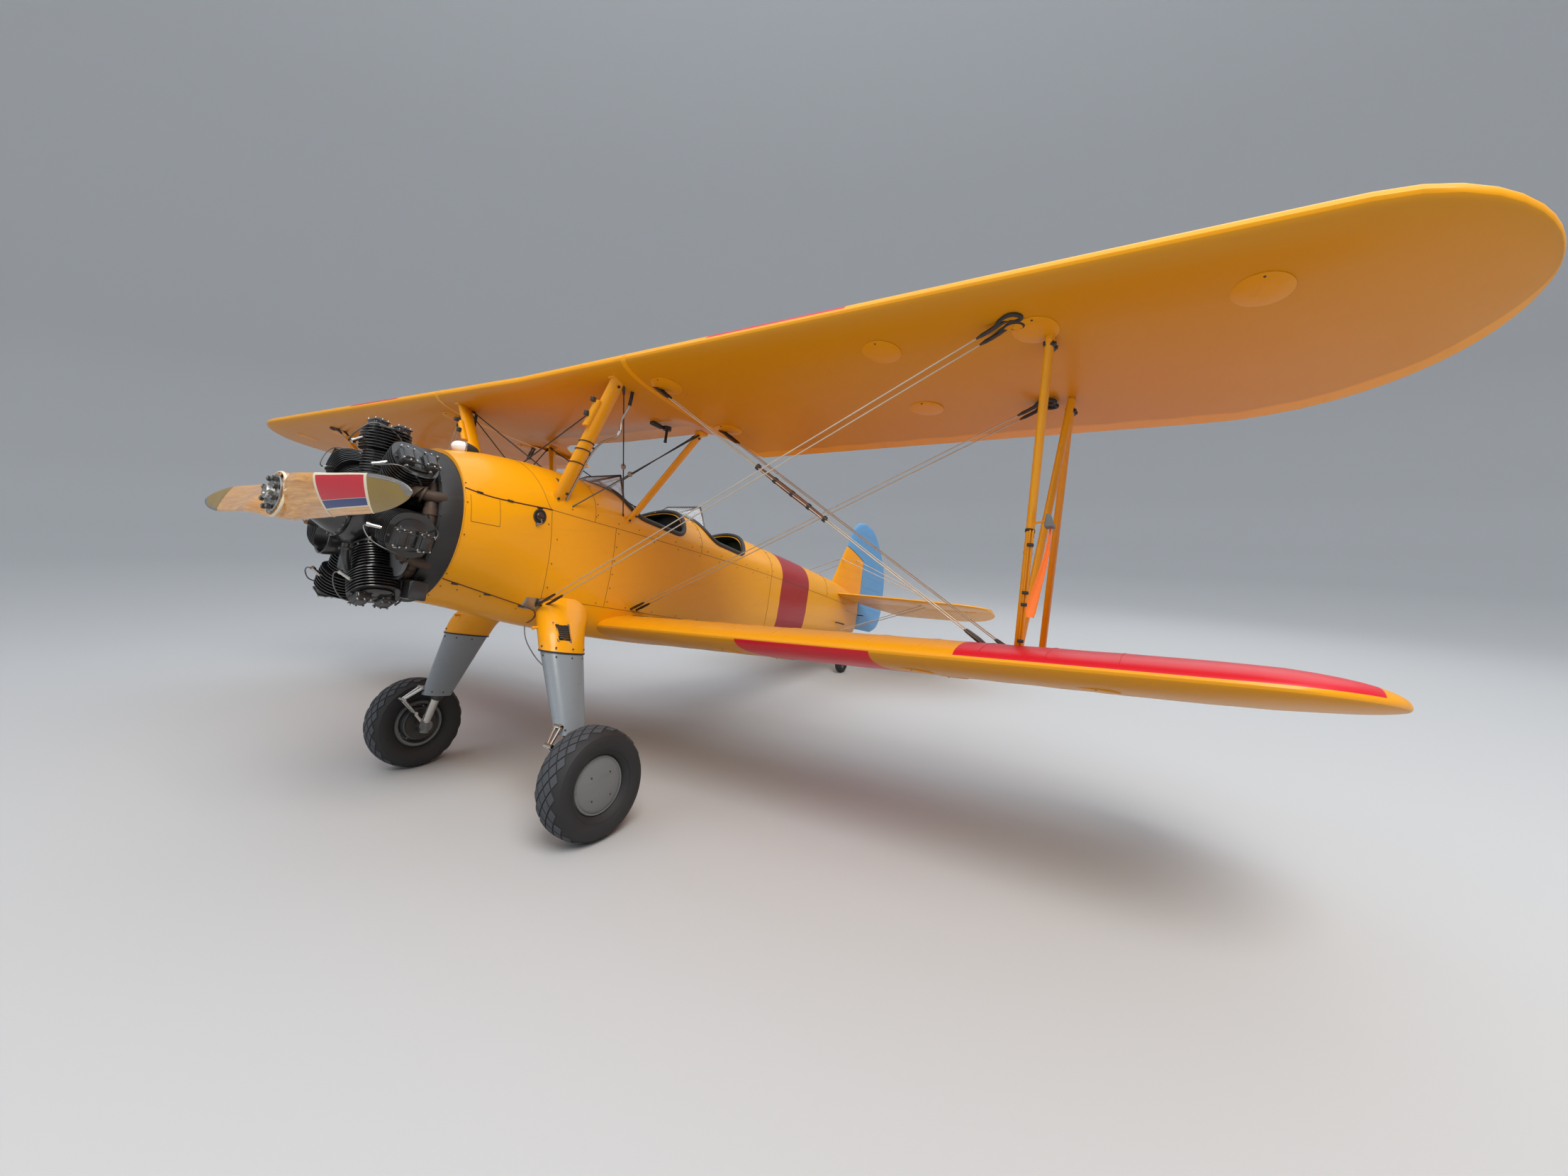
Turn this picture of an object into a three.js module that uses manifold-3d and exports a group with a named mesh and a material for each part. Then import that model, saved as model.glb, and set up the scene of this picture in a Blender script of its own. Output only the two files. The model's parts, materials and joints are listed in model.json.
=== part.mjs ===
// Two-seat open-cockpit training biplane, parked tail-down on its undercarriage.
// Millimetres. +X is forward, +Y the aircraft's left, +Z up, and the wheels stand on z = 0.
// The airframe is drawn level, in its own axes: s runs aft from the front face of the propeller
// hub, y to the left and h up from the thrust line. One group then tips it to its parked pitch.
import * as THREE from 'three';
import { mergeVertices } from 'three/addons/utils/BufferGeometryUtils.js';
import Module from 'manifold-3d';

const wasm = await Module();
wasm.setup();

// Driving dimensions
const PARKED_PITCH = 0.2034; // radians, nose up
const MAIN_TYRE = { radius: 340, halfWidth: 115.5, rimRadius: 178, s: 1510.5, y: 1016.5, h: -1381.4 };
const TAIL_TYRE = { radius: 127, halfWidth: 42, rimRadius: 62, s: 6560 };
const UPPER_WING = {
  s: 1222.5, h: 1123.4, dihedral: 0.0166, incidence: THREE.MathUtils.degToRad(4),
  chord: 1524, halfSpan: 4902, leadCurve: 4336, trailCurve: 3944, centreHalf: 1030,
};
const LOWER_WING = {
  s: 1907, h: -465, dihedral: 0.034, incidence: THREE.MathUtils.degToRad(3),
  chord: 1524, halfSpan: 4749, leadCurve: 4183, trailCurve: 3791, root: 345,
};
const THICKNESS = 0.13; // wing section, as a fraction of the chord
const CAMBER = 0.02;
const CAMBER_PLACE = 0.4;
const TIP_PLACE = 0.41; // where the wing tip's outermost point lies along the chord
const SEAT_GAP = 0.3; // between a piece and what carries it
const HINGE_GAP = 5.5; // round the nose of a control surface
const AILERON_GAP = 9; // more, as the aileron's axis leans with the dihedral
const RUDDER_HINGE = 6800; // s of the rudder's upright axis
const ELEVATOR_HINGE = { s: 6700, h: 335 };
const ELEVATOR_DROOP = THREE.MathUtils.degToRad(10); // the elevators hang as it is parked
const AILERON = { hinge: 0.77, inner: 2300, outer: 4180, endGap: 6 };
const COWL_FRONT = 767; // s of the cowl's front edge
const FIREWALL = 1360;
const HULL_SPLIT = 4100; // s where the front fuselage meets the rear one

// Colours of the finishes
const finish = (color, roughness, metalness = 0) => ({ color, roughness, metalness });
const YELLOW = finish(0xf5a300, 0.35);
const BLUE = finish(0x6fa8dc, 0.4);
const GREY = finish(0x8f9499, 0.45);
const ENGINE_BLACK = finish(0x17181a, 0.45, 0.2);
const STEEL = finish(0xa9adb0, 0.3, 0.9);
const RUBBER = finish(0x2b2c2e, 0.85);
const WOOD = finish(0xb57a3c, 0.3);
const LEATHER = finish(0x3a2a20, 0.6);
const GLASS = finish(0xdfe9ec, 0.1);

// Solids

const at = (s, y, h) => new THREE.Vector3(-s, y, h);

// Turns a closed skin's faces outwards, whichever way its outline ran
function outward(geometry) {
  const place = geometry.attributes.position;
  const index = geometry.index ? Array.from(geometry.index.array) : [...Array(place.count).keys()];
  const corner = k => new THREE.Vector3().fromBufferAttribute(place, index[k]);
  let volume = 0;
  for (let k = 0; k < index.length; k += 3) {
    volume += corner(k).dot(corner(k + 1).cross(corner(k + 2)));
  }
  return geometry.setIndex(volume < 0 ? index.reverse() : index);
}

// A skin through rings of equal length, closed at both ends by a fan. Its quads are split along one
// diagonal, or along the other where crossed(ring, side) says so
function loft(rings, crossed = () => false) {
  const count = rings[0].length;
  const points = rings.flat();
  const faces = [];
  for (let k = 0; k + 1 < rings.length; k++) {
    for (let i = 0; i < count; i++) {
      const j = (i + 1) % count;
      const near = k * count;
      const far = near + count;
      faces.push(...(crossed(k, i)
        ? [near + i, near + j, far + i, near + j, far + j, far + i]
        : [near + i, near + j, far + j, near + i, far + j, far + i]));
    }
  }
  for (const [ring, start, turned] of [[rings[0], 0, true], [rings.at(-1), (rings.length - 1) * count, false]]) {
    const middle = ring.reduce((sum, p) => sum.add(p), new THREE.Vector3()).divideScalar(count);
    points.push(middle);
    for (let i = 0; i < count; i++) {
      const j = (i + 1) % count;
      faces.push(points.length - 1, start + (turned ? j : i), start + (turned ? i : j));
    }
  }
  return outward(new THREE.BufferGeometry().setFromPoints(points).setIndex(faces));
}

function toManifold(geometry) {
  const bare = geometry.clone();
  bare.deleteAttribute('normal');
  bare.deleteAttribute('uv');
  const merged = mergeVertices(bare, 1e-3);
  return new wasm.Manifold(new wasm.Mesh({
    numProp: 3,
    vertProperties: merged.attributes.position.array,
    triVerts: new Uint32Array(merged.index.array),
  }));
}

// Slivers under a fiftieth of a millimetre are smoothed away
const SLIVER = 0.02;

function fromManifold(manifold) {
  const mesh = manifold.simplify(SLIVER).getMesh();
  const geometry = new THREE.BufferGeometry();
  geometry.setAttribute('position', new THREE.BufferAttribute(mesh.vertProperties, 3));
  geometry.setIndex(new THREE.BufferAttribute(mesh.triVerts, 1));
  return geometry;
}

const joined = (...pieces) => fromManifold(pieces.map(toManifold).reduce((sum, next) => sum.add(next)));
const cut = (piece, ...tools) => fromManifold(
  tools.map(toManifold).reduce((left, tool) => left.subtract(tool), toManifold(piece)));
const shared = (piece, region) => fromManifold(toManifold(piece).intersect(toManifold(region)));
const moved = (geometry, s, y, h) => geometry.clone().translate(-s, y, h);
const mirrored = geometry => outward(geometry.clone().scale(1, -1, 1));

// A straight round bar between two points
function rod(from, to, radius, sides = 8, endRadius = radius) {
  const along = new THREE.Vector3().subVectors(to, from);
  const bar = new THREE.CylinderGeometry(endRadius, radius, along.length(), sides);
  const turn = new THREE.Quaternion().setFromUnitVectors(new THREE.Vector3(0, 1, 0), along.clone().normalize());
  return bar.applyQuaternion(turn).translate(...from.clone().add(to).multiplyScalar(0.5).toArray());
}

// A box given by its limits in s, y and h
function block([s0, s1], [y0, y1], [h0, h1]) {
  return new THREE.BoxGeometry(s1 - s0, y1 - y0, h1 - h0)
    .translate(-(s0 + s1) / 2, (y0 + y1) / 2, (h0 + h1) / 2);
}

// A flat outline in s and h, given its thickness from y0 to y1
function sideSlab(outline, y0, y1) {
  const shape = new THREE.Shape(outline.map(([s, h]) => new THREE.Vector2(s, h)));
  return outward(new THREE.ExtrudeGeometry(shape, { depth: y1 - y0, bevelEnabled: false })
    .applyMatrix4(new THREE.Matrix4().set(-1, 0, 0, 0, 0, 0, 1, y0, 0, 1, 0, 0, 0, 0, 0, 1)));
}

// A flat outline in s and y, given its thickness from h0 to h1
function planSlab(outline, h0, h1) {
  const shape = new THREE.Shape(outline.map(([s, y]) => new THREE.Vector2(-s, y)));
  return outward(new THREE.ExtrudeGeometry(shape, { depth: h1 - h0, bevelEnabled: false }).translate(0, 0, h0));
}

// A turned piece whose axis is the thrust line; the profile is [radius, s]
function turned(profile, sides) {
  return outward(new THREE.LatheGeometry(profile.map(([r, s]) => new THREE.Vector2(r, s)), sides).rotateZ(Math.PI / 2));
}

// A ring of a streamlined tube, its chord lying fore and aft
function streamRing(s, y, h, chord, thickness, sides = 12) {
  return Array.from({ length: sides }, (_, k) => {
    const angle = 2 * Math.PI * k / sides;
    const swell = 1 + 0.25 * Math.cos(angle);
    return at(s - 0.5 * chord * Math.cos(angle), y + 0.5 * thickness * Math.sin(angle) * swell, h);
  });
}

// A streamlined strut between two points
const strut = ([s0, y0, h0], [s1, y1, h1], chord, thickness, sides = 10) => loft([
  streamRing(s0, y0, h0, chord, thickness, sides), streamRing(s1, y1, h1, chord, thickness, sides)]);

// Fuselage

// Sections: s, half width, top, height of the widest line, bottom, and how square the halves are
const HULL = [
  [767, 466, 480, 14, -452, 2, 2],
  [1000, 462, 540, 60, -468, 2, 2.2],
  [1200, 455, 570, 160, -490, 2, 2.6],
  [1360, 448, 585, 240, -510, 2, 3.2],
  [1900, 440, 602, 280, -550, 2, 6],
  [2800, 425, 606, 280, -560, 2, 6.5],
  [3500, 395, 606, 270, -512, 2, 6],
  [4100, 350, 580, 262, -420, 2, 5],
  [5000, 250, 545, 250, -310, 2, 4],
  [6000, 130, 488, 235, -200, 2, 3.5],
  [6775, 40, 400, 200, -112, 2, 3],
];
const HULL_SIDES = 24;

function hullRing(section, inset = 0) {
  const [s, width, top, seam, bottom, squareTop, squareBottom] = section;
  return Array.from({ length: HULL_SIDES }, (_, k) => {
    const angle = 2 * Math.PI * k / HULL_SIDES;
    const [across, up] = [Math.sin(angle), Math.cos(angle)].map(v => (Math.abs(v) < 1e-9 ? 0 : v));
    const power = 2 / (up >= 0 ? squareTop : squareBottom);
    const reach = (up >= 0 ? top - seam : seam - bottom) - inset;
    return at(s, (width - inset) * Math.sign(across) * Math.abs(across) ** power,
      seam + reach * Math.sign(up) * Math.abs(up) ** power);
  });
}

// The hull's section at any s, between its neighbours in the table
function hullAt(s) {
  const k = Math.max(1, HULL.findIndex(row => row[0] >= s));
  const [before, after] = [HULL[k - 1], HULL[k]];
  const share = (s - before[0]) / (after[0] - before[0]);
  return before.map((value, i) => value + (after[i] - value) * share);
}

function hull(from, to, inset = 0) {
  const middle = HULL.map(row => row[0]).filter(s => s > from && s < to);
  return loft([from, ...middle, to].map(s => hullRing(hullAt(s), inset)), (_, side) => side >= HULL_SIDES / 2);
}

// A slightly larger hull, for cutting what seats against the fuselage
const HULL_CUTTER = hull(COWL_FRONT, HULL.at(-1)[0], -SEAT_GAP);

// Cockpit rims seen from the side: front of the opening, its low side and the arch behind the seat
const COCKPITS = {
  front: { rim: [[1960, 700], [1965, 592], [2085, 392], [2630, 357], [2700, 500], [2815, 602], [2830, 700]], seat: 2430 },
  rear: { rim: [[2905, 700], [2910, 596], [3040, 400], [3530, 371], [3605, 500], [3725, 602], [3740, 700]], seat: 3350 },
};
const TUB = { from: 1760, to: 3900, wall: 20 };

function frontFuselage() {
  const openings = Object.values(COCKPITS).map(({ rim }) => sideSlab(rim, -600, 600));
  const shell = cut(hull(FIREWALL, HULL_SPLIT), hull(TUB.from, TUB.to, TUB.wall), ...openings);
  const panels = [[1940, 1960], [2885, 2905]].map(([s0, s1]) =>
    shared(hull(s0, s1, 10), block([s0 - 1, s1 + 1], [-500, 500], [150, 700])));
  const tray = shared(hull(TUB.from + 40, TUB.to - 40, 12), block([1700, 4000], [-500, 500], [-480, -400]));
  return joined(shell, ...panels, tray);
}

function rearFuselage() {
  const tailPost = rod(at(RUDDER_HINGE, 0, -400), at(RUDDER_HINGE, 0, 600), 46, 24);
  const torqueBore = rod(at(ELEVATOR_HINGE.s, -200, ELEVATOR_HINGE.h), at(ELEVATOR_HINGE.s, 200, ELEVATOR_HINGE.h), 21, 16);
  return joined(cut(hull(HULL_SPLIT + SEAT_GAP, HULL.at(-1)[0]), tailPost, torqueBore), rudderLug(RUDDER_LUGS[0]));
}

const noseCowl = () => hull(COWL_FRONT, FIREWALL - SEAT_GAP);

// Black ring plate between the engine and the cowl
const engineRing = () => turned([[186, 655], [425, 640], [452, 652], [465, 766.7], [186, 766.7], [186, 655]], 36);

// Engine

const ENGINE = { s: 500, cylinders: 7 };
const FINS = { count: 5, from: 226, pitch: 46, thick: 19, depth: 18, firstRadius: 98, growth: 4 };

// Pipes of one cylinder, from and to [aft of the cylinder, out from the crankshaft, sideways], and radius
const PIPES = {
  exhaust: [[40, 452, -80], [100, 452, -122], 33],
  exhaustEnd: [[92, 452, -120], [165, 430, -126], 36],
  intake: [[112, 170, 62], [92, 440, 70], 25],
  intakeEnd: [[98, 432, 70], [30, 440, 62], 27],
};

// One cylinder, drawn upright on the crankshaft and then turned to its place
function cylinder(index) {
  const fins = Array.from({ length: FINS.count }, (_, k) => [FINS.from + k * FINS.pitch, FINS.firstRadius + k * FINS.growth])
    .flatMap(([a, r]) => [[r - FINS.depth, a], [r, a], [r, a + FINS.thick], [r - FINS.depth, a + FINS.thick]]);
  const profile = [[0, 150], [78, 150], [78, 212], ...fins, [104, 446], [104, 458], [70, 492], [0, 500]];
  const barrel = outward(new THREE.LatheGeometry(profile.map(([r, a]) => new THREE.Vector2(r, a)), 12));
  const rockers = [-1, 1].map(side => new THREE.BoxGeometry(60, 95, 95).translate(side * 62, 497, -18));
  const plug = rod(new THREE.Vector3(85, 425, 0), new THREE.Vector3(155, 388, 5), 12, 5);
  const pipes = Object.values(PIPES).map(([[s0, a0, z0], [s1, a1, z1], radius]) =>
    rod(new THREE.Vector3(-s0, a0, z0), new THREE.Vector3(-s1, a1, z1), radius, 7));
  const angle = 2 * Math.PI * index / ENGINE.cylinders;
  return joined(barrel, ...rockers, plug, ...pipes).rotateX(Math.PI / 2 - angle).translate(-ENGINE.s, 0, 0);
}

// Air scoop under the nose of the crankcase, its mouth forward: s, y, h, outer and inner radius
const SCOOP = [[325, -105, -165, 95, 84], [400, -95, -165, 88, 66], [500, -60, -160, 70, 20]];

function scoop() {
  const skin = (rows, radius, lead) => loft(rows.map(row => Array.from({ length: 12 }, (_, k) => {
    const angle = 2 * Math.PI * k / 12;
    return at(row[0] - lead, row[1] + row[radius] * Math.sin(angle), row[2] + row[radius] * Math.cos(angle));
  })));
  return cut(skin(SCOOP, 3, 0), skin(SCOOP.slice(0, 2), 4, 2));
}

function engine() {
  const crankcase = turned([[0, 215], [34, 215], [34, 190], [74, 190], [95, 230], [150, 330], [180, 380], [185, 766.4], [0, 766.4]], 28);
  const cylinders = Array.from({ length: ENGINE.cylinders }, (_, k) => cylinder(k));
  return cut(joined(cut(crankcase, turned([[0, 150], [34, 150], [34, 262], [0, 262]], 24)), ...cylinders, scoop()),
    moved(engineRing(), -SEAT_GAP, 0, 0));
}

// Propeller

// Blade sections: radius, width, thickness and pitch angle in degrees
const BLADE = [
  [60, 232, 106, 4],
  [120, 238, 112, 16],
  [180, 235, 105, 28],
  [300, 236, 80, 36],
  [440, 217, 55, 31],
  [600, 198, 40, 26],
  [750, 187, 30, 22.5],
  [895, 173, 23, 19.5],
  [1000, 152, 18, 17.5],
  [1100, 120, 15, 17],
  [1180, 80, 12, 16],
  [1225, 45, 9, 16],
  [1245, 14, 7, 16],
];
const BOSS = { radius: 119, face: 112, front: 45, rear: 155 };
const BLADE_PLANE = 100;

function blade() {
  const sides = 12;
  return loft(BLADE.map(([radius, width, thickness, pitch]) => Array.from({ length: sides }, (_, k) => {
    const angle = 2 * Math.PI * k / sides;
    const along = 0.5 * width * Math.cos(angle);
    const across = 0.5 * thickness * Math.sin(angle);
    const turn = THREE.MathUtils.degToRad(pitch);
    return at(BLADE_PLANE - along * Math.sin(turn) + across * Math.cos(turn), radius,
      along * Math.cos(turn) + across * Math.sin(turn));
  })));
}

function propeller() {
  const { radius, face, front, rear } = BOSS;
  const boss = turned([[0, front], [face, front], [radius, front + 7], [radius, rear - 7], [face, rear], [0, rear]], 28);
  const far = blade().rotateX(Math.PI);
  const spaces = [[40, 0, 200], [face, -40, front], [face, rear, 240]].map(([r, s0, s1]) =>
    turned([[0, s0], [r, s0], [r, s1], [0, s1]], 28));
  return cut(joined(boss, blade(), far), ...spaces);
}

function propellerHub() {
  return turned([[0, 0], [26, 0], [33, 8], [33, 30], [98, 34], [98, 44.7], [39.5, 44.7], [39.5, 155.3],
    [94, 155.3], [94, 166], [33, 166], [33, 255], [0, 255]], 24);
}

// Wings

const camberAt = x => (x < CAMBER_PLACE
  ? CAMBER / CAMBER_PLACE ** 2 * (2 * CAMBER_PLACE * x - x * x)
  : CAMBER / (1 - CAMBER_PLACE) ** 2 * (1 - 2 * CAMBER_PLACE + 2 * CAMBER_PLACE * x - x * x));
const halfThicknessAt = x => 5 * THICKNESS
  * (0.2969 * Math.sqrt(x) - 0.126 * x - 0.3516 * x ** 2 + 0.2843 * x ** 3 - 0.1036 * x ** 4);

// Point of a wing: x along the chord from 0 to 1, z above the chord line in millimetres
function wingPoint(wing, y, x, z) {
  const along = x * wing.chord;
  return at(wing.s + along * Math.cos(wing.incidence) + z * Math.sin(wing.incidence), y,
    wing.h + wing.dihedral * Math.abs(y) - along * Math.sin(wing.incidence) + z * Math.cos(wing.incidence));
}

const STATIONS = [0.02, 0.09, 0.2, 0.36, 0.55, 0.77];
const TRAIL_EDGE = 4; // half the thickness of the trailing edge

// A wing's section at y, from lead to trail along the chord
function wingRing(wing, y, lead, trail, truncated = false) {
  const size = truncated ? 1 : trail - lead;
  const z = (u, side) => {
    const x = truncated ? u * trail : u;
    const taper = truncated ? Math.min(1, (1 - u) / 0.4) : 1;
    return wing.chord * size * (camberAt(x) + side * halfThicknessAt(x) * taper) + side * TRAIL_EDGE * size * u;
  };
  const point = (u, side) => wingPoint(wing, y, lead + (trail - lead) * u, z(u, side));
  return [point(1, 1), ...STATIONS.toReversed().map(u => point(u, 1)), point(0, 0), ...STATIONS.map(u => point(u, -1)), point(1, -1)];
}

// How far an edge has curved in at y towards the tip
function tipInset(y, start, end, most) {
  const t = Math.max(0, Math.min(1, (y - start) / (end - start)));
  return most * (1 - Math.sqrt(1 - t * t));
}

// A left wing panel from its root to its rounded tip
function wingPanel(wing, root) {
  const turns = [0, 22, 42, 58, 70, 79, 86];
  const stations = [root, ...turns.map(degrees =>
    wing.trailCurve + (wing.halfSpan - wing.trailCurve) * Math.sin(THREE.MathUtils.degToRad(degrees)))];
  return loft(stations.map(y => wingRing(wing, y,
    tipInset(y, wing.leadCurve, wing.halfSpan, TIP_PLACE),
    1 - tipInset(y, wing.trailCurve, wing.halfSpan, 1 - TIP_PLACE))));
}

// Centre section: half span and where its trailing edge lies, cut away above the cockpit
const CUT_OUT = [[760, 0.7], [870, 0.735], [945, 0.81], [1000, 0.91], [1030, 0.985]];

function centreSection() {
  const stations = [...CUT_OUT.toReversed().map(([y, trail]) => [-y, trail]), [0, CUT_OUT[0][1]], ...CUT_OUT];
  const rings = stations.map(([y, trail]) => wingRing(UPPER_WING, y, 0, trail, true));
  return loft(rings, strip => strip >= CUT_OUT.length);
}

const upperPanel = () => wingPanel(UPPER_WING, UPPER_WING.centreHalf + SEAT_GAP);

// Aileron hinge at y, halfway between the skins
const aileronHinge = y => wingPoint(LOWER_WING, y, AILERON.hinge, LOWER_WING.chord * camberAt(AILERON.hinge));

// Everything behind the aileron hinge between two stations, with a round nose
function aileronRegion(y0, y1, noseRadius) {
  const behind = loft([y0, y1].map(y => [[AILERON.hinge, 150], [AILERON.hinge, -150], [1.1, -150], [1.1, 150]]
    .map(([x, z]) => wingPoint(LOWER_WING, y, x, z))));
  return joined(behind, rod(aileronHinge(y0), aileronHinge(y1), noseRadius, 24));
}

const AILERON_NOSE = 44;

const aileron = () => shared(wingPanel(LOWER_WING, LOWER_WING.root), aileronRegion(AILERON.inner, AILERON.outer, AILERON_NOSE));

function lowerWing() {
  const { inner, outer, endGap } = AILERON;
  const region = aileronRegion(inner - endGap, outer + endGap, AILERON_NOSE + AILERON_GAP);
  const panel = cut(wingPanel(LOWER_WING, LOWER_WING.root), region, HULL_CUTTER);
  const pins = [[inner - endGap - 20, inner - 0.4], [outer + 0.4, outer + endGap + 20]]
    .map(([y0, y1]) => rod(aileronHinge(y0), aileronHinge(y1), 9, 12));
  return joined(panel, ...pins);
}

const WING_CUTTERS = {
  upper: [-SEAT_GAP, SEAT_GAP].map(gap => moved(joined(centreSection(), wingPanel(UPPER_WING, 1000)), 0, 0, gap)),
  lower: [SEAT_GAP].map(gap => moved(wingPanel(LOWER_WING, LOWER_WING.root), 0, 0, gap)),
};

// Struts and wires of the left side; the right side mirrors them

const CABANE = {
  front: { foot: [1404, 374, 270], head: [1361, 868, 1096], chord: 105, thickness: 62 },
  rear: { foot: [2006, 393, 280], head: [2181, 868, 1046], chord: 66, thickness: 38 },
};

const cabane = ({ foot, head, chord, thickness }) =>
  cut(strut(foot, head, chord, thickness), HULL_CUTTER, ...WING_CUTTERS.upper);

const INTERPLANE = { top: 3352, bottom: 3200, front: 0.245, rear: 0.674, chord: 84, thickness: 38 };

function interplane() {
  const end = (wing, y, x, z) => {
    const p = wingPoint(wing, y, x, z);
    return [-p.x, p.y, p.z];
  };
  const { top, bottom, front, rear, chord, thickness } = INTERPLANE;
  const [frontTop, rearTop] = [front, rear].map(x => end(UPPER_WING, top, x, -40));
  const [frontFoot, rearFoot] = [front, rear].map(x => end(LOWER_WING, bottom, x, 40));
  const bars = [[frontTop, frontFoot], [rearTop, rearFoot], [rearTop, frontFoot]]
    .map(([from, to]) => strut(from, to, chord, thickness));
  return cut(joined(...bars), ...WING_CUTTERS.upper, ...WING_CUTTERS.lower);
}

// Undercarriage, left side

// Leg sections: s, y, h, chord and thickness
const LEG = [[1527, 550, -649.3, 318, 176], [1506, 773, -1137, 214, 126]];
const FAIRING = [[1590, 330, -300, 560, 420], [1560, 430, -440, 430, 300], [1532, 505, -560, 345, 205], [1527, 550, -649, 330, 188]];

const gearFairing = () => cut(loft(FAIRING.map(row => streamRing(...row, 16))), HULL_CUTTER,
  moved(wingPanel(LOWER_WING, LOWER_WING.root), -SEAT_GAP, 0, 0), wingPanel(LOWER_WING, LOWER_WING.root));

// Each wire: its fuselage or cabane end, then its wing end
const WIRES = {
  flying_front: [[1430, 380, -373], [1455, 3239, 1120]],
  flying_rear: [[2200, 390, -322], [2245, 3255, 1070]],
  landing_front: [[1455, 1030, 1092], [2240, 3085, -300]],
  landing_rear: [[2143, 1055, 1042], [2900, 3085, -300]],
};
const wire = ([inner, outer]) => cut(rod(at(...inner), at(...outer), 6, 6),
  HULL_CUTTER, ...WING_CUTTERS.upper, ...WING_CUTTERS.lower, gearFairing(), moved(gearFairing(), 0, SEAT_GAP, 0));

function gearLeg() {
  const { s, y, h } = MAIN_TYRE;
  const leg = loft(LEG.map(row => streamRing(...row, 16)));
  const piston = rod(at(1506, 765, -1120), at(s, 872, h + 8), 33, 14);
  const axleParts = [[y - 158, y - 98, 46, 16], [y - 100, y - 90, 116, 28], [y - 98, y + 6, 27, 20]]
    .map(([y0, y1, radius, sides]) => rod(at(s, y0, h), at(s, y1, h), radius, sides));
  return joined(leg, piston, ...axleParts);
}

// Main wheel about its own axle, the outer side towards +Y
const WHEEL_SIDES = 32;
const lathe = (profile, sides) => outward(new THREE.LatheGeometry(
  profile.map(([r, y]) => new THREE.Vector2(r, y)), sides, Math.PI / sides));

function mainTyre() {
  const { radius, halfWidth, rimRadius } = MAIN_TYRE;
  const crown = radius / Math.cos(Math.PI / WHEEL_SIDES);
  const half = [[rimRadius + SEAT_GAP, 62], [200, 90], [238, 110], [272, halfWidth], [304, 106], [326, 82], [crown, 34]];
  const outline = [...half, ...half.toReversed().map(([r, y]) => [r, -y])];
  return lathe([...outline, outline[0]], WHEEL_SIDES);
}

function mainWheel() {
  const { rimRadius } = MAIN_TYRE;
  return lathe([[0, 92], [90, 88], [160, 76], [164, 70], [172, 72], [176, 62], [rimRadius, 58], [rimRadius, -58],
    [176, -66], [168, -74], [154, -70], [140, 0], [122, 0], [122, -82], [112, -82], [108, -6], [52, -6], [52, -84],
    [28, -84], [28, 12], [0, 12]], WHEEL_SIDES);
}

// Tail

// Fin and rudder together: h, leading edge and trailing edge
const TAIL_UPRIGHT = [
  [-60, 6560, 7330], [20, 6480, 7520], [160, 6300, 7618], [400, 6000, 7648], [700, 6120, 7640], [940, 6255, 7560],
  [1040, 6318, 7480], [1200, 6385, 7340], [1310, 6460, 7210], [1390, 6560, 7080], [1425, 6660, 6960], [1434, 6730, 6880],
];
const FIN_TOP = [[6200, 1062], [6756, 911], [6800, 900]];
const RUDDER_NOSE = 36;

// A symmetrical section as fractions of the chord and of its thickness
const TAIL_SECTION = [[1, 0.1], [0.8, 0.5], [0.55, 0.9], [0.3, 1], [0.12, 0.75], [0.03, 0.4]];

function tailRing(lead, trail, thickness, place) {
  const point = (x, side) => place(lead + (trail - lead) * x, side * thickness / 2);
  return [...TAIL_SECTION.map(([x, share]) => point(x, share)), point(0, 0),
    ...TAIL_SECTION.toReversed().map(([x, share]) => point(x, -share))];
}

const uprightTail = () => loft(TAIL_UPRIGHT.map(([h, lead, trail]) =>
  tailRing(lead, trail, 18 + 0.042 * (trail - lead), (s, y) => at(s, y, h))));

function rudderRegion(noseRadius, gap) {
  const behind = block([RUDDER_HINGE, 7900], [-200, 200], [-300, 1600]);
  const nose = rod(at(RUDDER_HINGE, 0, -300), at(RUDDER_HINGE, 0, 1600), noseRadius, 24);
  const horn = sideSlab([...FIN_TOP.map(([s, h]) => [s, h - gap]), [6800, 1600], [6200, 1600]], -200, 200);
  return joined(behind, nose, horn);
}

// Hinge lugs on the post and the notches for them in the rudder
const RUDDER_LUGS = [20, 600, 830];
const LUG = { radius: 12, reach: 52, half: 9, slack: 0.4, notchRadius: 19 };

const rudderLug = h => joined(
  rod(at(RUDDER_HINGE, 0, h - LUG.half), at(RUDDER_HINGE, 0, h + LUG.half), LUG.radius, 16),
  block([RUDDER_HINGE - LUG.reach, RUDDER_HINGE], [-6, 6], [h - LUG.half, h + LUG.half]));
const rudderNotch = h => {
  const half = LUG.half + LUG.slack;
  return joined(rod(at(RUDDER_HINGE, 0, h - half), at(RUDDER_HINGE, 0, h + half), LUG.notchRadius, 16),
    block([RUDDER_HINGE - 80, RUDDER_HINGE], [-80, 80], [h - half, h + half]));
};

const rudder = () => cut(shared(uprightTail(), rudderRegion(RUDDER_NOSE, 0)), ...RUDDER_LUGS.map(rudderNotch));

function fin() {
  const region = rudderRegion(RUDDER_NOSE + HINGE_GAP + 2, 12);
  return joined(cut(uprightTail(), region, HULL_CUTTER, block([5000, 8000], [-300, 300], [-500, 396])),
    ...RUDDER_LUGS.slice(1).map(rudderLug));
}

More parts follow.
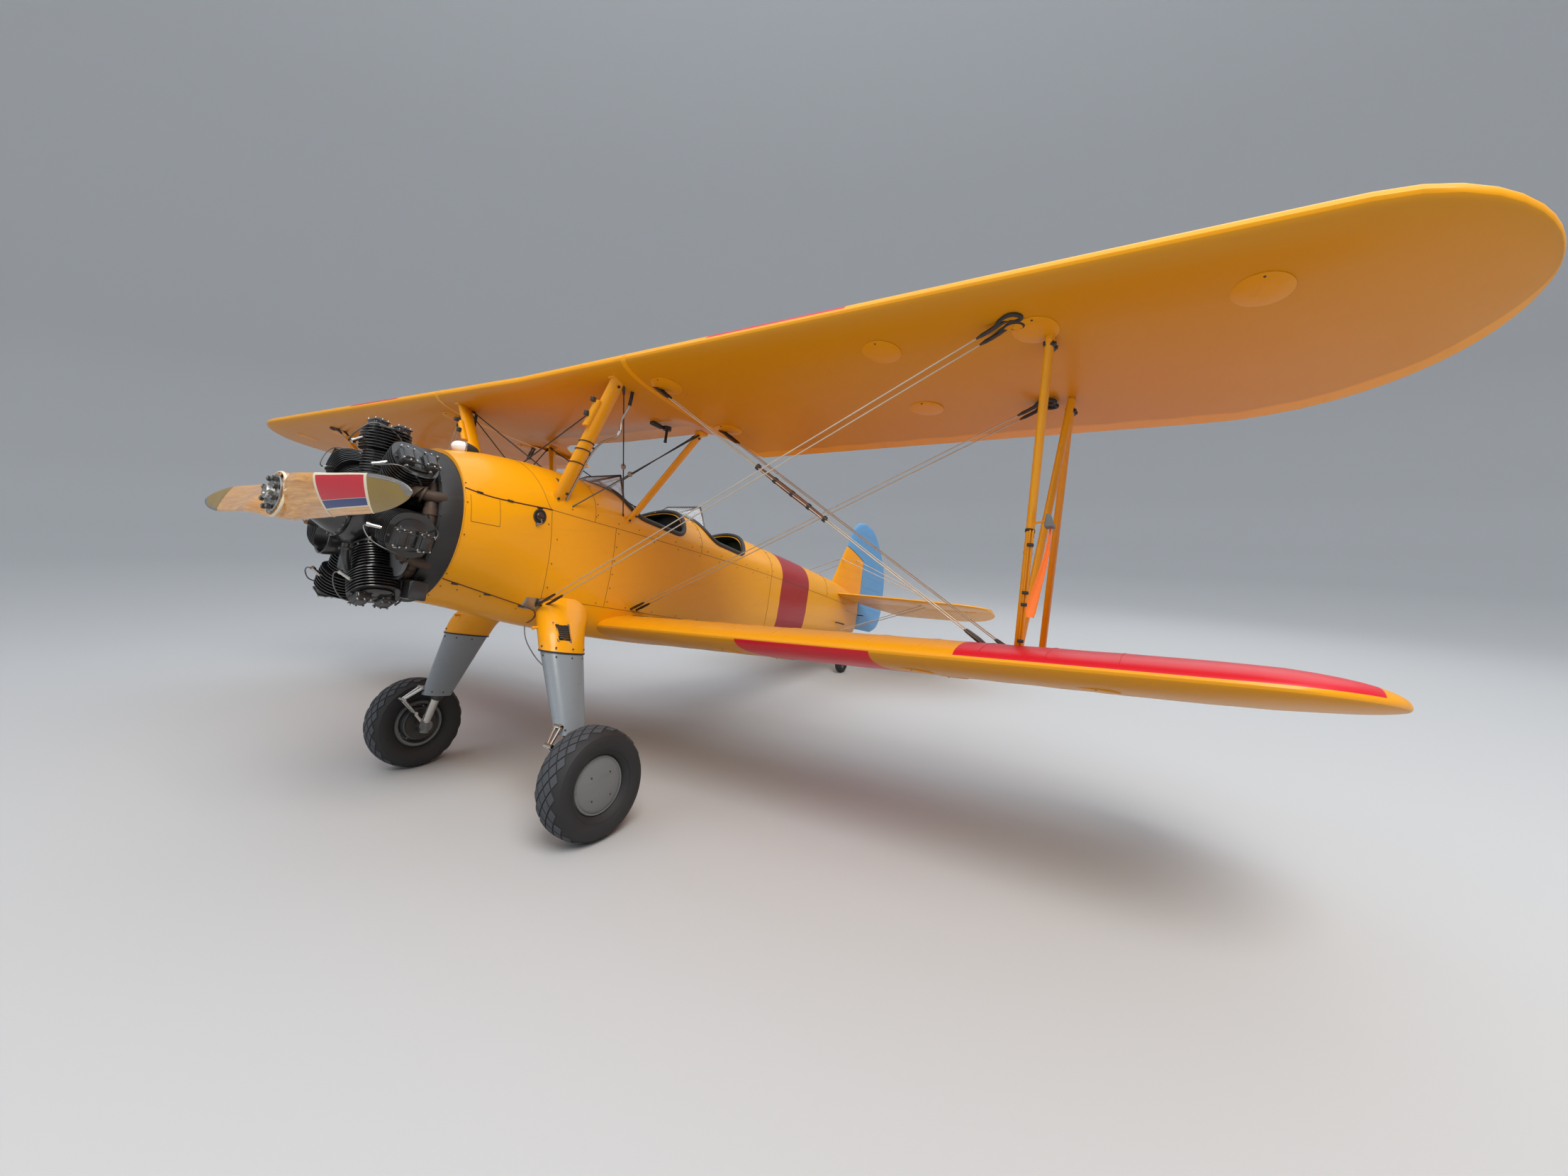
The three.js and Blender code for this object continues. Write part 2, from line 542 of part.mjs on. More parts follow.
// Tailplane and elevator together, left half: y, leading edge and trailing edge
const TAIL_LEVEL = [
  [0, 5960, 7350], [400, 6010, 7350], [1000, 6095, 7340], [1400, 6165, 7310], [1640, 6235, 7230],
  [1780, 6310, 7120], [1860, 6400, 7000], [1895, 6520, 6900],
];
const ELEVATOR_NOSE = 34;
const ELEVATOR_INNER = [[6600, 75], [6760, 75], [7500, 540], [7500, 2000], [6600, 2000]];
const ELEVATOR_LUGS = [330, 980, 1620];

const levelTail = () => loft(TAIL_LEVEL.map(([y, lead, trail]) =>
  tailRing(lead, trail, 20 + 0.042 * (trail - lead), (s, z) => at(s, y, ELEVATOR_HINGE.h + z))));

function elevatorRegion(noseRadius) {
  const { s, h } = ELEVATOR_HINGE;
  return joined(block([s, 7900], [-10, 2100], [h - 200, h + 200]),
    rod(at(s, -10, h), at(s, 2100, h), noseRadius, 24));
}

const elevatorLug = y => {
  const { s, h } = ELEVATOR_HINGE;
  return joined(rod(at(s, y - LUG.half, h), at(s, y + LUG.half, h), LUG.radius, 16),
    block([s - LUG.reach, s], [y - LUG.half, y + LUG.half], [h - 6, h + 6]));
};
const elevatorNotch = y => {
  const { s, h } = ELEVATOR_HINGE;
  const half = LUG.half + LUG.slack;
  return joined(rod(at(s, y - half, h), at(s, y + half, h), LUG.notchRadius, 16),
    block([s - 80, s], [y - half, y + half], [h - 80, h + 80]));
};

const tailplane = () => joined(
  cut(levelTail(), elevatorRegion(ELEVATOR_NOSE + HINGE_GAP + 2), HULL_CUTTER), ...ELEVATOR_LUGS.map(elevatorLug));

// Both elevators on their torque tube, drooping about the hinge
function elevators() {
  const { s, h } = ELEVATOR_HINGE;
  const left = cut(shared(shared(levelTail(), elevatorRegion(ELEVATOR_NOSE)), planSlab(ELEVATOR_INNER, 0, 700)),
    ...ELEVATOR_LUGS.map(elevatorNotch));
  const tube = rod(at(s, -140, h), at(s, 140, h), 15, 16);
  return joined(left, mirrored(left), tube).translate(s, 0, -h).rotateY(-ELEVATOR_DROOP).translate(-s, 0, h);
}

// Tail wheel: a bracket under the fuselage, a fork that steers and a small tyre
const groundDepth = MAIN_TYRE.h * Math.cos(PARKED_PITCH) - MAIN_TYRE.s * Math.sin(PARKED_PITCH) - MAIN_TYRE.radius;
const tailWheelHeight = (groundDepth + TAIL_TYRE.radius + TAIL_TYRE.s * Math.sin(PARKED_PITCH)) / Math.cos(PARKED_PITCH);
const TAIL_PIVOT = { s: 6480, top: -300, bottom: -372 };

function tailBracket() {
  const { s, top } = TAIL_PIVOT;
  return joined(
    cut(strut([6270, 0, -120], [s, 0, top], 90, 46), HULL_CUTTER),
    rod(at(s, 0, top - 28), at(s, 0, top + 30), 36, 16));
}

function tailFork() {
  const { s, top, bottom } = TAIL_PIVOT;
  const wheel = at(TAIL_TYRE.s, 0, tailWheelHeight);
  const arms = [-1, 1].map(side => {
    const y = side * 66;
    return joined(rod(at(s, y, bottom - 12), at(TAIL_TYRE.s, y, tailWheelHeight), 14, 10),
      rod(at(TAIL_TYRE.s, y - 9, wheel.z), at(TAIL_TYRE.s, y + 9, wheel.z), 24, 14));
  });
  const crown = rod(at(s, 0, bottom - 26), at(s, 0, top - 28.4), 32, 16);
  const bridge = rod(at(s, -74, bottom - 12), at(s, 74, bottom - 12), 16, 10);
  const axle = rod(at(TAIL_TYRE.s, -68, wheel.z), at(TAIL_TYRE.s, 68, wheel.z), 9, 12);
  return joined(crown, bridge, ...arms, axle);
}

function tailTyre() {
  const { radius, halfWidth } = TAIL_TYRE;
  const crown = radius / Math.cos(Math.PI / 28);
  const half = [[10, 30], [30, 30], [62, 30], [78, 40], [98, halfWidth], [116, 32], [crown, 12]];
  const outline = [...half, ...half.toReversed().map(([r, y]) => [r, -y])];
  return lathe([...outline, outline[0]], 28);
}

// Cockpit furniture

function seat(s) {
  const base = block([s - 190, s + 200], [-190, 190], [-160, -110]);
  const back = sideSlab([[s + 120, -150], [s + 175, 330], [s + 205, 330], [s + 160, -150]], -190, 190);
  const stand = block([s - 60, s + 100], [-60, 60], [-399.5, -150]);
  return joined(base, back, stand);
}

// A folded glass windshield of one middle and two side panes, standing on the deck
const WINDSHIELD = { foot: [-400, 30, 490], head: [0, 200, 705], side: [-75, 446, 330], glass: 6 };
const WINDSHIELD_TOPS = { front: 2070, rear: 3030 };

function windshield(top) {
  const { foot, head, side, glass } = WINDSHIELD;
  const wedge = (inset, reach) => {
    const slope = new THREE.Vector3().subVectors(at(...head), at(...foot)).multiplyScalar(reach);
    const corners = hand => [
      at(foot[0] + top, hand * (foot[1] - inset * 0.4), foot[2] - inset),
      at(head[0] + top, hand * (head[1] - inset), head[2] - inset).add(slope.clone().multiply(new THREE.Vector3(1, hand, 1))),
      at(side[0] + top, hand * (side[1] - inset * 1.3), side[2]).add(slope.clone().multiply(new THREE.Vector3(1, hand, 1))),
    ];
    return loft([corners(-1), corners(1)]);
  };
  const belowDeck = block([0, 5000], [-600, 600], [0, 430]);
  return cut(wedge(0, 0), wedge(glass, 0.12), HULL_CUTTER, belowDeck);
}

// Assembly

const airframe = new THREE.Group();
const aircraft = new THREE.Group();
aircraft.add(airframe);

function add(parent, name, geometry, look) {
  const mesh = new THREE.Mesh(geometry, new THREE.MeshStandardMaterial(look));
  mesh.name = name;
  parent.add(mesh);
  return mesh;
}

function addPair(name, geometry, look) {
  add(airframe, `${name}_left`, geometry, look);
  add(airframe, `${name}_right`, mirrored(geometry), look);
}

add(airframe, 'fuselage_front', frontFuselage(), YELLOW);
add(airframe, 'fuselage_rear', rearFuselage(), YELLOW);
add(airframe, 'nose_cowl', noseCowl(), YELLOW);
add(airframe, 'engine_ring', engineRing(), ENGINE_BLACK);
add(airframe, 'engine', engine(), ENGINE_BLACK);
add(airframe, 'propeller_blades', propeller(), WOOD);
add(airframe, 'propeller_hub', propellerHub(), STEEL);
add(airframe, 'seat_front', seat(COCKPITS.front.seat), LEATHER);
add(airframe, 'seat_rear', seat(COCKPITS.rear.seat), LEATHER);
for (const [name, top] of Object.entries(WINDSHIELD_TOPS)) {
  add(airframe, `windshield_${name}`, windshield(top), GLASS);
}
add(airframe, 'wing_upper_centre', centreSection(), YELLOW);
addPair('wing_upper', upperPanel(), YELLOW);
addPair('wing_lower', lowerWing(), YELLOW);
addPair('aileron', aileron(), YELLOW);
addPair('cabane_front', cabane(CABANE.front), YELLOW);
addPair('cabane_rear', cabane(CABANE.rear), YELLOW);
addPair('interplane_struts', interplane(), YELLOW);
for (const [name, ends] of Object.entries(WIRES)) {
  addPair(`wire_${name}`, wire(ends), STEEL);
}
addPair('gear_fairing', gearFairing(), YELLOW);
addPair('gear_leg', gearLeg(), GREY);
add(airframe, 'fin', fin(), YELLOW);
add(airframe, 'rudder', rudder(), BLUE);
addPair('tailplane', tailplane(), YELLOW);
add(airframe, 'elevators', elevators(), YELLOW);
add(airframe, 'tail_bracket', tailBracket(), GREY);
add(airframe, 'tail_fork', tailFork(), GREY);

// Wheels turn upright on the floor, whatever the airframe's pitch
function wheelGroup(s, y, h) {
  const group = new THREE.Group();
  group.position.copy(at(s, y, h));
  group.rotation.y = PARKED_PITCH;
  airframe.add(group);
  return group;
}

for (const [side, hand] of [['left', 1], ['right', -1]]) {
  const group = wheelGroup(MAIN_TYRE.s, hand * MAIN_TYRE.y, MAIN_TYRE.h);
  const sided = geometry => (hand > 0 ? geometry : mirrored(geometry));
  add(group, `tyre_${side}`, mainTyre(), RUBBER);
  add(group, `wheel_${side}`, sided(mainWheel()), GREY);
}
add(wheelGroup(TAIL_TYRE.s, 0, tailWheelHeight), 'tail_tyre', tailTyre(), RUBBER);

// Parked pitch, wheels on the floor, and the origin under the middle of the whole aircraft
airframe.rotation.y = -PARKED_PITCH;
airframe.position.z = -groundDepth;
aircraft.updateMatrixWorld(true);
const reach = new THREE.Box3().setFromObject(aircraft, true);
airframe.position.x = -(reach.min.x + reach.max.x) / 2;

export default aircraft;
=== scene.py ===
import json
from math import acos, copysign, cos, hypot, pi, radians, sin, sqrt, tan
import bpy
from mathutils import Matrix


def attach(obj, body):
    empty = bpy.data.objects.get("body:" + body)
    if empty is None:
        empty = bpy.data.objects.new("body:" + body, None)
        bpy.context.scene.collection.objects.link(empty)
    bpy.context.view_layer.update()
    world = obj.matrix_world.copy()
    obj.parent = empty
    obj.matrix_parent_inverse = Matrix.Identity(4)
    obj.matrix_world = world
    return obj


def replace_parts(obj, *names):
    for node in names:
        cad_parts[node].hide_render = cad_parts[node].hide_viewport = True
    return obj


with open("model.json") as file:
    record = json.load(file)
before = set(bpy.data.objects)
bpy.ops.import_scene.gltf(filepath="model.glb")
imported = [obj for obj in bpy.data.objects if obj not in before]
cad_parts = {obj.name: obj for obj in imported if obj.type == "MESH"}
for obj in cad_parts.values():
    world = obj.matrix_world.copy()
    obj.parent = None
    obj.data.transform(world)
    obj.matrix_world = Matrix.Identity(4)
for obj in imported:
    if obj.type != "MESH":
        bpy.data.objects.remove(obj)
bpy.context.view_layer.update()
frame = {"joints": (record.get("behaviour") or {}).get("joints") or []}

from types import SimpleNamespace as Sizes

import bmesh
import bpy
from mathutils import Matrix, Vector

JOINTS = {joint["name"]: joint for joint in frame["joints"]}

# The aircraft's own axes, in metres: s runs aft from the front face of the propeller hub,
# y to the aircraft's left and h up from the thrust line
BLADE_PLANE = 0.1
AHEAD = Vector(JOINTS["propeller_spin"]["axis"])
UPRIGHT = Vector((-AHEAD.z, 0, AHEAD.x))
HUB = Vector(JOINTS["propeller_spin"]["pos_m"]) + BLADE_PLANE * AHEAD
TAU = 2 * pi
SPANWISE = Vector((0, 1, 0))


def around(count, shift=0.0):
    """Equal turns right round, in radians."""
    return [TAU * (k + shift) / count for k in range(count)]


def at(s, y, h):
    return HUB - s * AHEAD + Vector((0, y, 0)) + h * UPRIGHT


def own(point):
    """s, y and h of a point of the row frame."""
    away = point - HUB
    return -away.dot(AHEAD), point.y, away.dot(UPRIGHT)


# Sizes in metres, and turns in radians
UPPER_WING = Sizes(s=1.2225, h=1.1234, dihedral=0.0166, incidence=radians(4), half_span=4.902,
    lead_curve=4.336, trail_curve=3.944, root=1.0303)
LOWER_WING = Sizes(s=1.907, h=-0.465, dihedral=0.034, incidence=radians(3), half_span=4.749,
    lead_curve=4.183, trail_curve=3.791, root=0.345)
CHORD = 1.524
THICKNESS = 0.13
CAMBER = 0.02
CAMBER_PLACE = 0.4
TIP_PLACE = 0.41
TRAIL_EDGE = 0.004
RIB_PITCH = 0.305
COWL_FRONT = 0.767
FIREWALL = 1.36
HULL_SPLIT = 4.1
HULL_END = 6.775
SEAT_GAP = 0.0003
AILERON = Sizes(hinge=0.77, inner=2.3, outer=4.18, end_gap=0.006, nose=0.044, gap=0.009)
ENGINE_S = 0.5
CYLINDERS = 7
RUDDER_HINGE = 6.8
ELEVATOR_HINGE = Sizes(s=6.7, h=0.335)
ELEVATOR_DROOP = radians(10)


# Meshes

def finish_mesh(mesh, angle=32):
    """Merged, outward and smooth, but sharp where faces meet at more than the angle."""
    work = bmesh.new()
    work.from_mesh(mesh)
    bmesh.ops.remove_doubles(work, verts=work.verts, dist=1e-6)
    bmesh.ops.recalc_face_normals(work, faces=work.faces)
    work.to_mesh(mesh)
    work.free()
    mesh.polygons.foreach_set("use_smooth", [True] * len(mesh.polygons))
    mesh.set_sharp_from_angle(angle=radians(angle))
    return mesh


def piece(name, points, faces, angle=32):
    mesh = bpy.data.meshes.new(name)
    mesh.from_pydata([tuple(p) for p in points], [], faces)
    finish_mesh(mesh, angle)
    made = bpy.data.objects.new(name, mesh)
    bpy.context.scene.collection.objects.link(made)
    return made


def loft(rings, closed=False):
    """Points and faces of a skin through rings of equal length, its two ends closed unless it runs round."""
    count = len(rings[0])
    points = [p for ring in rings for p in ring]
    spans = len(rings) if closed else len(rings) - 1
    faces = []
    for k in range(spans):
        near, far = k * count, (k + 1) % len(rings) * count
        faces += [(near + i, near + (i + 1) % count, far + (i + 1) % count, far + i) for i in range(count)]
    if not closed:
        faces += [tuple(range(count)), tuple(range(len(points) - count, len(points)))]
    return points, faces


def join(name, parts, angle=32):
    """One piece from several (points, faces) parts."""
    points, faces = [], []
    for part_points, part_faces in parts:
        start = len(points)
        points += part_points
        faces += [tuple(start + i for i in face) for face in part_faces]
    return piece(name, points, faces, angle)


def other_side(path):
    return [Vector((p.x, -p.y, p.z)) for p in path]


def mirrored(part):
    points, faces = part
    return other_side(points), [tuple(reversed(face)) for face in faces]


SIDES = (("left", 1), ("right", -1))
SIDED = {1: lambda part: part, -1: mirrored}


def turned_section(centre, axis, profile, sides, start=0.0):
    """A turned part: profile is (radius, distance along the axis), and closes on the axis or on itself."""
    axis = axis.normalized()
    across = axis.orthogonal().normalized()
    side = axis.cross(across)
    rings = [[centre + axis * along + radius * (cos(a) * across + sin(a) * side)
        for a in (start + TAU * k / sides for k in range(sides))] for radius, along in profile]
    looped = profile[0] == profile[-1]
    return loft(rings[:-1] if looped else rings, closed=looped)


def rod(start, end, radius, sides=10, end_radius=None):
    along = end - start
    end_radius = radius if end_radius is None else end_radius
    return turned_section(start, along, [(radius, 0), (end_radius, along.length)], sides)


def on_axis(profile, steps):
    """A turned part on the thrust line; distances run aft."""
    return turned_section(HUB, -AHEAD, profile, steps)


def on_circle(s, radius, turns):
    """Places on a circle round the thrust line."""
    return [at(s, radius * sin(a), radius * cos(a)) for a in turns]


def bar(start, end, radius, sides=10):
    """A rod between two places given as s, y and h."""
    return rod(at(*start), at(*end), radius, sides)


def tube(path, radius, sides=8, closed=False):
    """A round tube along a list of points; radius may be a number or one for each point."""
    radii = radius if isinstance(radius, (list, tuple)) else [radius] * len(path)
    rings = []
    side = None
    for k, point in enumerate(path):
        after = path[(k + 1) % len(path)] if closed or k + 1 < len(path) else point
        before = path[k - 1] if closed or k else point
        along = (after - before).normalized()
        side = along.orthogonal() if side is None else side - along * side.dot(along)
        side.normalize()
        up = along.cross(side)
        rings.append([point + radii[k] * (cos(a) * side + sin(a) * up) for a in around(sides)])
    return loft(rings, closed)


def slab(outline, place, low, high):
    """A flat outline given a thickness: place(a, b, c) puts its points."""
    return loft([[place(a, b, c) for a, b in outline] for c in (low, high)])


def smooth_path(points, steps=8):
    """Points of a Catmull-Rom curve through a few given ones."""
    ends = [2 * points[0] - points[1], *points, 2 * points[-1] - points[-2]]
    made = []
    for k in range(1, len(ends) - 2):
        a, b, c, d = ends[k - 1:k + 3]
        for i in range(steps):
            t = i / steps
            made.append(0.5 * (2 * b + t * (c - a) + t * t * (2 * a - 5 * b + 4 * c - d) + t ** 3 *
                (3 * b - a - 3 * c + d)))
    return [*made, points[-1]]


def between(table, where):
    """A row of a table at any value of its first column, on a smooth curve through the rows."""
    k = max(1, next((i for i, row in enumerate(table) if row[0] >= where), len(table) - 1))
    before, after = table[k - 1], table[k]
    gap = after[0] - before[0]
    t = (where - before[0]) / gap

    def slope(i, column):
        if 0 < i < len(table) - 1:
            return (table[i + 1][column] - table[i - 1][column]) / (table[i + 1][0] - table[i - 1][0])
        j = min(max(i, 1), len(table) - 1)
        return (table[j][column] - table[j - 1][column]) / (table[j][0] - table[j - 1][0])

    row = [where]
    for column in range(1, len(before)):
        rise = [slope(k - 1, column) * gap, slope(k, column) * gap]
        row.append((2 * t ** 3 - 3 * t ** 2 + 1) * before[column] + (t ** 3 - 2 * t ** 2 + t) * rise[0] +
            (3 * t ** 2 - 2 * t ** 3) * after[column] + (t ** 3 - t ** 2) * rise[1])
    return row


def spread(start, end, count):
    return [start + (end - start) * k / count for k in range(count + 1)]


def carve(target, *tools, operation="DIFFERENCE"):
    """Cuts the target by tools (parts or objects), or keeps what they share, and removes the tools."""
    for tool in tools:
        tool = piece("tool", *tool) if isinstance(tool, tuple) else tool
        modifier = target.modifiers.new("carve", "BOOLEAN")
        modifier.object = tool
        modifier.operation = operation
        modifier.solver = "EXACT"
        evaluated = target.evaluated_get(bpy.context.evaluated_depsgraph_get())
        made = bpy.data.meshes.new_from_object(evaluated)
        target.modifiers.remove(modifier)
        target.data = made
        bpy.data.objects.remove(tool)
    finish_mesh(target.data)
    return target


def seen_from_side(s, h, y):
    return at(s, y, h)


def block(s_range, y_range, h_range):
    corners = [(s, y) for s, y in ((s_range[0], y_range[0]), (s_range[1], y_range[0]),
        (s_range[1], y_range[1]), (s_range[0], y_range[1]))]
    return slab(corners, at, *h_range)


# Nodes

SOCKETS = {float: "Float", int: "Int", tuple: "Vector"}


def new_tree(kind, name, inputs, outputs=()):
    """A group of nodes: its tree, the sockets of its inputs and those of its outputs."""
    if kind == "Geometry":
        inputs, outputs = dict(Geometry="Geometry", **inputs, Finish="Material"), dict(Geometry="Geometry")
    tree = bpy.data.node_groups.new(name, kind + "NodeTree")
    for way, sockets in (("INPUT", inputs), ("OUTPUT", outputs)):
        for label, value in sockets.items():
            socket = tree.interface.new_socket(name=label, in_out=way,
                socket_type="NodeSocket" + SOCKETS.get(type(value), str(value)))
            if way == "INPUT" and type(value) in SOCKETS:
                socket.default_value = value
    return tree, tree.nodes.new("NodeGroupInput").outputs, tree.nodes.new("NodeGroupOutput").inputs


def connect(tree, value, socket):
    """Links a socket to another, or gives it a plain value."""
    if isinstance(value, bpy.types.NodeSocket):
        tree.links.new(value, socket)
    else:
        socket.default_value = value


def put(tree, kind, links=(), out=0, **settings):
    """A new node's output, after its settings and its inputs as {input: socket or value}."""
    family = next(f for f in ("ShaderNode", "GeometryNode", "FunctionNode") if hasattr(bpy.types, f + kind))
    made = tree.nodes.new(family + kind)
    for key, value in settings.items():
        setattr(made, key, value)
    for key, value in dict(links).items():
        connect(tree, value, made.inputs[key])
    return made.outputs[out]


def maths(tree, operation, *values, clamp=False):
    return put(tree, "Math", dict(enumerate(values)), operation=operation, use_clamp=clamp)


def vectors(tree, operation, first, second, out=0):
    return put(tree, "VectorMath", {0: first, 3 if operation == "SCALE" else 1: second}, out,
        operation=operation)


def mixed(tree, share, first, second):
    """A colour between two, by a share from 0 to 1."""
    return put(tree, "Mix", {0: share, 6: first, 7: second}, 2, data_type="RGBA")


def noise(tree, place, scale, detail, out="Fac", **rest):
    return put(tree, "TexNoise", {"Vector": place, "Scale": scale, "Detail": detail, **rest}, out)


def aircraft_axes_group():
    """Object coordinates turned into the aircraft's own s, y and h."""
    tree, _, out = new_tree("Shader", "Aircraft axes", {}, dict(Place=(0, 0, 0)))
    place = put(tree, "TexCoord", out="Object")
    away = vectors(tree, "SUBTRACT", place, HUB)
    s, h = (vectors(tree, "DOT_PRODUCT", away, axis, "Value") for axis in (-AHEAD, UPRIGHT))
    y = put(tree, "SeparateXYZ", {0: place}, "Y")
    connect(tree, put(tree, "CombineXYZ", {0: s, 1: y, 2: h}), out[0])
    return tree


def band_group():
    """A mask that is 1 between two limits of a value, with an edge of the given softness."""
    tree, given, out = new_tree("Shader", "Band", dict(Value=0.0, From=0.0, To=1.0, Softness=0.001),
        dict(Mask=0.0))
    value, low, high, soft = given[:4]
    rise, fall = (maths(tree, "DIVIDE", maths(tree, "SUBTRACT", more, less), soft, clamp=True)
        for more, less in ((value, low), (high, value)))
    connect(tree, maths(tree, "MULTIPLY", rise, fall), out[0])
    return tree


def weather_group():
    """Dust, streaks and handling marks on a finished surface."""
    tree, given, out = new_tree("Shader", "Weather", dict(Scale=1.0, Blotches=0.3, Grime=0.3),
        dict(Blotch=0.0, Dirt=0.0, Rough=0.0, Height=0.0))
    scaled = vectors(tree, "SCALE", put(tree, "TexCoord", out="Object"), given["Scale"])
    broad = noise(tree, scaled, 1.6, 3.0)
    streaked = put(tree, "Mapping", {"Vector": scaled, "Scale": (1.2, 5.0, 9.0)})
    streaks = noise(tree, streaked, 3.0, 6.0, Roughness=0.65)
    specks = noise(tree, scaled, 60.0, 3.0)
    blotch = maths(tree, "MULTIPLY", broad, given["Blotches"])
    patches = maths(tree, "MULTIPLY", maths(tree, "SUBTRACT", streaks, 0.54), 5.0, clamp=True)
    dirt = maths(tree, "MULTIPLY", maths(tree, "MULTIPLY", patches, specks), given["Grime"])
    rough = maths(tree, "ADD", maths(tree, "MULTIPLY", broad, 0.12), maths(tree, "MULTIPLY", streaks, 0.08))
    for value, socket in zip((blotch, dirt, rough, specks), out):
        connect(tree, value, socket)
    return tree


AXES = aircraft_axes_group()
BAND = band_group()
WEATHER = weather_group()


# Materials

def material(name, color, rough=0.4, metal=0.0, coat=0.0, **sockets):
    """A new material whose base shader has these values, its tree and the shader's inputs."""
    made = bpy.data.materials.new(name)
    made.use_nodes = True
    made.diffuse_color = (*color, 1)
    shader = made.node_tree.nodes["Principled BSDF"].inputs
    values = {"Base Color": (*color, 1), "Roughness": rough, "Metallic": metal, "Coat Weight": coat}
    values |= {key.replace("_", " "): value for key, value in sockets.items()}
    for key, value in values.items():
        shader[key].default_value = value
    return made, made.node_tree, shader


def rough_skin(tree, shader, height, strength):
    bump = put(tree, "Bump", {"Height": height, "Strength": strength, "Distance": 0.001})
    connect(tree, bump, shader["Normal"])


def weathered(name, color, dark, rough, scale=1.0, blotches=0.4, grime=0.3, bump=0.05, **rest):
    """A finish whose colour, gloss and surface vary with dust and handling."""
    made, tree, shader = material(name, color, rough, **rest)
    values = dict(Scale=scale, Blotches=blotches, Grime=grime)
    wear = put(tree, "Group", values, node_tree=WEATHER).node.outputs
    toned = mixed(tree, wear["Blotch"], (*color, 1), (*dark, 1))
    connect(tree, mixed(tree, wear["Dirt"], toned, (0.05, 0.04, 0.03, 1)), shader["Base Color"])
    connect(tree, maths(tree, "ADD", wear["Rough"], rough - 0.1), shader["Roughness"])
    rough_skin(tree, shader, wear["Height"], bump)
    return made


YELLOW = (0.84, 0.35, 0.0015)
AMBER = (0.7, 0.25, 0.0012)
# Painted shade on the wings' undersides: the darker amber and the share of it that is mixed in
SHADED_UNDERSIDE_AMBER = (0.58, 0.232, 0.001)
UNDERSIDE_SHADE_SHARE = 0.85
RED = (0.62, 0.006, 0.02)
DEEP_RED = (0.33, 0.005, 0.008)
FUSELAGE_BAND = (4.33, 5.03)
RED_TOP_UPPER = (1.66, 2.5)  # red on the upper wing's upper side, as distances out from the middle
RED_TOP_LOWER = (2.97, 4.6)
RED_UNDER_LOWER = (1.62, 2.52)
PAINT = dict(coat=0.22, Coat_Roughness=0.12, Specular_IOR_Level=0.3, blotches=0.3, grime=0.12, bump=0.02)
DOPE = PAINT | dict(coat=0.1)


def band(tree, value, low, high, softness=0.002):
    return put(tree, "Group", {"Value": value, "From": low, "To": high, "Softness": softness}, node_tree=BAND)


def own_axes(tree):
    return put(tree, "SeparateXYZ", {0: put(tree, "Group", node_tree=AXES)}).node.outputs[:3]


def repaint(made, mask, color):
    """A second colour over a weathered finish, where the mask is 1."""
    socket = made.node_tree.nodes["Principled BSDF"].inputs["Base Color"]
    connect(made.node_tree, mixed(made.node_tree, mask, socket.links[0].from_socket, (*color, 1)), socket)


def wing_paint(name, wing, top, under):
    """Yellow dope with a red stretch on the upper or lower side, between two distances out, and a darker
    amber on the underside that is painted shade.
    """
    made = weathered(name, YELLOW, AMBER, 0.42, **DOPE)
    tree = made.node_tree
    s, y, h = own_axes(tree)
    out = maths(tree, "ABSOLUTE", y)
    chord_line = maths(tree, "ADD", maths(tree, "MULTIPLY", out, wing.dihedral),
        maths(tree, "MULTIPLY", maths(tree, "SUBTRACT", s, wing.s), -tan(wing.incidence)))
    above = maths(tree, "SUBTRACT", maths(tree, "SUBTRACT", h, wing.h), chord_line)
    # Painted shade: the underside, below the chord line, is mixed towards the darker amber
    repaint(made, maths(tree, "MULTIPLY", band(tree, above, -1.0, -0.012), UNDERSIDE_SHADE_SHARE), SHADED_UNDERSIDE_AMBER)
    for limits, low, high in ((top, 0.012, 1.0), (under, -1.0, -0.006)):
        if limits:
            side = band(tree, above, low, high)
            repaint(made, maths(tree, "MULTIPLY", side, band(tree, out, *limits)), RED)
    return made


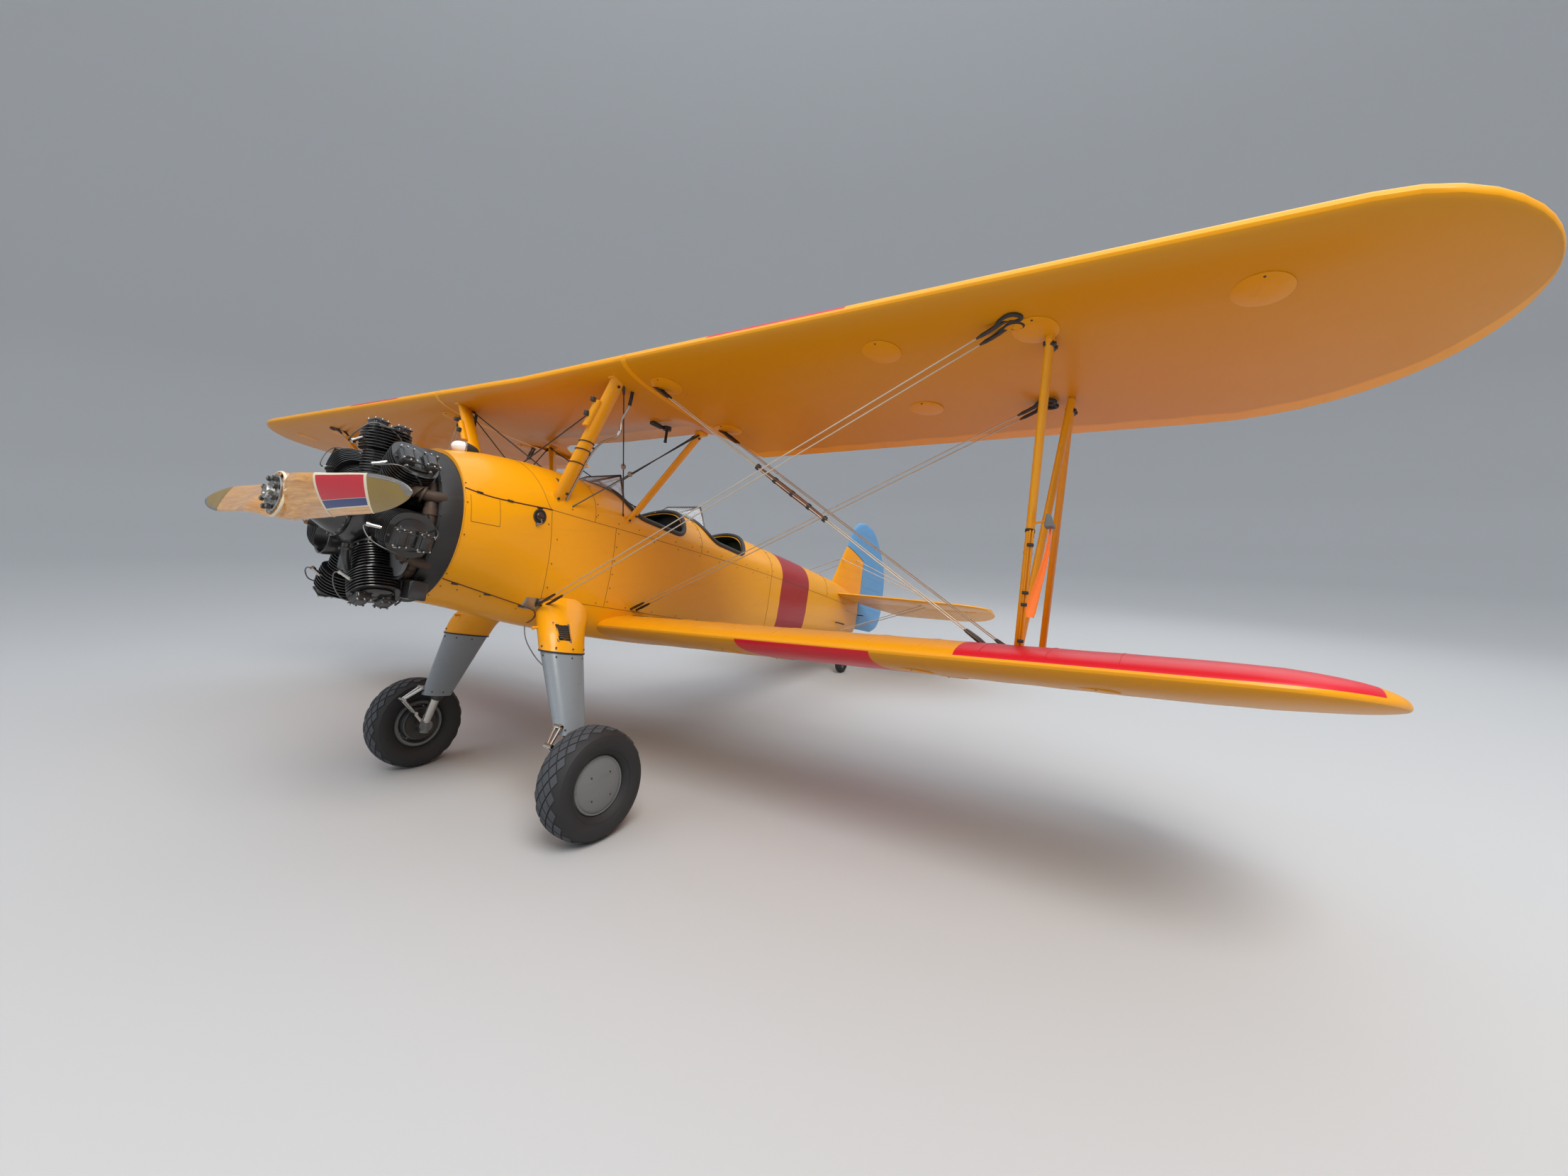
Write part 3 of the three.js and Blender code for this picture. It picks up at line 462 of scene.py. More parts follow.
# Finishes by the slot that they belong to: colour, second colour, roughness and the rest
FINISHES = dict(yellow_paint={"yellow": (YELLOW, AMBER, 0.36, PAINT), "hull": (YELLOW, AMBER, 0.36, PAINT),
    "cover": ((0.72, 0.295, 0.0015), AMBER, 0.42, DOPE), "amber": ((0.62, 0.27, 0.004), AMBER, 0.36, PAINT),
    "cockpit": ((0.085, 0.11, 0.055), (0.05, 0.06, 0.03), 0.6, dict(grime=0.7)),
    "seam": ((0.055, 0.028, 0.006), (0.1, 0.05, 0.01), 0.6, {}),
    "seam red": ((0.085, 0.014, 0.008), (0.14, 0.04, 0.01), 0.5, dict(scale=4.0)),
    "fastener": ((0.3, 0.135, 0.01), (0.12, 0.06, 0.01), 0.4, dict(metal=0.4)),
    "walkway": ((0.022, 0.022, 0.023), (0.05, 0.048, 0.045), 0.85,
    dict(scale=6.0, bump=1.0, blotches=0.8))}, rudder_blue={"blue": ((0.12, 0.33, 0.62), (0.07, 0.22, 0.46),
    0.36, PAINT)}, grey_paint={"grey": ((0.23, 0.26, 0.285), (0.19, 0.215, 0.235), 0.3,
    PAINT | dict(grime=0.2)), "cap grey": ((0.165, 0.17, 0.17), (0.13, 0.135, 0.135), 0.5,
    PAINT | dict(coat=0, grime=0.3))}, engine_black={"engine": ((0.01, 0.01, 0.011), (0.026, 0.024, 0.022),
    0.3, dict(coat=0.5, blotches=0.8, grime=0.5, bump=0.25, scale=3.0)),
    "ring": ((0.009, 0.0093, 0.0097), (0.022, 0.021, 0.02), 0.5, dict(blotches=0.9, grime=0.8, bump=0.2)),
    "exhaust": ((0.046, 0.038, 0.034), (0.105, 0.065, 0.042), 0.62,
    dict(metal=0.5, scale=6.0, blotches=1.2, grime=0.8, bump=0.4))},
    hub_steel={"steel": ((0.46, 0.45, 0.43), (0.25, 0.24, 0.22), 0.34,
    dict(metal=1.0, scale=4.0, blotches=0.6, grime=0.5)), "bright": ((0.62, 0.61, 0.58), (0.4, 0.39, 0.37),
    0.25, dict(metal=1.0, scale=4.0, blotches=0.4)), "tipping": ((0.4, 0.39, 0.37), (0.24, 0.22, 0.2), 0.42,
    dict(metal=0.85, scale=5.0, blotches=0.9, grime=0.9, bump=0.4)),
    "lead": ((0.22, 0.215, 0.21), (0.12, 0.115, 0.11), 0.42, dict(metal=0.9, scale=12.0, bump=0.8,
    blotches=0.9)), "frame brown": ((0.075, 0.045, 0.035), (0.13, 0.09, 0.07), 0.35,
    dict(metal=0.5, scale=4.0))}, wire_steel={"wire": ((0.62, 0.56, 0.46), (0.4, 0.33, 0.24), 0.3,
    dict(metal=0.6, scale=6.0, blotches=0.6)), "dark metal": ((0.045, 0.043, 0.042), (0.1, 0.09, 0.08),
    0.45, dict(metal=0.6, scale=4.0)), "terminal": ((0.055, 0.045, 0.038), (0.11, 0.07, 0.045), 0.42,
    dict(metal=0.7, scale=6.0)), "javelin": ((0.2, 0.065, 0.022), (0.09, 0.03, 0.012), 0.5,
    dict(scale=4.0, blotches=0.8)), "black": ((0.015, 0.015, 0.016), (0.04, 0.038, 0.036), 0.55, {})},
    seat_leather={"leather": ((0.022, 0.018, 0.016), (0.05, 0.04, 0.033), 0.55,
    dict(scale=5.0, bump=0.6, blotches=0.8)), "seat": ((0.085, 0.045, 0.025), (0.045, 0.024, 0.014), 0.5,
    dict(scale=5.0, bump=0.7, blotches=0.9)), "webbing": ((0.3, 0.24, 0.13), (0.16, 0.12, 0.06), 0.8,
    # This near-black serves the instrument faces and also as painted shade in the oil filler and the louvres
    dict(scale=9.0, bump=0.6)), "dial black and painted shade": ((0.01, 0.01, 0.011), (0.02, 0.02, 0.02), 0.35, {}),
    "ivory": ((0.62, 0.6, 0.5), (0.5, 0.48, 0.4), 0.5, {})}, tyre_rubber={"rubber": ((0.011, 0.011, 0.012),
    (0.024, 0.023, 0.023), 0.7, dict(scale=2.0, blotches=0.8, grime=0.4, bump=0.25)),
    "tread": ((0.058, 0.064, 0.076), (0.036, 0.038, 0.043), 0.75,
    dict(scale=4.0, blotches=0.8, grime=0.6, bump=0.4))}, blade_wood={"tip paint": ((0.3, 0.19, 0.024),
    (0.19, 0.115, 0.018), 0.35, dict(scale=4.0, blotches=0.9, grime=0.3, coat=0.3, bump=0.2)),
    "cream": ((0.74, 0.66, 0.5), (0.62, 0.53, 0.37), 0.4, dict(scale=4.0, grime=0.25)),
    "wrap red": ((0.56, 0.014, 0.03), (0.46, 0.012, 0.024), 0.3, dict(scale=3.0, grime=0.15)),
    "wrap blue": ((0.028, 0.045, 0.17), (0.02, 0.03, 0.12), 0.3, dict(scale=3.0, grime=0.15))},
    red_paint={"orange": ((0.95, 0.2, 0.025), (0.8, 0.13, 0.015), 0.7, dict(scale=6.0))})
SLOT = {finish: slot for slot, group in FINISHES.items() for finish in group}
SLOT |= {"upper wing": "yellow_paint", "lower wing": "yellow_paint", "wood": "blade_wood",
    "glass": "windshield_glass", "lamp clear": "hub_steel", "lamp red": "red_paint",
    "lamp green": "red_paint"}


def finishes():
    """Every finish on the aircraft, by a plain name."""
    made = {name: weathered(name, color, dark, rough, **rest)
        for group in FINISHES.values() for name, (color, dark, rough, rest) in group.items()}
    tree = made["hull"].node_tree
    repaint(made["hull"], band(tree, own_axes(tree)[0], *FUSELAGE_BAND), DEEP_RED)
    made["upper wing"] = wing_paint("upper wing", UPPER_WING, RED_TOP_UPPER, None)
    made["lower wing"] = wing_paint("lower wing", LOWER_WING, RED_TOP_LOWER, RED_UNDER_LOWER)
    made["wood"] = blade_wood()
    made["glass"] = material("glass", (0.93, 0.96, 0.97), 0.03, Transmission_Weight=0.78, IOR=1.4,
        Alpha=0.55)[0]
    made["lamp clear"] = material("lamp clear", (0.8, 0.82, 0.84), 0.06, coat=0.8)[0]
    made["lamp red"] = material("lamp red", (0.55, 0.01, 0.01), 0.08, coat=0.6)[0]
    made["lamp green"] = material("lamp green", (0.01, 0.3, 0.08), 0.08, coat=0.6)[0]
    return made


def blade_wood():
    """Varnished laminations: bands of grain that run along the blades."""
    made, tree, shader = material("wood", (0.5, 0.27, 0.095), 0.3, coat=0.7, Coat_Roughness=0.1)
    place = put(tree, "TexCoord", out="Object")
    centred = put(tree, "Mapping", {"Vector": place, "Location": -Vector(HUB)})
    stretched = put(tree, "Mapping", {"Vector": centred, "Scale": (26.0, 0.9, 26.0)})
    waves = noise(tree, centred, 2.2, 2.0, "Color")
    bent = vectors(tree, "MULTIPLY", waves, (1.6, 0.4, 1.6))
    grain_place = vectors(tree, "ADD", stretched, bent)
    grain = noise(tree, grain_place, 3.0, 7.0, Roughness=0.62, Distortion=0.5)
    layers = put(tree, "TexWave", {"Vector": centred, "Scale": 9.0, "Distortion": 1.2, "Detail": 1.5},
        "Fac", bands_direction="X")
    share = maths(tree, "MULTIPLY", maths(tree, "SUBTRACT", grain, 0.36), 2.6, clamp=True)
    toned = mixed(tree, share, (0.84, 0.435, 0.12, 1), (0.44, 0.175, 0.038, 1))
    layered = mixed(tree, maths(tree, "MULTIPLY", layers, 0.35), toned, (0.5, 0.2, 0.045, 1))
    connect(tree, layered, shader["Base Color"])
    rough_skin(tree, shader, grain, 0.08)
    return made


FINISH = finishes()


# Geometry Nodes

def end_tree(tree, given, out, geometry, smooth=None):
    """Every tree ends alike: instances made real, shaded where asked, and given the finish."""
    real = put(tree, "RealizeInstances", {"Geometry": geometry})
    if smooth is not None:
        real = put(tree, "SetShadeSmooth", {"Geometry": real, "Shade Smooth": smooth})
    connect(tree, put(tree, "SetMaterial", {"Geometry": real, "Material": given["Finish"]}), out[0])
    return tree


def line_tree():
    """A round line along each curve."""
    tree, given, out = new_tree("Geometry", "Line", dict(Radius=0.002, Sides=6))
    ring = put(tree, "CurvePrimitiveCircle", {"Resolution": given["Sides"], "Radius": given["Radius"]})
    swept = put(tree, "CurveToMesh", {"Curve": given["Geometry"], "Profile Curve": ring, "Fill Caps": True})
    return end_tree(tree, given, out, swept, True)


def stud_tree():
    """A small round head on each point, standing along the point's facing."""
    tree, given, out = new_tree("Geometry", "Studs", dict(Radius=0.003, Height=0.002, Sides=8, Narrowing=0.7))
    narrow = put(tree, "Math", {0: given["Radius"], 1: given["Narrowing"]}, operation="MULTIPLY")
    head = put(tree, "MeshCone", {"Vertices": given["Sides"], "Radius Top": narrow,
        "Radius Bottom": given["Radius"], "Depth": given["Height"]}, "Mesh")
    facing = put(tree, "InputNamedAttribute", {"Name": "facing"}, data_type="FLOAT_VECTOR")
    turn = put(tree, "AlignRotationToVector", {"Vector": facing}, axis="Z")
    placed = put(tree, "InstanceOnPoints", {"Points": given["Geometry"], "Instance": head, "Rotation": turn})
    return end_tree(tree, given, out, placed, False)


def round_tree():
    """The same part a number of times round an axis."""
    tree, given, out = new_tree("Geometry", "Round", dict(Count=7, Centre=(0, 0, 0), Axis=(1, 0, 0)))
    back = vectors(tree, "SCALE", given["Centre"], -1.0)
    part = put(tree, "Transform", {"Geometry": given["Geometry"], "Translation": back})
    points = put(tree, "Points", {"Count": given["Count"], "Position": given["Centre"]})
    step = maths(tree, "DIVIDE", TAU, given["Count"])
    angle = maths(tree, "MULTIPLY", put(tree, "InputIndex"), step)
    turn = put(tree, "AxisAngleToRotation", {"Axis": given["Axis"], "Angle": angle})
    placed = put(tree, "InstanceOnPoints", {"Points": points, "Instance": part, "Rotation": turn})
    return end_tree(tree, given, out, placed)


def grow(source, tree, name, **values):
    """Runs a tree on an object and returns the result as a plain mesh object at the origin."""
    modifier = source.modifiers.new(tree.name, "NODES")
    modifier.node_group = tree
    sockets = {item.name: item.identifier for item in tree.interface.items_tree
        if item.item_type == "SOCKET" and item.in_out == "INPUT"}
    for label, value in values.items():
        modifier[sockets[label]] = value
    evaluated = source.evaluated_get(bpy.context.evaluated_depsgraph_get())
    mesh = bpy.data.meshes.new_from_object(evaluated)
    mesh.name = name
    bpy.data.objects.remove(source)
    made = bpy.data.objects.new(name, mesh)
    bpy.context.scene.collection.objects.link(made)
    return made


LINE = line_tree()
STUDS = stud_tree()
ROUND = round_tree()


def settle(made, finish, *nodes, body="airframe", slot=None):
    """The last step of each piece: its finish, the body that it rides on and the nodes that it stands for."""
    made.data.materials.clear()
    made.data.materials.append(FINISH[finish])
    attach(made, body)
    slot or SLOT[finish]
    if nodes:
        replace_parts(made, *nodes)
    return made


def fit(name, parts, finish, *nodes, angle=32, hand=1, **rest):
    """A settled piece from several parts of the left side, mirrored for the right hand, -1."""
    return settle(join(name, parts if hand > 0 else [mirrored(part) for part in parts], angle), finish,
        *nodes, **rest)


def lines(name, paths, radius, finish, sides=6, closed=False, **rest):
    """Seams, wires, pipes and leads: one piece of round lines along several paths."""
    curve = bpy.data.curves.new(name, "CURVE")
    curve.dimensions = "3D"
    for path in paths:
        spline = curve.splines.new("POLY")
        spline.points.add(len(path) - 1)
        spline.points.foreach_set("co", [c for p in path for c in (*p, 1)])
        spline.use_cyclic_u = closed
    source = bpy.data.objects.new(name + "_path", curve)
    bpy.context.scene.collection.objects.link(source)
    made = grow(source, LINE, name, Radius=radius, Sides=sides, Finish=FINISH[finish])
    return settle(made, finish, **rest)


def studs(name, places, radius, height, finish, sides=8, narrowing=0.7, **rest):
    """Fastener heads at (point, facing) places."""
    mesh = bpy.data.meshes.new(name + "_places")
    mesh.from_pydata([tuple(point) for point, _ in places], [], [])
    facing = mesh.attributes.new("facing", "FLOAT_VECTOR", "POINT")
    facing.data.foreach_set("vector", [c for _, way in places for c in way])
    source = bpy.data.objects.new(name + "_source", mesh)
    bpy.context.scene.collection.objects.link(source)
    made = grow(source, STUDS, name, Radius=radius, Height=height, Sides=sides, Narrowing=narrowing,
        Finish=FINISH[finish])
    return settle(made, finish, **rest)


def round_axis(name, source, count, finish):
    """A part repeated round the thrust line."""
    made = grow(source, ROUND, name, Count=count, Centre=HUB, Axis=AHEAD, Finish=FINISH[finish])
    return settle(made, finish)


# Fuselage

# Sections: s, half width, top, height of the widest line, bottom, squareness above and below
HULL = (
    (0.767, 0.466, 0.48, 0.014, -0.452, 2, 2),
    (1.0, 0.462, 0.54, 0.06, -0.468, 2, 2.2),
    (1.2, 0.455, 0.57, 0.16, -0.49, 2, 2.6),
    (1.36, 0.448, 0.585, 0.24, -0.51, 2, 3.2),
    (1.9, 0.44, 0.602, 0.28, -0.55, 2, 6),
    (2.8, 0.425, 0.606, 0.28, -0.56, 2, 6.5),
    (3.5, 0.395, 0.606, 0.27, -0.512, 2, 6),
    (4.1, 0.35, 0.58, 0.262, -0.42, 2, 5),
    (5.0, 0.25, 0.545, 0.25, -0.31, 2, 4),
    (6.0, 0.13, 0.488, 0.235, -0.2, 2, 3.5),
    (6.775, 0.04, 0.4, 0.2, -0.112, 2, 3),
)
HULL_SIDES = 120
STRINGERS = (0.26, 0.14, 0.0, -0.15, -0.3)  # heights of the side stringers under the fabric
FABRIC_FROM = 1.95


def hull_section(s, inset=0.0):
    """Half width, top, seam and bottom heights and squarenesses of the hull, brought in by the inset."""
    _, width, top, seam, bottom, square_top, square_bottom = between(HULL, s)
    return width - inset, top - inset, seam, bottom + inset, square_top, square_bottom


def hull_y(s, h, out=0.0):
    """Half width of the hull at a height; out moves it off the skin."""
    width, top, seam, bottom, square_top, square_bottom = hull_section(s, -out)
    power = square_top if h >= seam else square_bottom
    share = (h - seam) / (top - seam) if h >= seam else (seam - h) / (seam - bottom)
    return width * max(0.0, 1 - min(1.0, abs(share)) ** power) ** (1 / power)


def hull_h(s, y, out=0.0):
    """Height of the hull's top at a distance out from its middle."""
    width, top, seam, _, square_top, _ = hull_section(s, -out)
    return seam + (top - seam) * max(0.0, 1 - min(1.0, abs(y) / width) ** square_top) ** (1 / square_top)


def hull_ring(s, inset=0.0):
    width, top, seam, bottom, square_top, square_bottom = hull_section(s, inset)
    ring = []
    for k in range(HULL_SIDES):
        across, up = sin(TAU * k / HULL_SIDES), cos(TAU * k / HULL_SIDES)
        power = 2 / (square_top if up >= 0 else square_bottom)
        reach = top - seam if up >= 0 else seam - bottom
        h = seam + reach * copysign(abs(up) ** power, up)
        y = width * copysign(abs(across) ** power, across)
        if s > FABRIC_FROM and not inset:
            y -= copysign(fabric_sag(h) * min(1, (s - FABRIC_FROM) / 0.3), y)
        ring.append(at(s, y, h))
    return ring


def fabric_sag(h):
    """How far the side fabric pulls in between its stringers."""
    for above, below in zip(STRINGERS, STRINGERS[1:]):
        if below <= h <= above:
            t = (above - h) / (above - below)
            return 0.01 * t * (1 - t)
    return 0.0


def hull(name, start, end, inset=0.0, step=0.05):
    stations = spread(start, end, max(2, round((end - start) / step)))
    return piece(name, *loft([hull_ring(s, inset) for s in stations]))


# Cockpit rims seen from the side, as s and h
RIMS = dict(front=((1.96, 0.7), (1.965, 0.592), (2.085, 0.392), (2.63, 0.357), (2.7, 0.5), (2.815, 0.602),
    (2.83, 0.7)), rear=((2.905, 0.7), (2.91, 0.596), (3.04, 0.4), (3.53, 0.371), (3.605, 0.5),
    (3.725, 0.602), (3.74, 0.7)))
SEATS = dict(front=2.43, rear=3.35)
TUB = Sizes(start=1.76, end=3.9, wall=0.02)
PANELS = dict(front=1.95, rear=2.895)


def rounded(outline, radius, steps=6):
    """An open outline with its inner corners rounded."""
    made = [Vector(outline[0])]
    for before, corner, after in zip(outline, outline[1:], outline[2:]):
        before, corner, after = Vector(before), Vector(corner), Vector(after)
        back, on = before - corner, after - corner
        reach = min(radius, back.length * 0.48, on.length * 0.48)
        start, end = corner + back.normalized() * reach, corner + on.normalized() * reach
        for k in range(steps + 1):
            t = k / steps
            made.append((1 - t) ** 2 * start + 2 * t * (1 - t) * corner + t * t * end)
    return [*made, Vector(outline[-1])]


def rim_path(rim, out=0.0):
    """The closed line round a cockpit opening, on the skin: down the left side and back up the right."""
    side = []
    for a, b in zip(rounded(rim, 0.12), rounded(rim, 0.12)[1:]):
        for k in range(12):
            s, h = a + (b - a) * k / 12
            top = hull_section(s, -out)[1]
            if h < top:
                side.append(at(s, hull_y(s, h, out), h))
    ends = [at(own(side[k])[0], 0, hull_section(own(side[k])[0], -out)[1]) for k in (0, -1)]
    half = evenly([ends[0], *side, ends[1]], 0.02)
    return half[:-1] + other_side(reversed(half))[:-1]


def evenly(path, step):
    """The same path with its points about a step apart."""
    lengths = [0.0]
    for a, b in zip(path, path[1:]):
        lengths.append(lengths[-1] + (b - a).length)
    count = max(2, round(lengths[-1] / step))
    made, k = [], 0
    for i in range(count + 1):
        where = lengths[-1] * i / count
        while k + 2 < len(lengths) and lengths[k + 1] < where:
            k += 1
        share = (where - lengths[k]) / max(1e-9, lengths[k + 1] - lengths[k])
        made.append(path[k].lerp(path[k + 1], min(1, share)))
    return made


def front_fuselage():
    shell = hull("fuselage_front_skin", FIREWALL, HULL_SPLIT)
    tools = [hull("tub", TUB.start, TUB.end, TUB.wall)]
    for rim in RIMS.values():
        tools.append(slab(rounded(rim, 0.12), seen_from_side, -0.6, 0.6))
    carve(shell, *tools)
    settle(shell, "hull", "fuselage_front")
    lining = hull("cockpit_lining", TUB.start + 0.005, TUB.end - 0.005, TUB.wall - 0.004)
    inner = hull("inner", TUB.start + 0.01, TUB.end - 0.01, TUB.wall + 0.003)
    prisms = [slab([p + Vector((0, -0.012)) for p in rounded(rim, 0.12)], seen_from_side, -0.6, 0.6)
        for rim in RIMS.values()]
    carve(lining, inner, *prisms)
    settle(lining, "cockpit")
    for name, s in PANELS.items():
        board = hull("board", s - 0.01, s + 0.01, 0.021, step=0.02)
        carve(board, block((s - 0.02, s + 0.02), (-0.5, 0.5), (0.17, 0.62)), operation="INTERSECT")
        board.name = f"instrument_board_{name}"
        settle(board, "black", slot="yellow_paint")
    floor = hull("cockpit_floor", TUB.start + 0.04, TUB.end - 0.04, 0.022)
    carve(floor, block((1.7, 4.0), (-0.5, 0.5), (-0.43, -0.4)), operation="INTERSECT")
    settle(floor, "cockpit")
    coaming = [tube(rim_path(rim, 0.001), 0.019, 12, closed=True) for rim in RIMS.values()]
    fit("cockpit_coaming", coaming, "leather")


def rear_fuselage():
    skin = hull("fuselage_rear_skin", HULL_SPLIT + SEAT_GAP, HULL_END)
    post = bar((RUDDER_HINGE, 0, -0.4), (RUDDER_HINGE, 0, 0.6), 0.046, 32)
    s, h = ELEVATOR_HINGE.s, ELEVATOR_HINGE.h
    bore = bar((s, -0.2, h), (s, 0.2, h), 0.021, 24)
    carve(skin, post, bore)
    fit("tail_post_lug", rudder_lug(RUDDER_LUGS[0]), "dark metal", slot="grey_paint")
    return settle(skin, "hull", "fuselage_rear")


def nose_cowl():
    settle(hull("cowl_skin", COWL_FRONT, FIREWALL - SEAT_GAP, step=0.04), "hull", "nose_cowl")
    profile = [(0.186, 0.655), (0.3, 0.649), (0.425, 0.64), (0.44, 0.642), (0.452, 0.652), (0.46, 0.68),
        (0.4645, 0.72), (0.465, 0.7667), (0.186, 0.7667), (0.186, 0.655)]
    plate = piece("ring_plate", *turned_section(at(0, 0, 0), -AHEAD, profile, 96))
    return settle(plate, "ring", "engine_ring")


# Wings

def camber_at(x):
    k = CAMBER_PLACE
    return CAMBER / k ** 2 * (2 * k * x - x * x) if x < k else CAMBER / (1 - k) ** 2 * (1 - 2 * k + 2 * k *
        x - x * x)


def half_thickness_at(x):
    return 5 * THICKNESS * (0.2969 * sqrt(x) - 0.126 * x - 0.3516 * x ** 2 + 0.2843 * x ** 3 - 0.1036 * x **
        4)


def wing_point(wing, y, x, z):
    along, turn = x * CHORD, wing.incidence
    return at(wing.s + along * cos(turn) + z * sin(turn), y, wing.h + wing.dihedral * abs(y) - along *
        sin(turn) + z * cos(turn))


def wing_skin(wing, y, x, side, out=0.0):
    """A point of the wing's upper (1) or lower (-1) skin away from the tip."""
    z = CHORD * (camber_at(x) + side * half_thickness_at(x)) + side * (TRAIL_EDGE * x + out)
    return wing_point(wing, y, x, z)


WING_STEPS = 26
SAG = 0.0022  # how far the fabric dips between two ribs
STIFF_EDGE = 0.13  # share of the chord, behind the leading edge, that has a stiff skin


def wing_ring(wing, y, lead, trail, truncated=False):
    size = 1 if truncated else trail - lead
    bay = abs(sin(pi * (abs(y) - wing.root) / RIB_PITCH)) if not truncated else 0

    def point(u, side):
        x = u * trail if truncated else u
        taper = min(1, (1 - u) / 0.4) if truncated else 1
        z = CHORD * size * (camber_at(x) + side * half_thickness_at(x) * taper) + side * TRAIL_EDGE * size * u
        dip = SAG * size * bay * max(0, min(1, (u - STIFF_EDGE) / 0.12)) * min(1, (1 - u) / 0.15)
        return wing_point(wing, y, lead + (trail - lead) * u, z - side * dip)

    stations = [(1 - cos(pi * k / WING_STEPS)) / 2 for k in range(WING_STEPS + 1)]
    return [point(u, 1) for u in reversed(stations[1:])] + [point(u, -1) for u in stations]


def tip_inset(y, start, end, most):
    t = max(0.0, min(1.0, (y - start) / (end - start)))
    return most * (1 - sqrt(1 - t * t))


def wing_panel(wing, root):
    """The left panel from its root to its rounded tip, as points and faces."""
    straight = spread(root, wing.trail_curve, round((wing.trail_curve - root) / (RIB_PITCH / 6)))
    round_part = [wing.trail_curve + (wing.half_span - wing.trail_curve) * sin(radians(a))
        for a in (8, 16, 24, 32, 39, 46, 52, 58, 63, 68, 72, 76, 79, 82, 84.5, 86.5, 88)]
    return loft([wing_ring(wing, y, tip_inset(y, wing.lead_curve, wing.half_span, TIP_PLACE),
        1 - tip_inset(y, wing.trail_curve, wing.half_span, 1 - TIP_PLACE)) for y in [*straight, *round_part]])


# Half span and where the centre section's trailing edge lies, cut away above the cockpit
CUT_OUT = ((0.76, 0.7), (0.87, 0.735), (0.945, 0.81), (1.0, 0.91), (1.03, 0.985))


def centre_section():
    half = [between(CUT_OUT, y) for y in spread(CUT_OUT[0][0], CUT_OUT[-1][0], 18)]
    stations = [(-y, trail) for y, trail in reversed(half)] + [(0, CUT_OUT[0][1])] + [tuple(row)
        for row in half]
    return loft([wing_ring(UPPER_WING, y, 0, trail, truncated=True) for y, trail in stations])


def aileron_hinge(y):
    return wing_point(LOWER_WING, y, AILERON.hinge, CHORD * camber_at(AILERON.hinge))


def aileron_regions(y0, y1, nose):
    corners = [(AILERON.hinge, 0.15), (AILERON.hinge, -0.15), (1.1, -0.15), (1.1, 0.15)]
    behind = loft([[wing_point(LOWER_WING, y, x, z) for x, z in corners] for y in (y0, y1)])
    return behind, rod(aileron_hinge(y0), aileron_hinge(y1), nose, 40)


def wings():
    for side, hand in SIDES:
        sided = SIDED[hand]
        fit(f"upper_wing_skin_{side}", [wing_panel(UPPER_WING, UPPER_WING.root)], "upper wing",
            f"wing_upper_{side}", hand=hand)
        inner, outer, gap = AILERON.inner, AILERON.outer, AILERON.end_gap
        lower = piece(f"lower_wing_skin_{side}", *sided(wing_panel(LOWER_WING, LOWER_WING.root)))
        regions = aileron_regions(inner - gap, outer + gap, AILERON.nose + AILERON.gap)
        carve(lower, *[sided(region) for region in regions], hull("belly", 1.7, 3.6, -SEAT_GAP, step=0.1))
        settle(lower, "lower wing", f"wing_lower_{side}")
        pins = [rod(aileron_hinge(y0), aileron_hinge(y1), 0.009, 16)
            for y0, y1 in ((inner - gap - 0.02, inner - 0.0004), (outer + 0.0004, outer + gap + 0.02))]
        fit(f"aileron_pins_{side}", pins, "steel", slot="wire_steel", hand=hand)
        whole = piece("whole", *sided(wing_panel(LOWER_WING, LOWER_WING.root)))
        behind, nose = (piece("region", *sided(region)) for region in aileron_regions(inner, outer,
            AILERON.nose))
        carve(behind, nose, operation="UNION")
        carve(whole, behind, operation="INTERSECT")
        whole.name = f"aileron_skin_{side}"
        settle(whole, "lower wing", f"aileron_{side}", body=f"aileron_{side}")
    fit("upper_wing_centre_skin", [centre_section()], "upper wing", "wing_upper_centre")


# Struts

def stream_ring(s, y, h, chord, thickness, sides=28):
    ring = []
    for angle in around(sides):
        swell = 1 + 0.25 * cos(angle)
        ring.append(at(s - 0.5 * chord * cos(angle), y + 0.5 * thickness * sin(angle) * swell, h))
    return ring


def strut(foot, head, chord, thickness):
    return loft([stream_ring(*foot, chord, thickness), stream_ring(*head, chord, thickness)])


CABANE = dict(front=((1.404, 0.374, 0.27), (1.361, 0.868, 1.096), 0.105, 0.062),
    rear=((2.006, 0.393, 0.28), (2.181, 0.868, 1.046), 0.066, 0.038))
INTERPLANE = Sizes(top=3.352, bottom=3.2, front=0.245, rear=0.674, chord=0.084, thickness=0.038)


def wing_end(wing, y, x, z):
    return own(wing_point(wing, y, x, z))


def interplane_bars():
    size = INTERPLANE
    heads = [wing_end(UPPER_WING, size.top, x, -0.05) for x in (size.front, size.rear)]
    feet = [wing_end(LOWER_WING, size.bottom, x, 0.05) for x in (size.front, size.rear)]
    return (heads[0], feet[0]), (heads[1], feet[1]), (heads[1], feet[0])


def struts():
    for side, hand in SIDES:
        for place, (foot, head, chord, thickness) in CABANE.items():
            fit(f"cabane_strut_{place}_{side}", [strut(foot, head, chord, thickness)], "yellow",
                f"cabane_{place}_{side}", hand=hand)
        bars = [strut(foot, head, INTERPLANE.chord, INTERPLANE.thickness)
            for head, foot in interplane_bars()]
        fit(f"interplane_bars_{side}", bars, "yellow", f"interplane_struts_{side}", hand=hand)


# Main gear

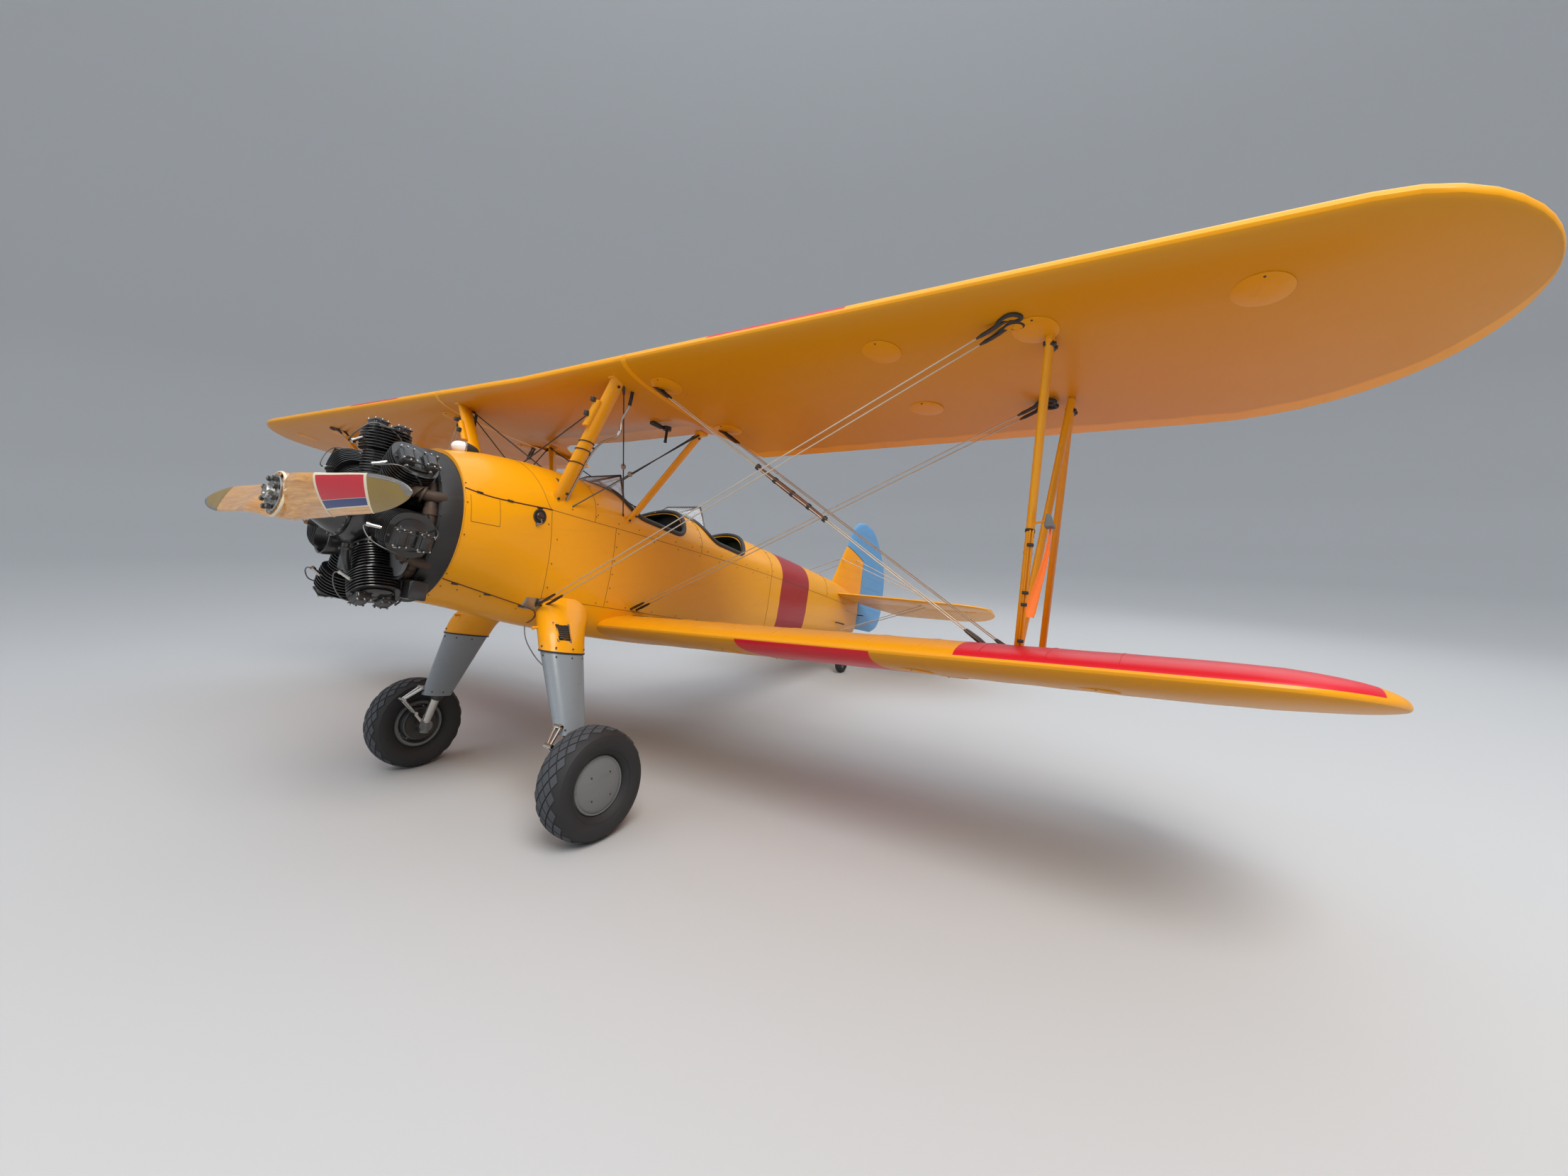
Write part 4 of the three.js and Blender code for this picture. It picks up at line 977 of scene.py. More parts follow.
LEG = ((1.527, 0.55, -0.6493, 0.318, 0.176), (1.506, 0.773, -1.137, 0.214, 0.126))
FAIRING = ((1.665, 0.292, -0.3, 0.41, 0.262), (1.628, 0.352, -0.37, 0.388, 0.262),
    (1.59, 0.418, -0.44, 0.368, 0.246), (1.558, 0.466, -0.5, 0.352, 0.224),
    (1.538, 0.508, -0.56, 0.342, 0.202), (1.527, 0.55, -0.649, 0.33, 0.188))
WHEEL_CENTRE = own(Vector(JOINTS["main_wheel_left_spin"]["pos_m"]))
TREAD_ROWS = 5
TREAD_COUNT = 21
TREAD_HALF = 0.093  # how far out from the middle the tread goes, along the tyre's surface
GROOVE = 0.01
TREAD_DEPTH = 0.006
TYRE_RIB = ((0.2135, 0.0985), (0.215, 0.1025), (0.218, 0.1032), (0.2195, 0.1005), (0.2135, 0.0985))
TYRE_HALF = ((0.1783, 0.062), (0.188, 0.078), (0.2, 0.09), (0.218, 0.102), (0.238, 0.11), (0.256, 0.1145),
    (0.272, 0.1155), (0.289, 0.112), (0.304, 0.106), (0.316, 0.095), (0.3255, 0.082), (0.3325, 0.063),
    (0.3365, 0.04), (0.3385, 0.018), (0.339, 0.0))


def tyre_arc(distance, lift=0.0):
    """Radius and half width on the tyre at a distance along its surface from the middle of the tread."""
    rows = TYRE_HALF[::-1]
    gone = 0.0
    for (r0, y0), (r1, y1) in zip(rows, rows[1:]):
        length = hypot(r1 - r0, y1 - y0)
        if gone + length >= abs(distance) or (r1, y1) == rows[-1]:
            t = (abs(distance) - gone) / length
            normal = Vector((y1 - y0, r0 - r1)).normalized()
            return (r0 + (r1 - r0) * t + normal.x * lift, copysign(y0 + (y1 - y0) * t + normal.y * lift,
                distance))
        gone += length


def tread_blocks(centre):
    """Diamond blocks all round the tyre, raised from it and a groove apart."""
    parts = []
    row_height = 2 * TREAD_HALF / (TREAD_ROWS + 1)
    for row in range(TREAD_ROWS):
        middle = -TREAD_HALF + (row + 1) * row_height
        for k in range(TREAD_COUNT):
            turn = TAU * (k + 0.5 * (row % 2)) / TREAD_COUNT
            parts.append(tread_block(centre, middle, turn, row_height, TAU / TREAD_COUNT / 2))
    return parts


def tread_block(centre, middle, turn, reach, sweep):
    """One diamond: its top has a middle and eight edge points, so that it bends with the tyre."""
    share = 1 - GROOVE / (2 * reach)
    corners = [(1, 0), (0.5, 0.5), (0, 1), (-0.5, 0.5), (-1, 0), (-0.5, -0.5), (0, -1), (0.5, -0.5)]
    rings = []
    for lift, size in ((-0.007, share), (TREAD_DEPTH - 0.0062, share), (TREAD_DEPTH - 0.005, share - 0.05)):
        ring = []
        for a, b in corners:
            r, y = tyre_arc(middle + a * reach * size, lift)
            angle = turn + b * sweep * size
            ring.append(centre + Vector((r * sin(angle), y, r * cos(angle))))
        rings.append(ring)
    r, y = tyre_arc(middle, TREAD_DEPTH - 0.005)
    points = [p for ring in rings for p in ring] + [centre + Vector((r * sin(turn), y, r * cos(turn)))]
    faces = [(k * 8 + i, k * 8 + (i + 1) % 8, k * 8 + 8 + (i + 1) % 8, k * 8 + 8 + i) for k in range(2)
        for i in range(8)]
    faces += [(16 + i, 16 + (i + 1) % 8, 24) for i in range(8)]
    faces.append(tuple(range(8)))
    return points, faces


def main_tyre(side, hand):
    centre = Vector(JOINTS[f"main_wheel_{side}_spin"]["pos_m"])
    outline = [*TYRE_HALF[:-1], *[(r, -y) for r, y in reversed(TYRE_HALF)]]
    profile = [*[(r - (0.006 if r > 0.31 else 0), y) for r, y in outline], (TYRE_HALF[0][0], TYRE_HALF[0][1])]
    body = turned_section(centre, SPANWISE, profile, 120)
    rib = turned_section(centre, SPANWISE, [(r, hand * y) for r, y in TYRE_RIB], 96)
    fit(f"tyre_body_{side}", [body, rib], "rubber", f"tyre_{side}", body=f"main_wheel_{side}")
    fit(f"tyre_tread_{side}", tread_blocks(centre), "tread", body=f"main_wheel_{side}", angle=40)


PISTON_TOP = (1.506, 0.765, -1.12)
CAP = ((0, 0.094), (0.03, 0.0937), (0.06, 0.0925), (0.09, 0.09), (0.12, 0.0855), (0.145, 0.0795),
    (0.158, 0.0752), (0.163, 0.0705), (0.1655, 0.07), (0.17, 0.0725), (0.1745, 0.07), (0.177, 0.062),
    (0.178, 0.058), (0.178, -0.058), (0.176, -0.066), (0.168, -0.074), (0.154, -0.07), (0.14, 0.0),
    (0.122, 0.0), (0.122, -0.082), (0.112, -0.082), (0.108, -0.006), (0.052, -0.006), (0.052, -0.084),
    (0.028, -0.084), (0.028, 0.012), (0, 0.012))


def main_wheel(side, hand):
    centre = Vector(JOINTS[f"main_wheel_{side}_spin"]["pos_m"])
    out = Vector((0, hand, 0))
    made = piece(f"wheel_disc_{side}", *turned_section(centre, out, CAP, 96), angle=28)
    settle(made, "cap grey", f"wheel_{side}", body=f"main_wheel_{side}")
    screws = [(centre + out * 0.0893 + 0.098 * Vector((sin(a), 0, cos(a))), tuple(out))
        for a in (radians(45 + 90 * k) for k in range(4))]
    studs(f"cap_screws_{side}", screws, 0.0055, 0.004, "dark metal", body=f"main_wheel_{side}",
        slot="grey_paint")
    holes = [(centre - out * 0.0015 + 0.131 * Vector((sin(a), 0, cos(a))), tuple(-out)) for a in around(12)]
    studs(f"rim_bolts_{side}", holes, 0.006, 0.008, "steel", sides=6, narrowing=1.0,
        body=f"main_wheel_{side}", slot="grey_paint")


def gear():
    for side, hand in SIDES:
        fairing = loft([stream_ring(*between(FAIRING_BY_H, -h)[1:3], h, *between(FAIRING_BY_H, -h)[3:], 48)
            for h in spread(-0.3, -0.649, 20)])
        fit(f"gear_fairing_skin_{side}", [fairing], "yellow", f"gear_fairing_{side}", hand=hand)
        (s0, y0, h0, c0, t0), (s1, y1, h1, c1, t1) = LEG
        leg = loft([stream_ring(s0 + (s1 - s0) * k, y0 + (y1 - y0) * k, h0 + (h1 - h0) * k,
            c0 + (c1 - c0) * k, t0 + (t1 - t0) * k, 48) for k in (0, 0.02, 0.25, 0.5, 0.75, 1)])
        fit(f"gear_leg_skin_{side}", [leg], "grey", f"gear_leg_{side}", hand=hand)
        s, y, h = WHEEL_CENTRE
        axle = [bar((s, y + a, h), (s, y + b, h), radius, sides)
            for a, b, radius, sides in ((-0.158, -0.098, 0.046, 32), (-0.098, 0.006, 0.027, 24))]
        fit(f"axle_{side}", axle, "steel", slot="grey_paint", hand=hand)
        drum = bar((s, y - 0.1, h), (s, y - 0.09, h), 0.116, 64)
        fit(f"brake_drum_{side}", [drum], "dark metal", slot="grey_paint", hand=hand)
        piston = bar(PISTON_TOP, (s, 0.872, h + 0.008), 0.033, 28)
        fit(f"piston_{side}", [piston], "bright", slot="grey_paint", hand=hand)
        main_tyre(side, hand)
        main_wheel(side, hand)


FAIRING_BY_H = [(-row[2], row[0], row[1], row[3], row[4]) for row in FAIRING]


# Tail

TAIL_UPRIGHT = (  # h, leading edge and trailing edge
    (-0.06, 6.56, 7.33), (0.02, 6.48, 7.52), (0.16, 6.3, 7.618), (0.4, 6.0, 7.648),
    (0.7, 6.12, 7.64), (0.94, 6.255, 7.56), (1.04, 6.318, 7.48), (1.2, 6.385, 7.34),
    (1.31, 6.46, 7.21), (1.39, 6.56, 7.08), (1.425, 6.66, 6.96), (1.434, 6.73, 6.88))
FIN_TOP = ((6.2, 1.062), (6.756, 0.911), (6.8, 0.9))
TAIL_LEVEL = (  # y, leading edge and trailing edge
    (0.0, 5.96, 7.35), (0.4, 6.01, 7.35), (1.0, 6.095, 7.34), (1.4, 6.165, 7.31),
    (1.64, 6.235, 7.23), (1.78, 6.31, 7.12), (1.86, 6.4, 7.0), (1.895, 6.52, 6.9))
TAIL_SECTION = ((1, 0.1), (0.9, 0.3), (0.8, 0.5), (0.67, 0.72), (0.55, 0.9), (0.42, 0.985), (0.3, 1),
    (0.2, 0.91), (0.12, 0.75), (0.07, 0.59), (0.03, 0.4), (0.01, 0.22))
RUDDER_LUGS = (0.02, 0.6, 0.83)
ELEVATOR_LUGS = (0.33, 0.98, 1.62)
ELEVATOR_INNER = ((6.6, 0.075), (6.76, 0.075), (7.5, 0.54), (7.5, 2.0), (6.6, 2.0))
LUG = Sizes(radius=0.012, reach=0.052, half=0.009, slack=0.0015, notch=0.019)
RUDDER_NOSE = 0.036
ELEVATOR_NOSE = 0.034
TAIL_GAP = 0.0075


def tail_ring(lead, trail, thickness, place):
    def point(x, side):
        return place(lead + (trail - lead) * x, side * thickness / 2)
    return ([point(x, share) for x, share in TAIL_SECTION] + [point(0, 0)] + [point(x, -share)
        for x, share in reversed(TAIL_SECTION)])


def upright_tail():
    rows = [between(TAIL_UPRIGHT, h) for h in [*spread(-0.06, 1.3, 60), *spread(1.31, 1.434, 14)]]
    return piece("upright", *loft([tail_ring(lead, trail, 0.018 + 0.042 * (trail - lead),
        lambda s, y, h=h: at(s, y, h)) for h, lead, trail in rows]))


def ahead_of_rudder(nose, gap):
    """What lies ahead of the rudder's round front edge and below its horn."""
    ahead = piece("ahead", *block((5.0, RUDDER_HINGE), (-0.2, 0.2), (-0.3, 1.6)))
    round_nose = piece("nose", *bar((RUDDER_HINGE, 0, -0.4), (RUDDER_HINGE, 0, 1.7), nose, 40))
    outline = [(s, h - gap) for s, h in FIN_TOP] + [(6.9, FIN_TOP[-1][1] - gap), (6.9, 1.7), (6.2, 1.7)]
    horn = piece("horn", *slab(outline, seen_from_side, -0.3, 0.3))
    return carve(ahead, round_nose, horn)


def rudder_lug(h):
    half, reach = LUG.half, LUG.reach
    return [bar((RUDDER_HINGE, 0, h - half), (RUDDER_HINGE, 0, h + half), LUG.radius, 20),
        block((RUDDER_HINGE - reach, RUDDER_HINGE), (-0.006, 0.006), (h - half, h + half))]


def rudder_notch(h):
    half = LUG.half + LUG.slack
    return [bar((RUDDER_HINGE, 0, h - half), (RUDDER_HINGE, 0, h + half), LUG.notch, 20),
        block((RUDDER_HINGE - 0.08, RUDDER_HINGE), (-0.08, 0.08), (h - half, h + half))]


def upright_tails():
    rudder = carve(upright_tail(), ahead_of_rudder(RUDDER_NOSE, 0))
    carve(rudder, *[notch for h in RUDDER_LUGS for notch in rudder_notch(h)])
    rudder.name = "rudder_skin"
    settle(rudder, "blue", "rudder", body="rudder")
    fin = carve(upright_tail(), ahead_of_rudder(RUDDER_NOSE + TAIL_GAP, 0.012), operation="INTERSECT")
    carve(fin, block((5.0, 8.0), (-0.3, 0.3), (-0.5, 0.396)))
    fin.name = "fin_skin"
    settle(fin, "yellow", "fin")
    lugs = [part for h in RUDDER_LUGS[1:] for part in rudder_lug(h)]
    fit("fin_hinges", lugs, "dark metal", slot="grey_paint")


def level_tail():
    rows = [between(TAIL_LEVEL, y) for y in [*spread(0, 1.6, 40), *spread(1.62, 1.895, 16)]]
    return piece("level", *loft([tail_ring(lead, trail, 0.02 + 0.042 * (trail - lead),
        lambda s, z, y=y: at(s, y, ELEVATOR_HINGE.h + z)) for y, lead, trail in rows]))


def elevator_region(nose):
    s, h = ELEVATOR_HINGE.s, ELEVATOR_HINGE.h
    behind = piece("behind", *block((s, 7.9), (-0.01, 2.1), (h - 0.2, h + 0.2)))
    return carve(behind, piece("nose", *bar((s, -0.01, h), (s, 2.1, h), nose, 40)), operation="UNION")


def elevator_lug(y):
    s, h, half = ELEVATOR_HINGE.s, ELEVATOR_HINGE.h, LUG.half
    return [bar((s, y - half, h), (s, y + half, h), LUG.radius, 20),
        block((s - LUG.reach, s), (y - half, y + half), (h - 0.006, h + 0.006))]


def level_tails():
    s, h = ELEVATOR_HINGE.s, ELEVATOR_HINGE.h
    for side, hand in SIDES:
        plane = carve(level_tail(), elevator_region(ELEVATOR_NOSE + TAIL_GAP),
            hull("belly", 5.5, HULL_END, -SEAT_GAP))
        lugs = join("lugs", [part for y in ELEVATOR_LUGS for part in elevator_lug(y)])
        keep_outer = planform_slab()
        half = carve(level_tail(), elevator_region(ELEVATOR_NOSE), operation="INTERSECT")
        carve(half, keep_outer, operation="INTERSECT")
        notches = []
        for y in ELEVATOR_LUGS:
            reach = LUG.half + LUG.slack
            notches.append(bar((s, y - reach, h), (s, y + reach, h), LUG.notch, 20))
            notches.append(block((s - 0.08, s), (y - reach, y + reach), (h - 0.08, h + 0.08)))
        carve(half, *notches)
        half.data.transform(droop())
        if hand < 0:
            for made in (plane, lugs, half):
                flip(made)
        plane.name, half.name = f"tailplane_skin_{side}", f"elevator_skin_{side}"
        lugs.name = f"tailplane_hinges_{side}"
        settle(plane, "yellow", f"tailplane_{side}")
        settle(lugs, "dark metal", slot="grey_paint")
        settle(half, "yellow", "elevators", body="elevators")
    fit("elevator_torque_tube", [bar((s, -0.14, h), (s, 0.14, h), 0.015, 24)], "grey", body="elevators")


def planform_slab():
    return slab(ELEVATOR_INNER, at, 0, 0.7)


def droop():
    """The elevators hang by their droop about their hinge."""
    pivot = at(ELEVATOR_HINGE.s, 0, ELEVATOR_HINGE.h)
    return Matrix.Translation(pivot) @ Matrix.Rotation(-ELEVATOR_DROOP, 4, "Y") @ Matrix.Translation(-pivot)


def flip(made):
    made.data.transform(Matrix.Diagonal((1, -1, 1, 1)))
    finish_mesh(made.data)


def tail_wheel():
    centre = Vector(JOINTS["tail_wheel_spin"]["pos_m"])
    half = ((0.058, 0.03), (0.064, 0.036), (0.078, 0.04), (0.09, 0.0418), (0.098, 0.042), (0.108, 0.038),
        (0.116, 0.032), (0.1225, 0.023), (0.126, 0.012), (0.127, 0.0))
    outline = [*half[:-1], *[(r, -y) for r, y in reversed(half)], half[0]]
    fit("tail_tyre_skin", [turned_section(centre, SPANWISE, outline, 72)], "rubber", "tail_tyre",
        body="tail_wheel")
    hub = ((0.0095, 0.0305), (0.03, 0.0305), (0.036, 0.024), (0.05, 0.024), (0.0585, 0.031),
        (0.0585, -0.031), (0.05, -0.024), (0.036, -0.024), (0.03, -0.0305), (0.0095, -0.0305),
        (0.0095, 0.0305))
    fit("tail_wheel_hub", [turned_section(centre, SPANWISE, hub, 64)], "cap grey", body="tail_wheel")
    s, _, h = own(centre)
    fork = [bar((6.48, 0, -0.398), (6.48, 0, -0.3284), 0.032, 32),
        bar((6.48, -0.074, -0.384), (6.48, 0.074, -0.384), 0.016, 24),
        bar((s, -0.068, h), (s, 0.068, h), 0.009, 20)]
    for hand in (-1, 1):
        fork.append(bar((6.48, hand * 0.066, -0.384), (s, hand * 0.066, h), 0.014, 20))
        fork.append(bar((s, hand * 0.057, h), (s, hand * 0.075, h), 0.024, 32))
    fit("tail_fork_bars", fork, "grey", "tail_fork", body="tail_fork")
    bracket = [strut((6.27, 0, -0.12), (6.48, 0, -0.3), 0.09, 0.046),
        bar((6.48, 0, -0.328), (6.48, 0, -0.27), 0.036, 32)]
    fit("tail_bracket_bars", bracket, "grey", "tail_bracket")


# Engine

def soft_outline(a_range, b_range, radius, steps=4):
    """A rectangle's outline with round corners."""
    (a0, a1), (b0, b1) = a_range, b_range
    radius = max(0.0005, radius)
    corners = ((a1 - radius, b1 - radius, 0), (a0 + radius, b1 - radius, 1), (a0 + radius, b0 + radius, 2),
        (a1 - radius, b0 + radius, 3))
    return [(a + radius * cos(turn), b + radius * sin(turn)) for a, b, quarter in corners
        for turn in (pi / 2 * (quarter + k / steps) for k in range(steps + 1))]


def soft_block(place, a_range, b_range, c_range, radius, steps=3):
    """A box with round edges; place(a, b, c) puts its points."""
    rings = []
    for end, way in ((c_range[0], 1), (c_range[1], -1)):
        levels = []
        for k in range(steps + 1):
            turn = pi / 2 * k / steps
            inset = radius * (1 - sin(turn))
            outline = soft_outline((a_range[0] + inset, a_range[1] - inset),
                (b_range[0] + inset, b_range[1] - inset), radius - inset * 0.9)
            levels.append([place(a, b, end + way * radius * (1 - cos(turn))) for a, b in outline])
        rings += levels if way > 0 else levels[::-1]
    return loft(rings)


def cylinder_point(k, aft, out, side):
    """A point of one of the cylinders: aft of its axis, out from the crankshaft, and sideways."""
    turn = TAU * k / CYLINDERS
    return at(ENGINE_S + aft, out * sin(turn) + side * cos(turn), out * cos(turn) - side * sin(turn))


BARREL_FINS = Sizes(count=9, start=0.222, pitch=0.0162, root=0.072, tip=0.098, square=2.0)
HEAD_FINS = Sizes(count=8, start=0.37, pitch=0.0165, root=0.082, tip=0.119, square=2.5)
FIN_THICKNESS = 0.005
FIN_SIDES = 36


def finned_cylinder():
    """Barrel and head of the first cylinder, with their cooling fins."""
    rows = [(0.15, 0.078, 2), (0.197, 0.078, 2), (0.197, 0.097, 2), (0.206, 0.097, 2), (0.206, 0.078, 2),
        (0.216, 0.078, 2)]
    for fins in (BARREL_FINS, HEAD_FINS):
        for k in range(fins.count):
            out, tip = fins.start + k * fins.pitch, fins.tip + 0.004 * sin(pi * k / fins.count)
            rows += [(out, fins.root, fins.square), (out + 0.0006, tip, fins.square),
                (out + FIN_THICKNESS, tip, fins.square), (out + FIN_THICKNESS, fins.root, fins.square)]
    rows += [(0.5, 0.088, 2.4), (0.508, 0.07, 2.2), (0.511, 0.03, 2)]
    rings = []
    for out, radius, square in rows:
        ring = []
        for k in range(FIN_SIDES):
            across, along = sin(TAU * k / FIN_SIDES), cos(TAU * k / FIN_SIDES)
            ring.append(cylinder_point(0, radius * copysign(abs(along) ** (2 / square), along), out,
                radius * copysign(abs(across) ** (2 / square), across)))
        rings.append(ring)
    return loft(rings)


ROCKER = Sizes(aft=0.062, half=0.038, side=(-0.03, 0.066), out=(0.452, 0.536))


def on_first(a, b, c):
    return cylinder_point(0, a, c, b)


def rocker_boxes():
    parts = []
    for aft in (-ROCKER.aft, ROCKER.aft):
        (low, high), (inner, outer) = ROCKER.side, ROCKER.out
        reach = (aft - ROCKER.half, aft + ROCKER.half)
        parts.append(soft_block(on_first, reach, (low, high), (inner, outer), 0.014))
        lid = (aft - ROCKER.half - 0.004, aft + ROCKER.half + 0.004)
        parts.append(soft_block(on_first, lid, (low - 0.003, high + 0.003), (outer - 0.012, outer - 0.004),
            0.003, 1))
        parts.append(soft_block(on_first, (aft - 0.026, aft + 0.026), (low + 0.012, high - 0.012),
            (outer - 0.006, outer + 0.009), 0.008))
    parts.append(soft_block(on_first, (-0.03, 0.03), (-0.014, 0.05), (0.47, 0.517), 0.01))
    return parts


def first_path(*places, steps=6):
    return smooth_path([cylinder_point(0, *place) for place in places], steps)


COLLECTOR = Sizes(s=0.618, out=0.4)
PORT = Sizes(exhaust=(0.03, 0.395, 0.08), intake=(0.045, 0.425, -0.07))


def engine():
    parts = [finned_cylinder(), *rocker_boxes()]
    parts.append(tube(first_path((0.15, 0.165, -0.05), (0.135, 0.24, -0.085), (0.115, 0.34, -0.1),
        (0.085, 0.405, -0.095), PORT.intake), 0.026, 14))
    for side in (-0.022, 0.032):
        parts.append(rod(cylinder_point(0, 0.088, 0.175, side * 0.7), cylinder_point(0, 0.078, 0.462, side),
            0.0105, 12))
    made = round_axis("engine_cylinders", join("first_cylinder", parts), CYLINDERS, "engine")
    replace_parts(made, "engine")

    nose = [(0, 0.19), (0.034, 0.19), (0.06, 0.19), (0.074, 0.192), (0.078, 0.198), (0.08, 0.206),
        (0.09, 0.222), (0.104, 0.246), (0.126, 0.284), (0.144, 0.318), (0.15, 0.328), (0.158, 0.33),
        (0.158, 0.341), (0.15, 0.343), (0.162, 0.352), (0.176, 0.372), (0.184, 0.394), (0.185, 0.42),
        (0.185, 0.585), (0.1855, 0.59), (0.1855, 0.6), (0.18, 0.604), (0.18, 0.766), (0, 0.766)]
    casing = [on_axis(nose, 84), scoop(), *engine_fittings()]
    fit("crankcase", casing, "engine")

    circle = on_circle(COLLECTOR.s, COLLECTOR.out, around(96))
    collar = [rod(at(COLLECTOR.s, *[COLLECTOR.out * f(a - 0.05) for f in (sin, cos)]),
        at(COLLECTOR.s, *[COLLECTOR.out * f(a + 0.05) for f in (sin, cos)]), 0.0365, 28)
        for a in around(CYLINDERS, 0.62)]
    fit("exhaust_collector", [tube(circle, 0.0315, 20, closed=True), *collar], "exhaust")
    exhaust = join("first_exhaust", first_exhaust())
    round_axis("exhaust_elbows", exhaust, CYLINDERS, "exhaust")
    plugs = [tube(first_path((-0.078, 0.432, 0), (-0.112, 0.42, 0), (-0.145, 0.398, 0.002),
        (-0.166, 0.382, 0.003)), 0.0098, 12), rod(cylinder_point(0, -0.082, 0.43, 0),
        cylinder_point(0, -0.1, 0.4245, 0), 0.0145, 6), rod(cylinder_point(0, -0.156, 0.3895, 0.003),
        cylinder_point(0, -0.17, 0.379, 0.003), 0.0125, 12)]
    round_axis("plug_elbows", join("first_plug", plugs), CYLINDERS, "bright")
    leads, returns = [], []
    for k in range(CYLINDERS):
        lead = [(-0.166, 0.382, 0.003), (-0.186, 0.392, 0.02), (-0.168, 0.44, 0.062), (-0.128, 0.49, 0.085),
            (-0.07, 0.5, 0.098), (0.01, 0.462, 0.118), (0.07, 0.385, 0.112), (0.125, 0.3, 0.09),
            (0.15, 0.235, 0.05)]
        leads.append(smooth_path([cylinder_point(k, *place) for place in lead], 7))
        pipe = [(0.1, 0.545, -0.01), (0.118, 0.52, -0.045), (0.12, 0.44, -0.075), (0.135, 0.33, -0.115),
            (0.15, 0.22, -0.12)]
        returns.append(smooth_path([cylinder_point(k, *place) for place in pipe], 5))
    lines("ignition_leads", leads, 0.0036, "lead", sides=7)
    lines("rocker_drain_pipes", returns, 0.0055, "engine", sides=7)
    engine_bolts()


def first_exhaust():
    port = PORT.exhaust
    bell = first_path(port, (0.036, 0.389, 0.108), (0.052, 0.387, 0.128), steps=3)
    flange = rod(cylinder_point(0, port[0] - 0.004, port[1] + 0.001, port[2] + 0.012),
        cylinder_point(0, port[0] + 0.001, port[1], port[2] + 0.022), 0.047, 28)
    pipe = first_path((0.046, 0.388, 0.118), (0.07, 0.389, 0.134), (0.098, 0.394, 0.143),
        (0.126, 0.401, 0.148), (0.152, 0.405, 0.149), (0.176, 0.405, 0.149), steps=5)
    ring = first_path((0.064, 0.388, 0.131), (0.074, 0.39, 0.137), steps=1)
    widths = [0.03 + 0.016 * k / (len(bell) - 1) for k in range(len(bell))]
    return [tube(bell, widths, 28), flange, tube(pipe, 0.0325, 28), tube(ring, 0.049, 28)]


SCOOP = ((0.325, -0.105, -0.165, 0.095), (0.345, -0.103, -0.165, 0.0955), (0.4, -0.095, -0.165, 0.088),
    (0.45, -0.08, -0.163, 0.08), (0.5, -0.06, -0.16, 0.068))


def scoop():
    """The air scoop under the crankcase's nose: a wall folded back in at its round mouth."""
    rows = [(s + 0.004, y, h, r - 0.01) for s, y, h, r in SCOOP[1::-1]]
    rows = [(0.44, -0.084, -0.164, 0.03), (0.4, -0.095, -0.165, 0.062), *rows,
        (0.3225, -0.105, -0.165, 0.0895), *SCOOP]
    return loft([[at(s, y + r * sin(a), h + r * cos(a)) for a in around(48)] for s, y, h, r in rows])


def engine_fittings():
    """Sump, drain pipe with its flange, and the box under the left lower cylinder."""
    sump = soft_block(at, (0.4, 0.62), (-0.065, 0.065), (-0.34, -0.15), 0.025)
    drain = tube(smooth_path([at(0.35, 0.135, -0.19), at(0.352, 0.132, -0.215), at(0.362, 0.125, -0.27),
        at(0.395, 0.115, -0.345)], 6), 0.0185, 16)
    flange = bar((0.35, 0.135, -0.212), (0.352, 0.134, -0.224), 0.031, 24)
    box = soft_block(at, (0.6, 0.7), (0.27, 0.37), (-0.445, -0.335), 0.012)
    return [sump, drain, flange, box]


def engine_bolts():
    cover = turned_section(at(0.545, 0.285, -0.235), -AHEAD, [(0, 0), (0.088, 0), (0.094, 0.004),
        (0.094, 0.016), (0.088, 0.02), (0, 0.02)], 64)
    fit("round_cover_plate", [cover], "cap grey")
    ahead = tuple(AHEAD)
    round_heads = [(place, ahead) for place in on_circle(0.3295, 0.151, around(21, 0.5))]
    round_heads += [(place, ahead) for place in on_circle(0.206, 0.0775, around(8))]
    lids, sides, feet = [], [], []
    for k in range(CYLINDERS):
        out_way = tuple(cylinder_point(k, 0, 1, 0) - cylinder_point(k, 0, 0, 0))
        side_way = tuple(cylinder_point(k, 0, 0, 1) - cylinder_point(k, 0, 0, 0))
        for aft in (-ROCKER.aft, ROCKER.aft):
            for da, side in ((-0.033, -0.024), (0.033, -0.024), (-0.033, 0.06), (0.033, 0.06), (0, 0.0655),
                    (0, -0.0285)):
                lids.append((cylinder_point(k, aft + da, ROCKER.out[1] - 0.001, side), out_way))
            sides.append((cylinder_point(k, aft, 0.494, ROCKER.side[1] + 0.003), side_way))
            sides.append((cylinder_point(k, aft, 0.494, ROCKER.side[0] - 0.003), tuple(-Vector(side_way))))
        for a in around(10, 0.5):
            feet.append((cylinder_point(k, 0.0885 * cos(a), 0.209, 0.0885 * sin(a)), out_way))
        round_heads += [(cylinder_point(k, ROCKER.aft * hand + hand * 0.041, 0.494, 0.018),
            tuple(hand * -AHEAD)) for hand in (-1, 1)]
    studs("crankcase_bolts", round_heads, 0.0075, 0.009, "steel", sides=6, narrowing=0.95)
    studs("rocker_lid_bolts", lids, 0.0052, 0.008, "bright", sides=6, narrowing=0.95)
    studs("rocker_shaft_caps", sides, 0.0145, 0.01, "steel", sides=12, narrowing=0.85)
    studs("cylinder_base_nuts", feet, 0.0065, 0.01, "steel", sides=6, narrowing=0.95)
    rim = [(place, ahead) for place in on_circle(0.65, 0.4515, around(14, 0.3))]
    studs("ring_plate_screws", rim, 0.006, 0.005, "dark metal", slot="engine_black")


# Propeller

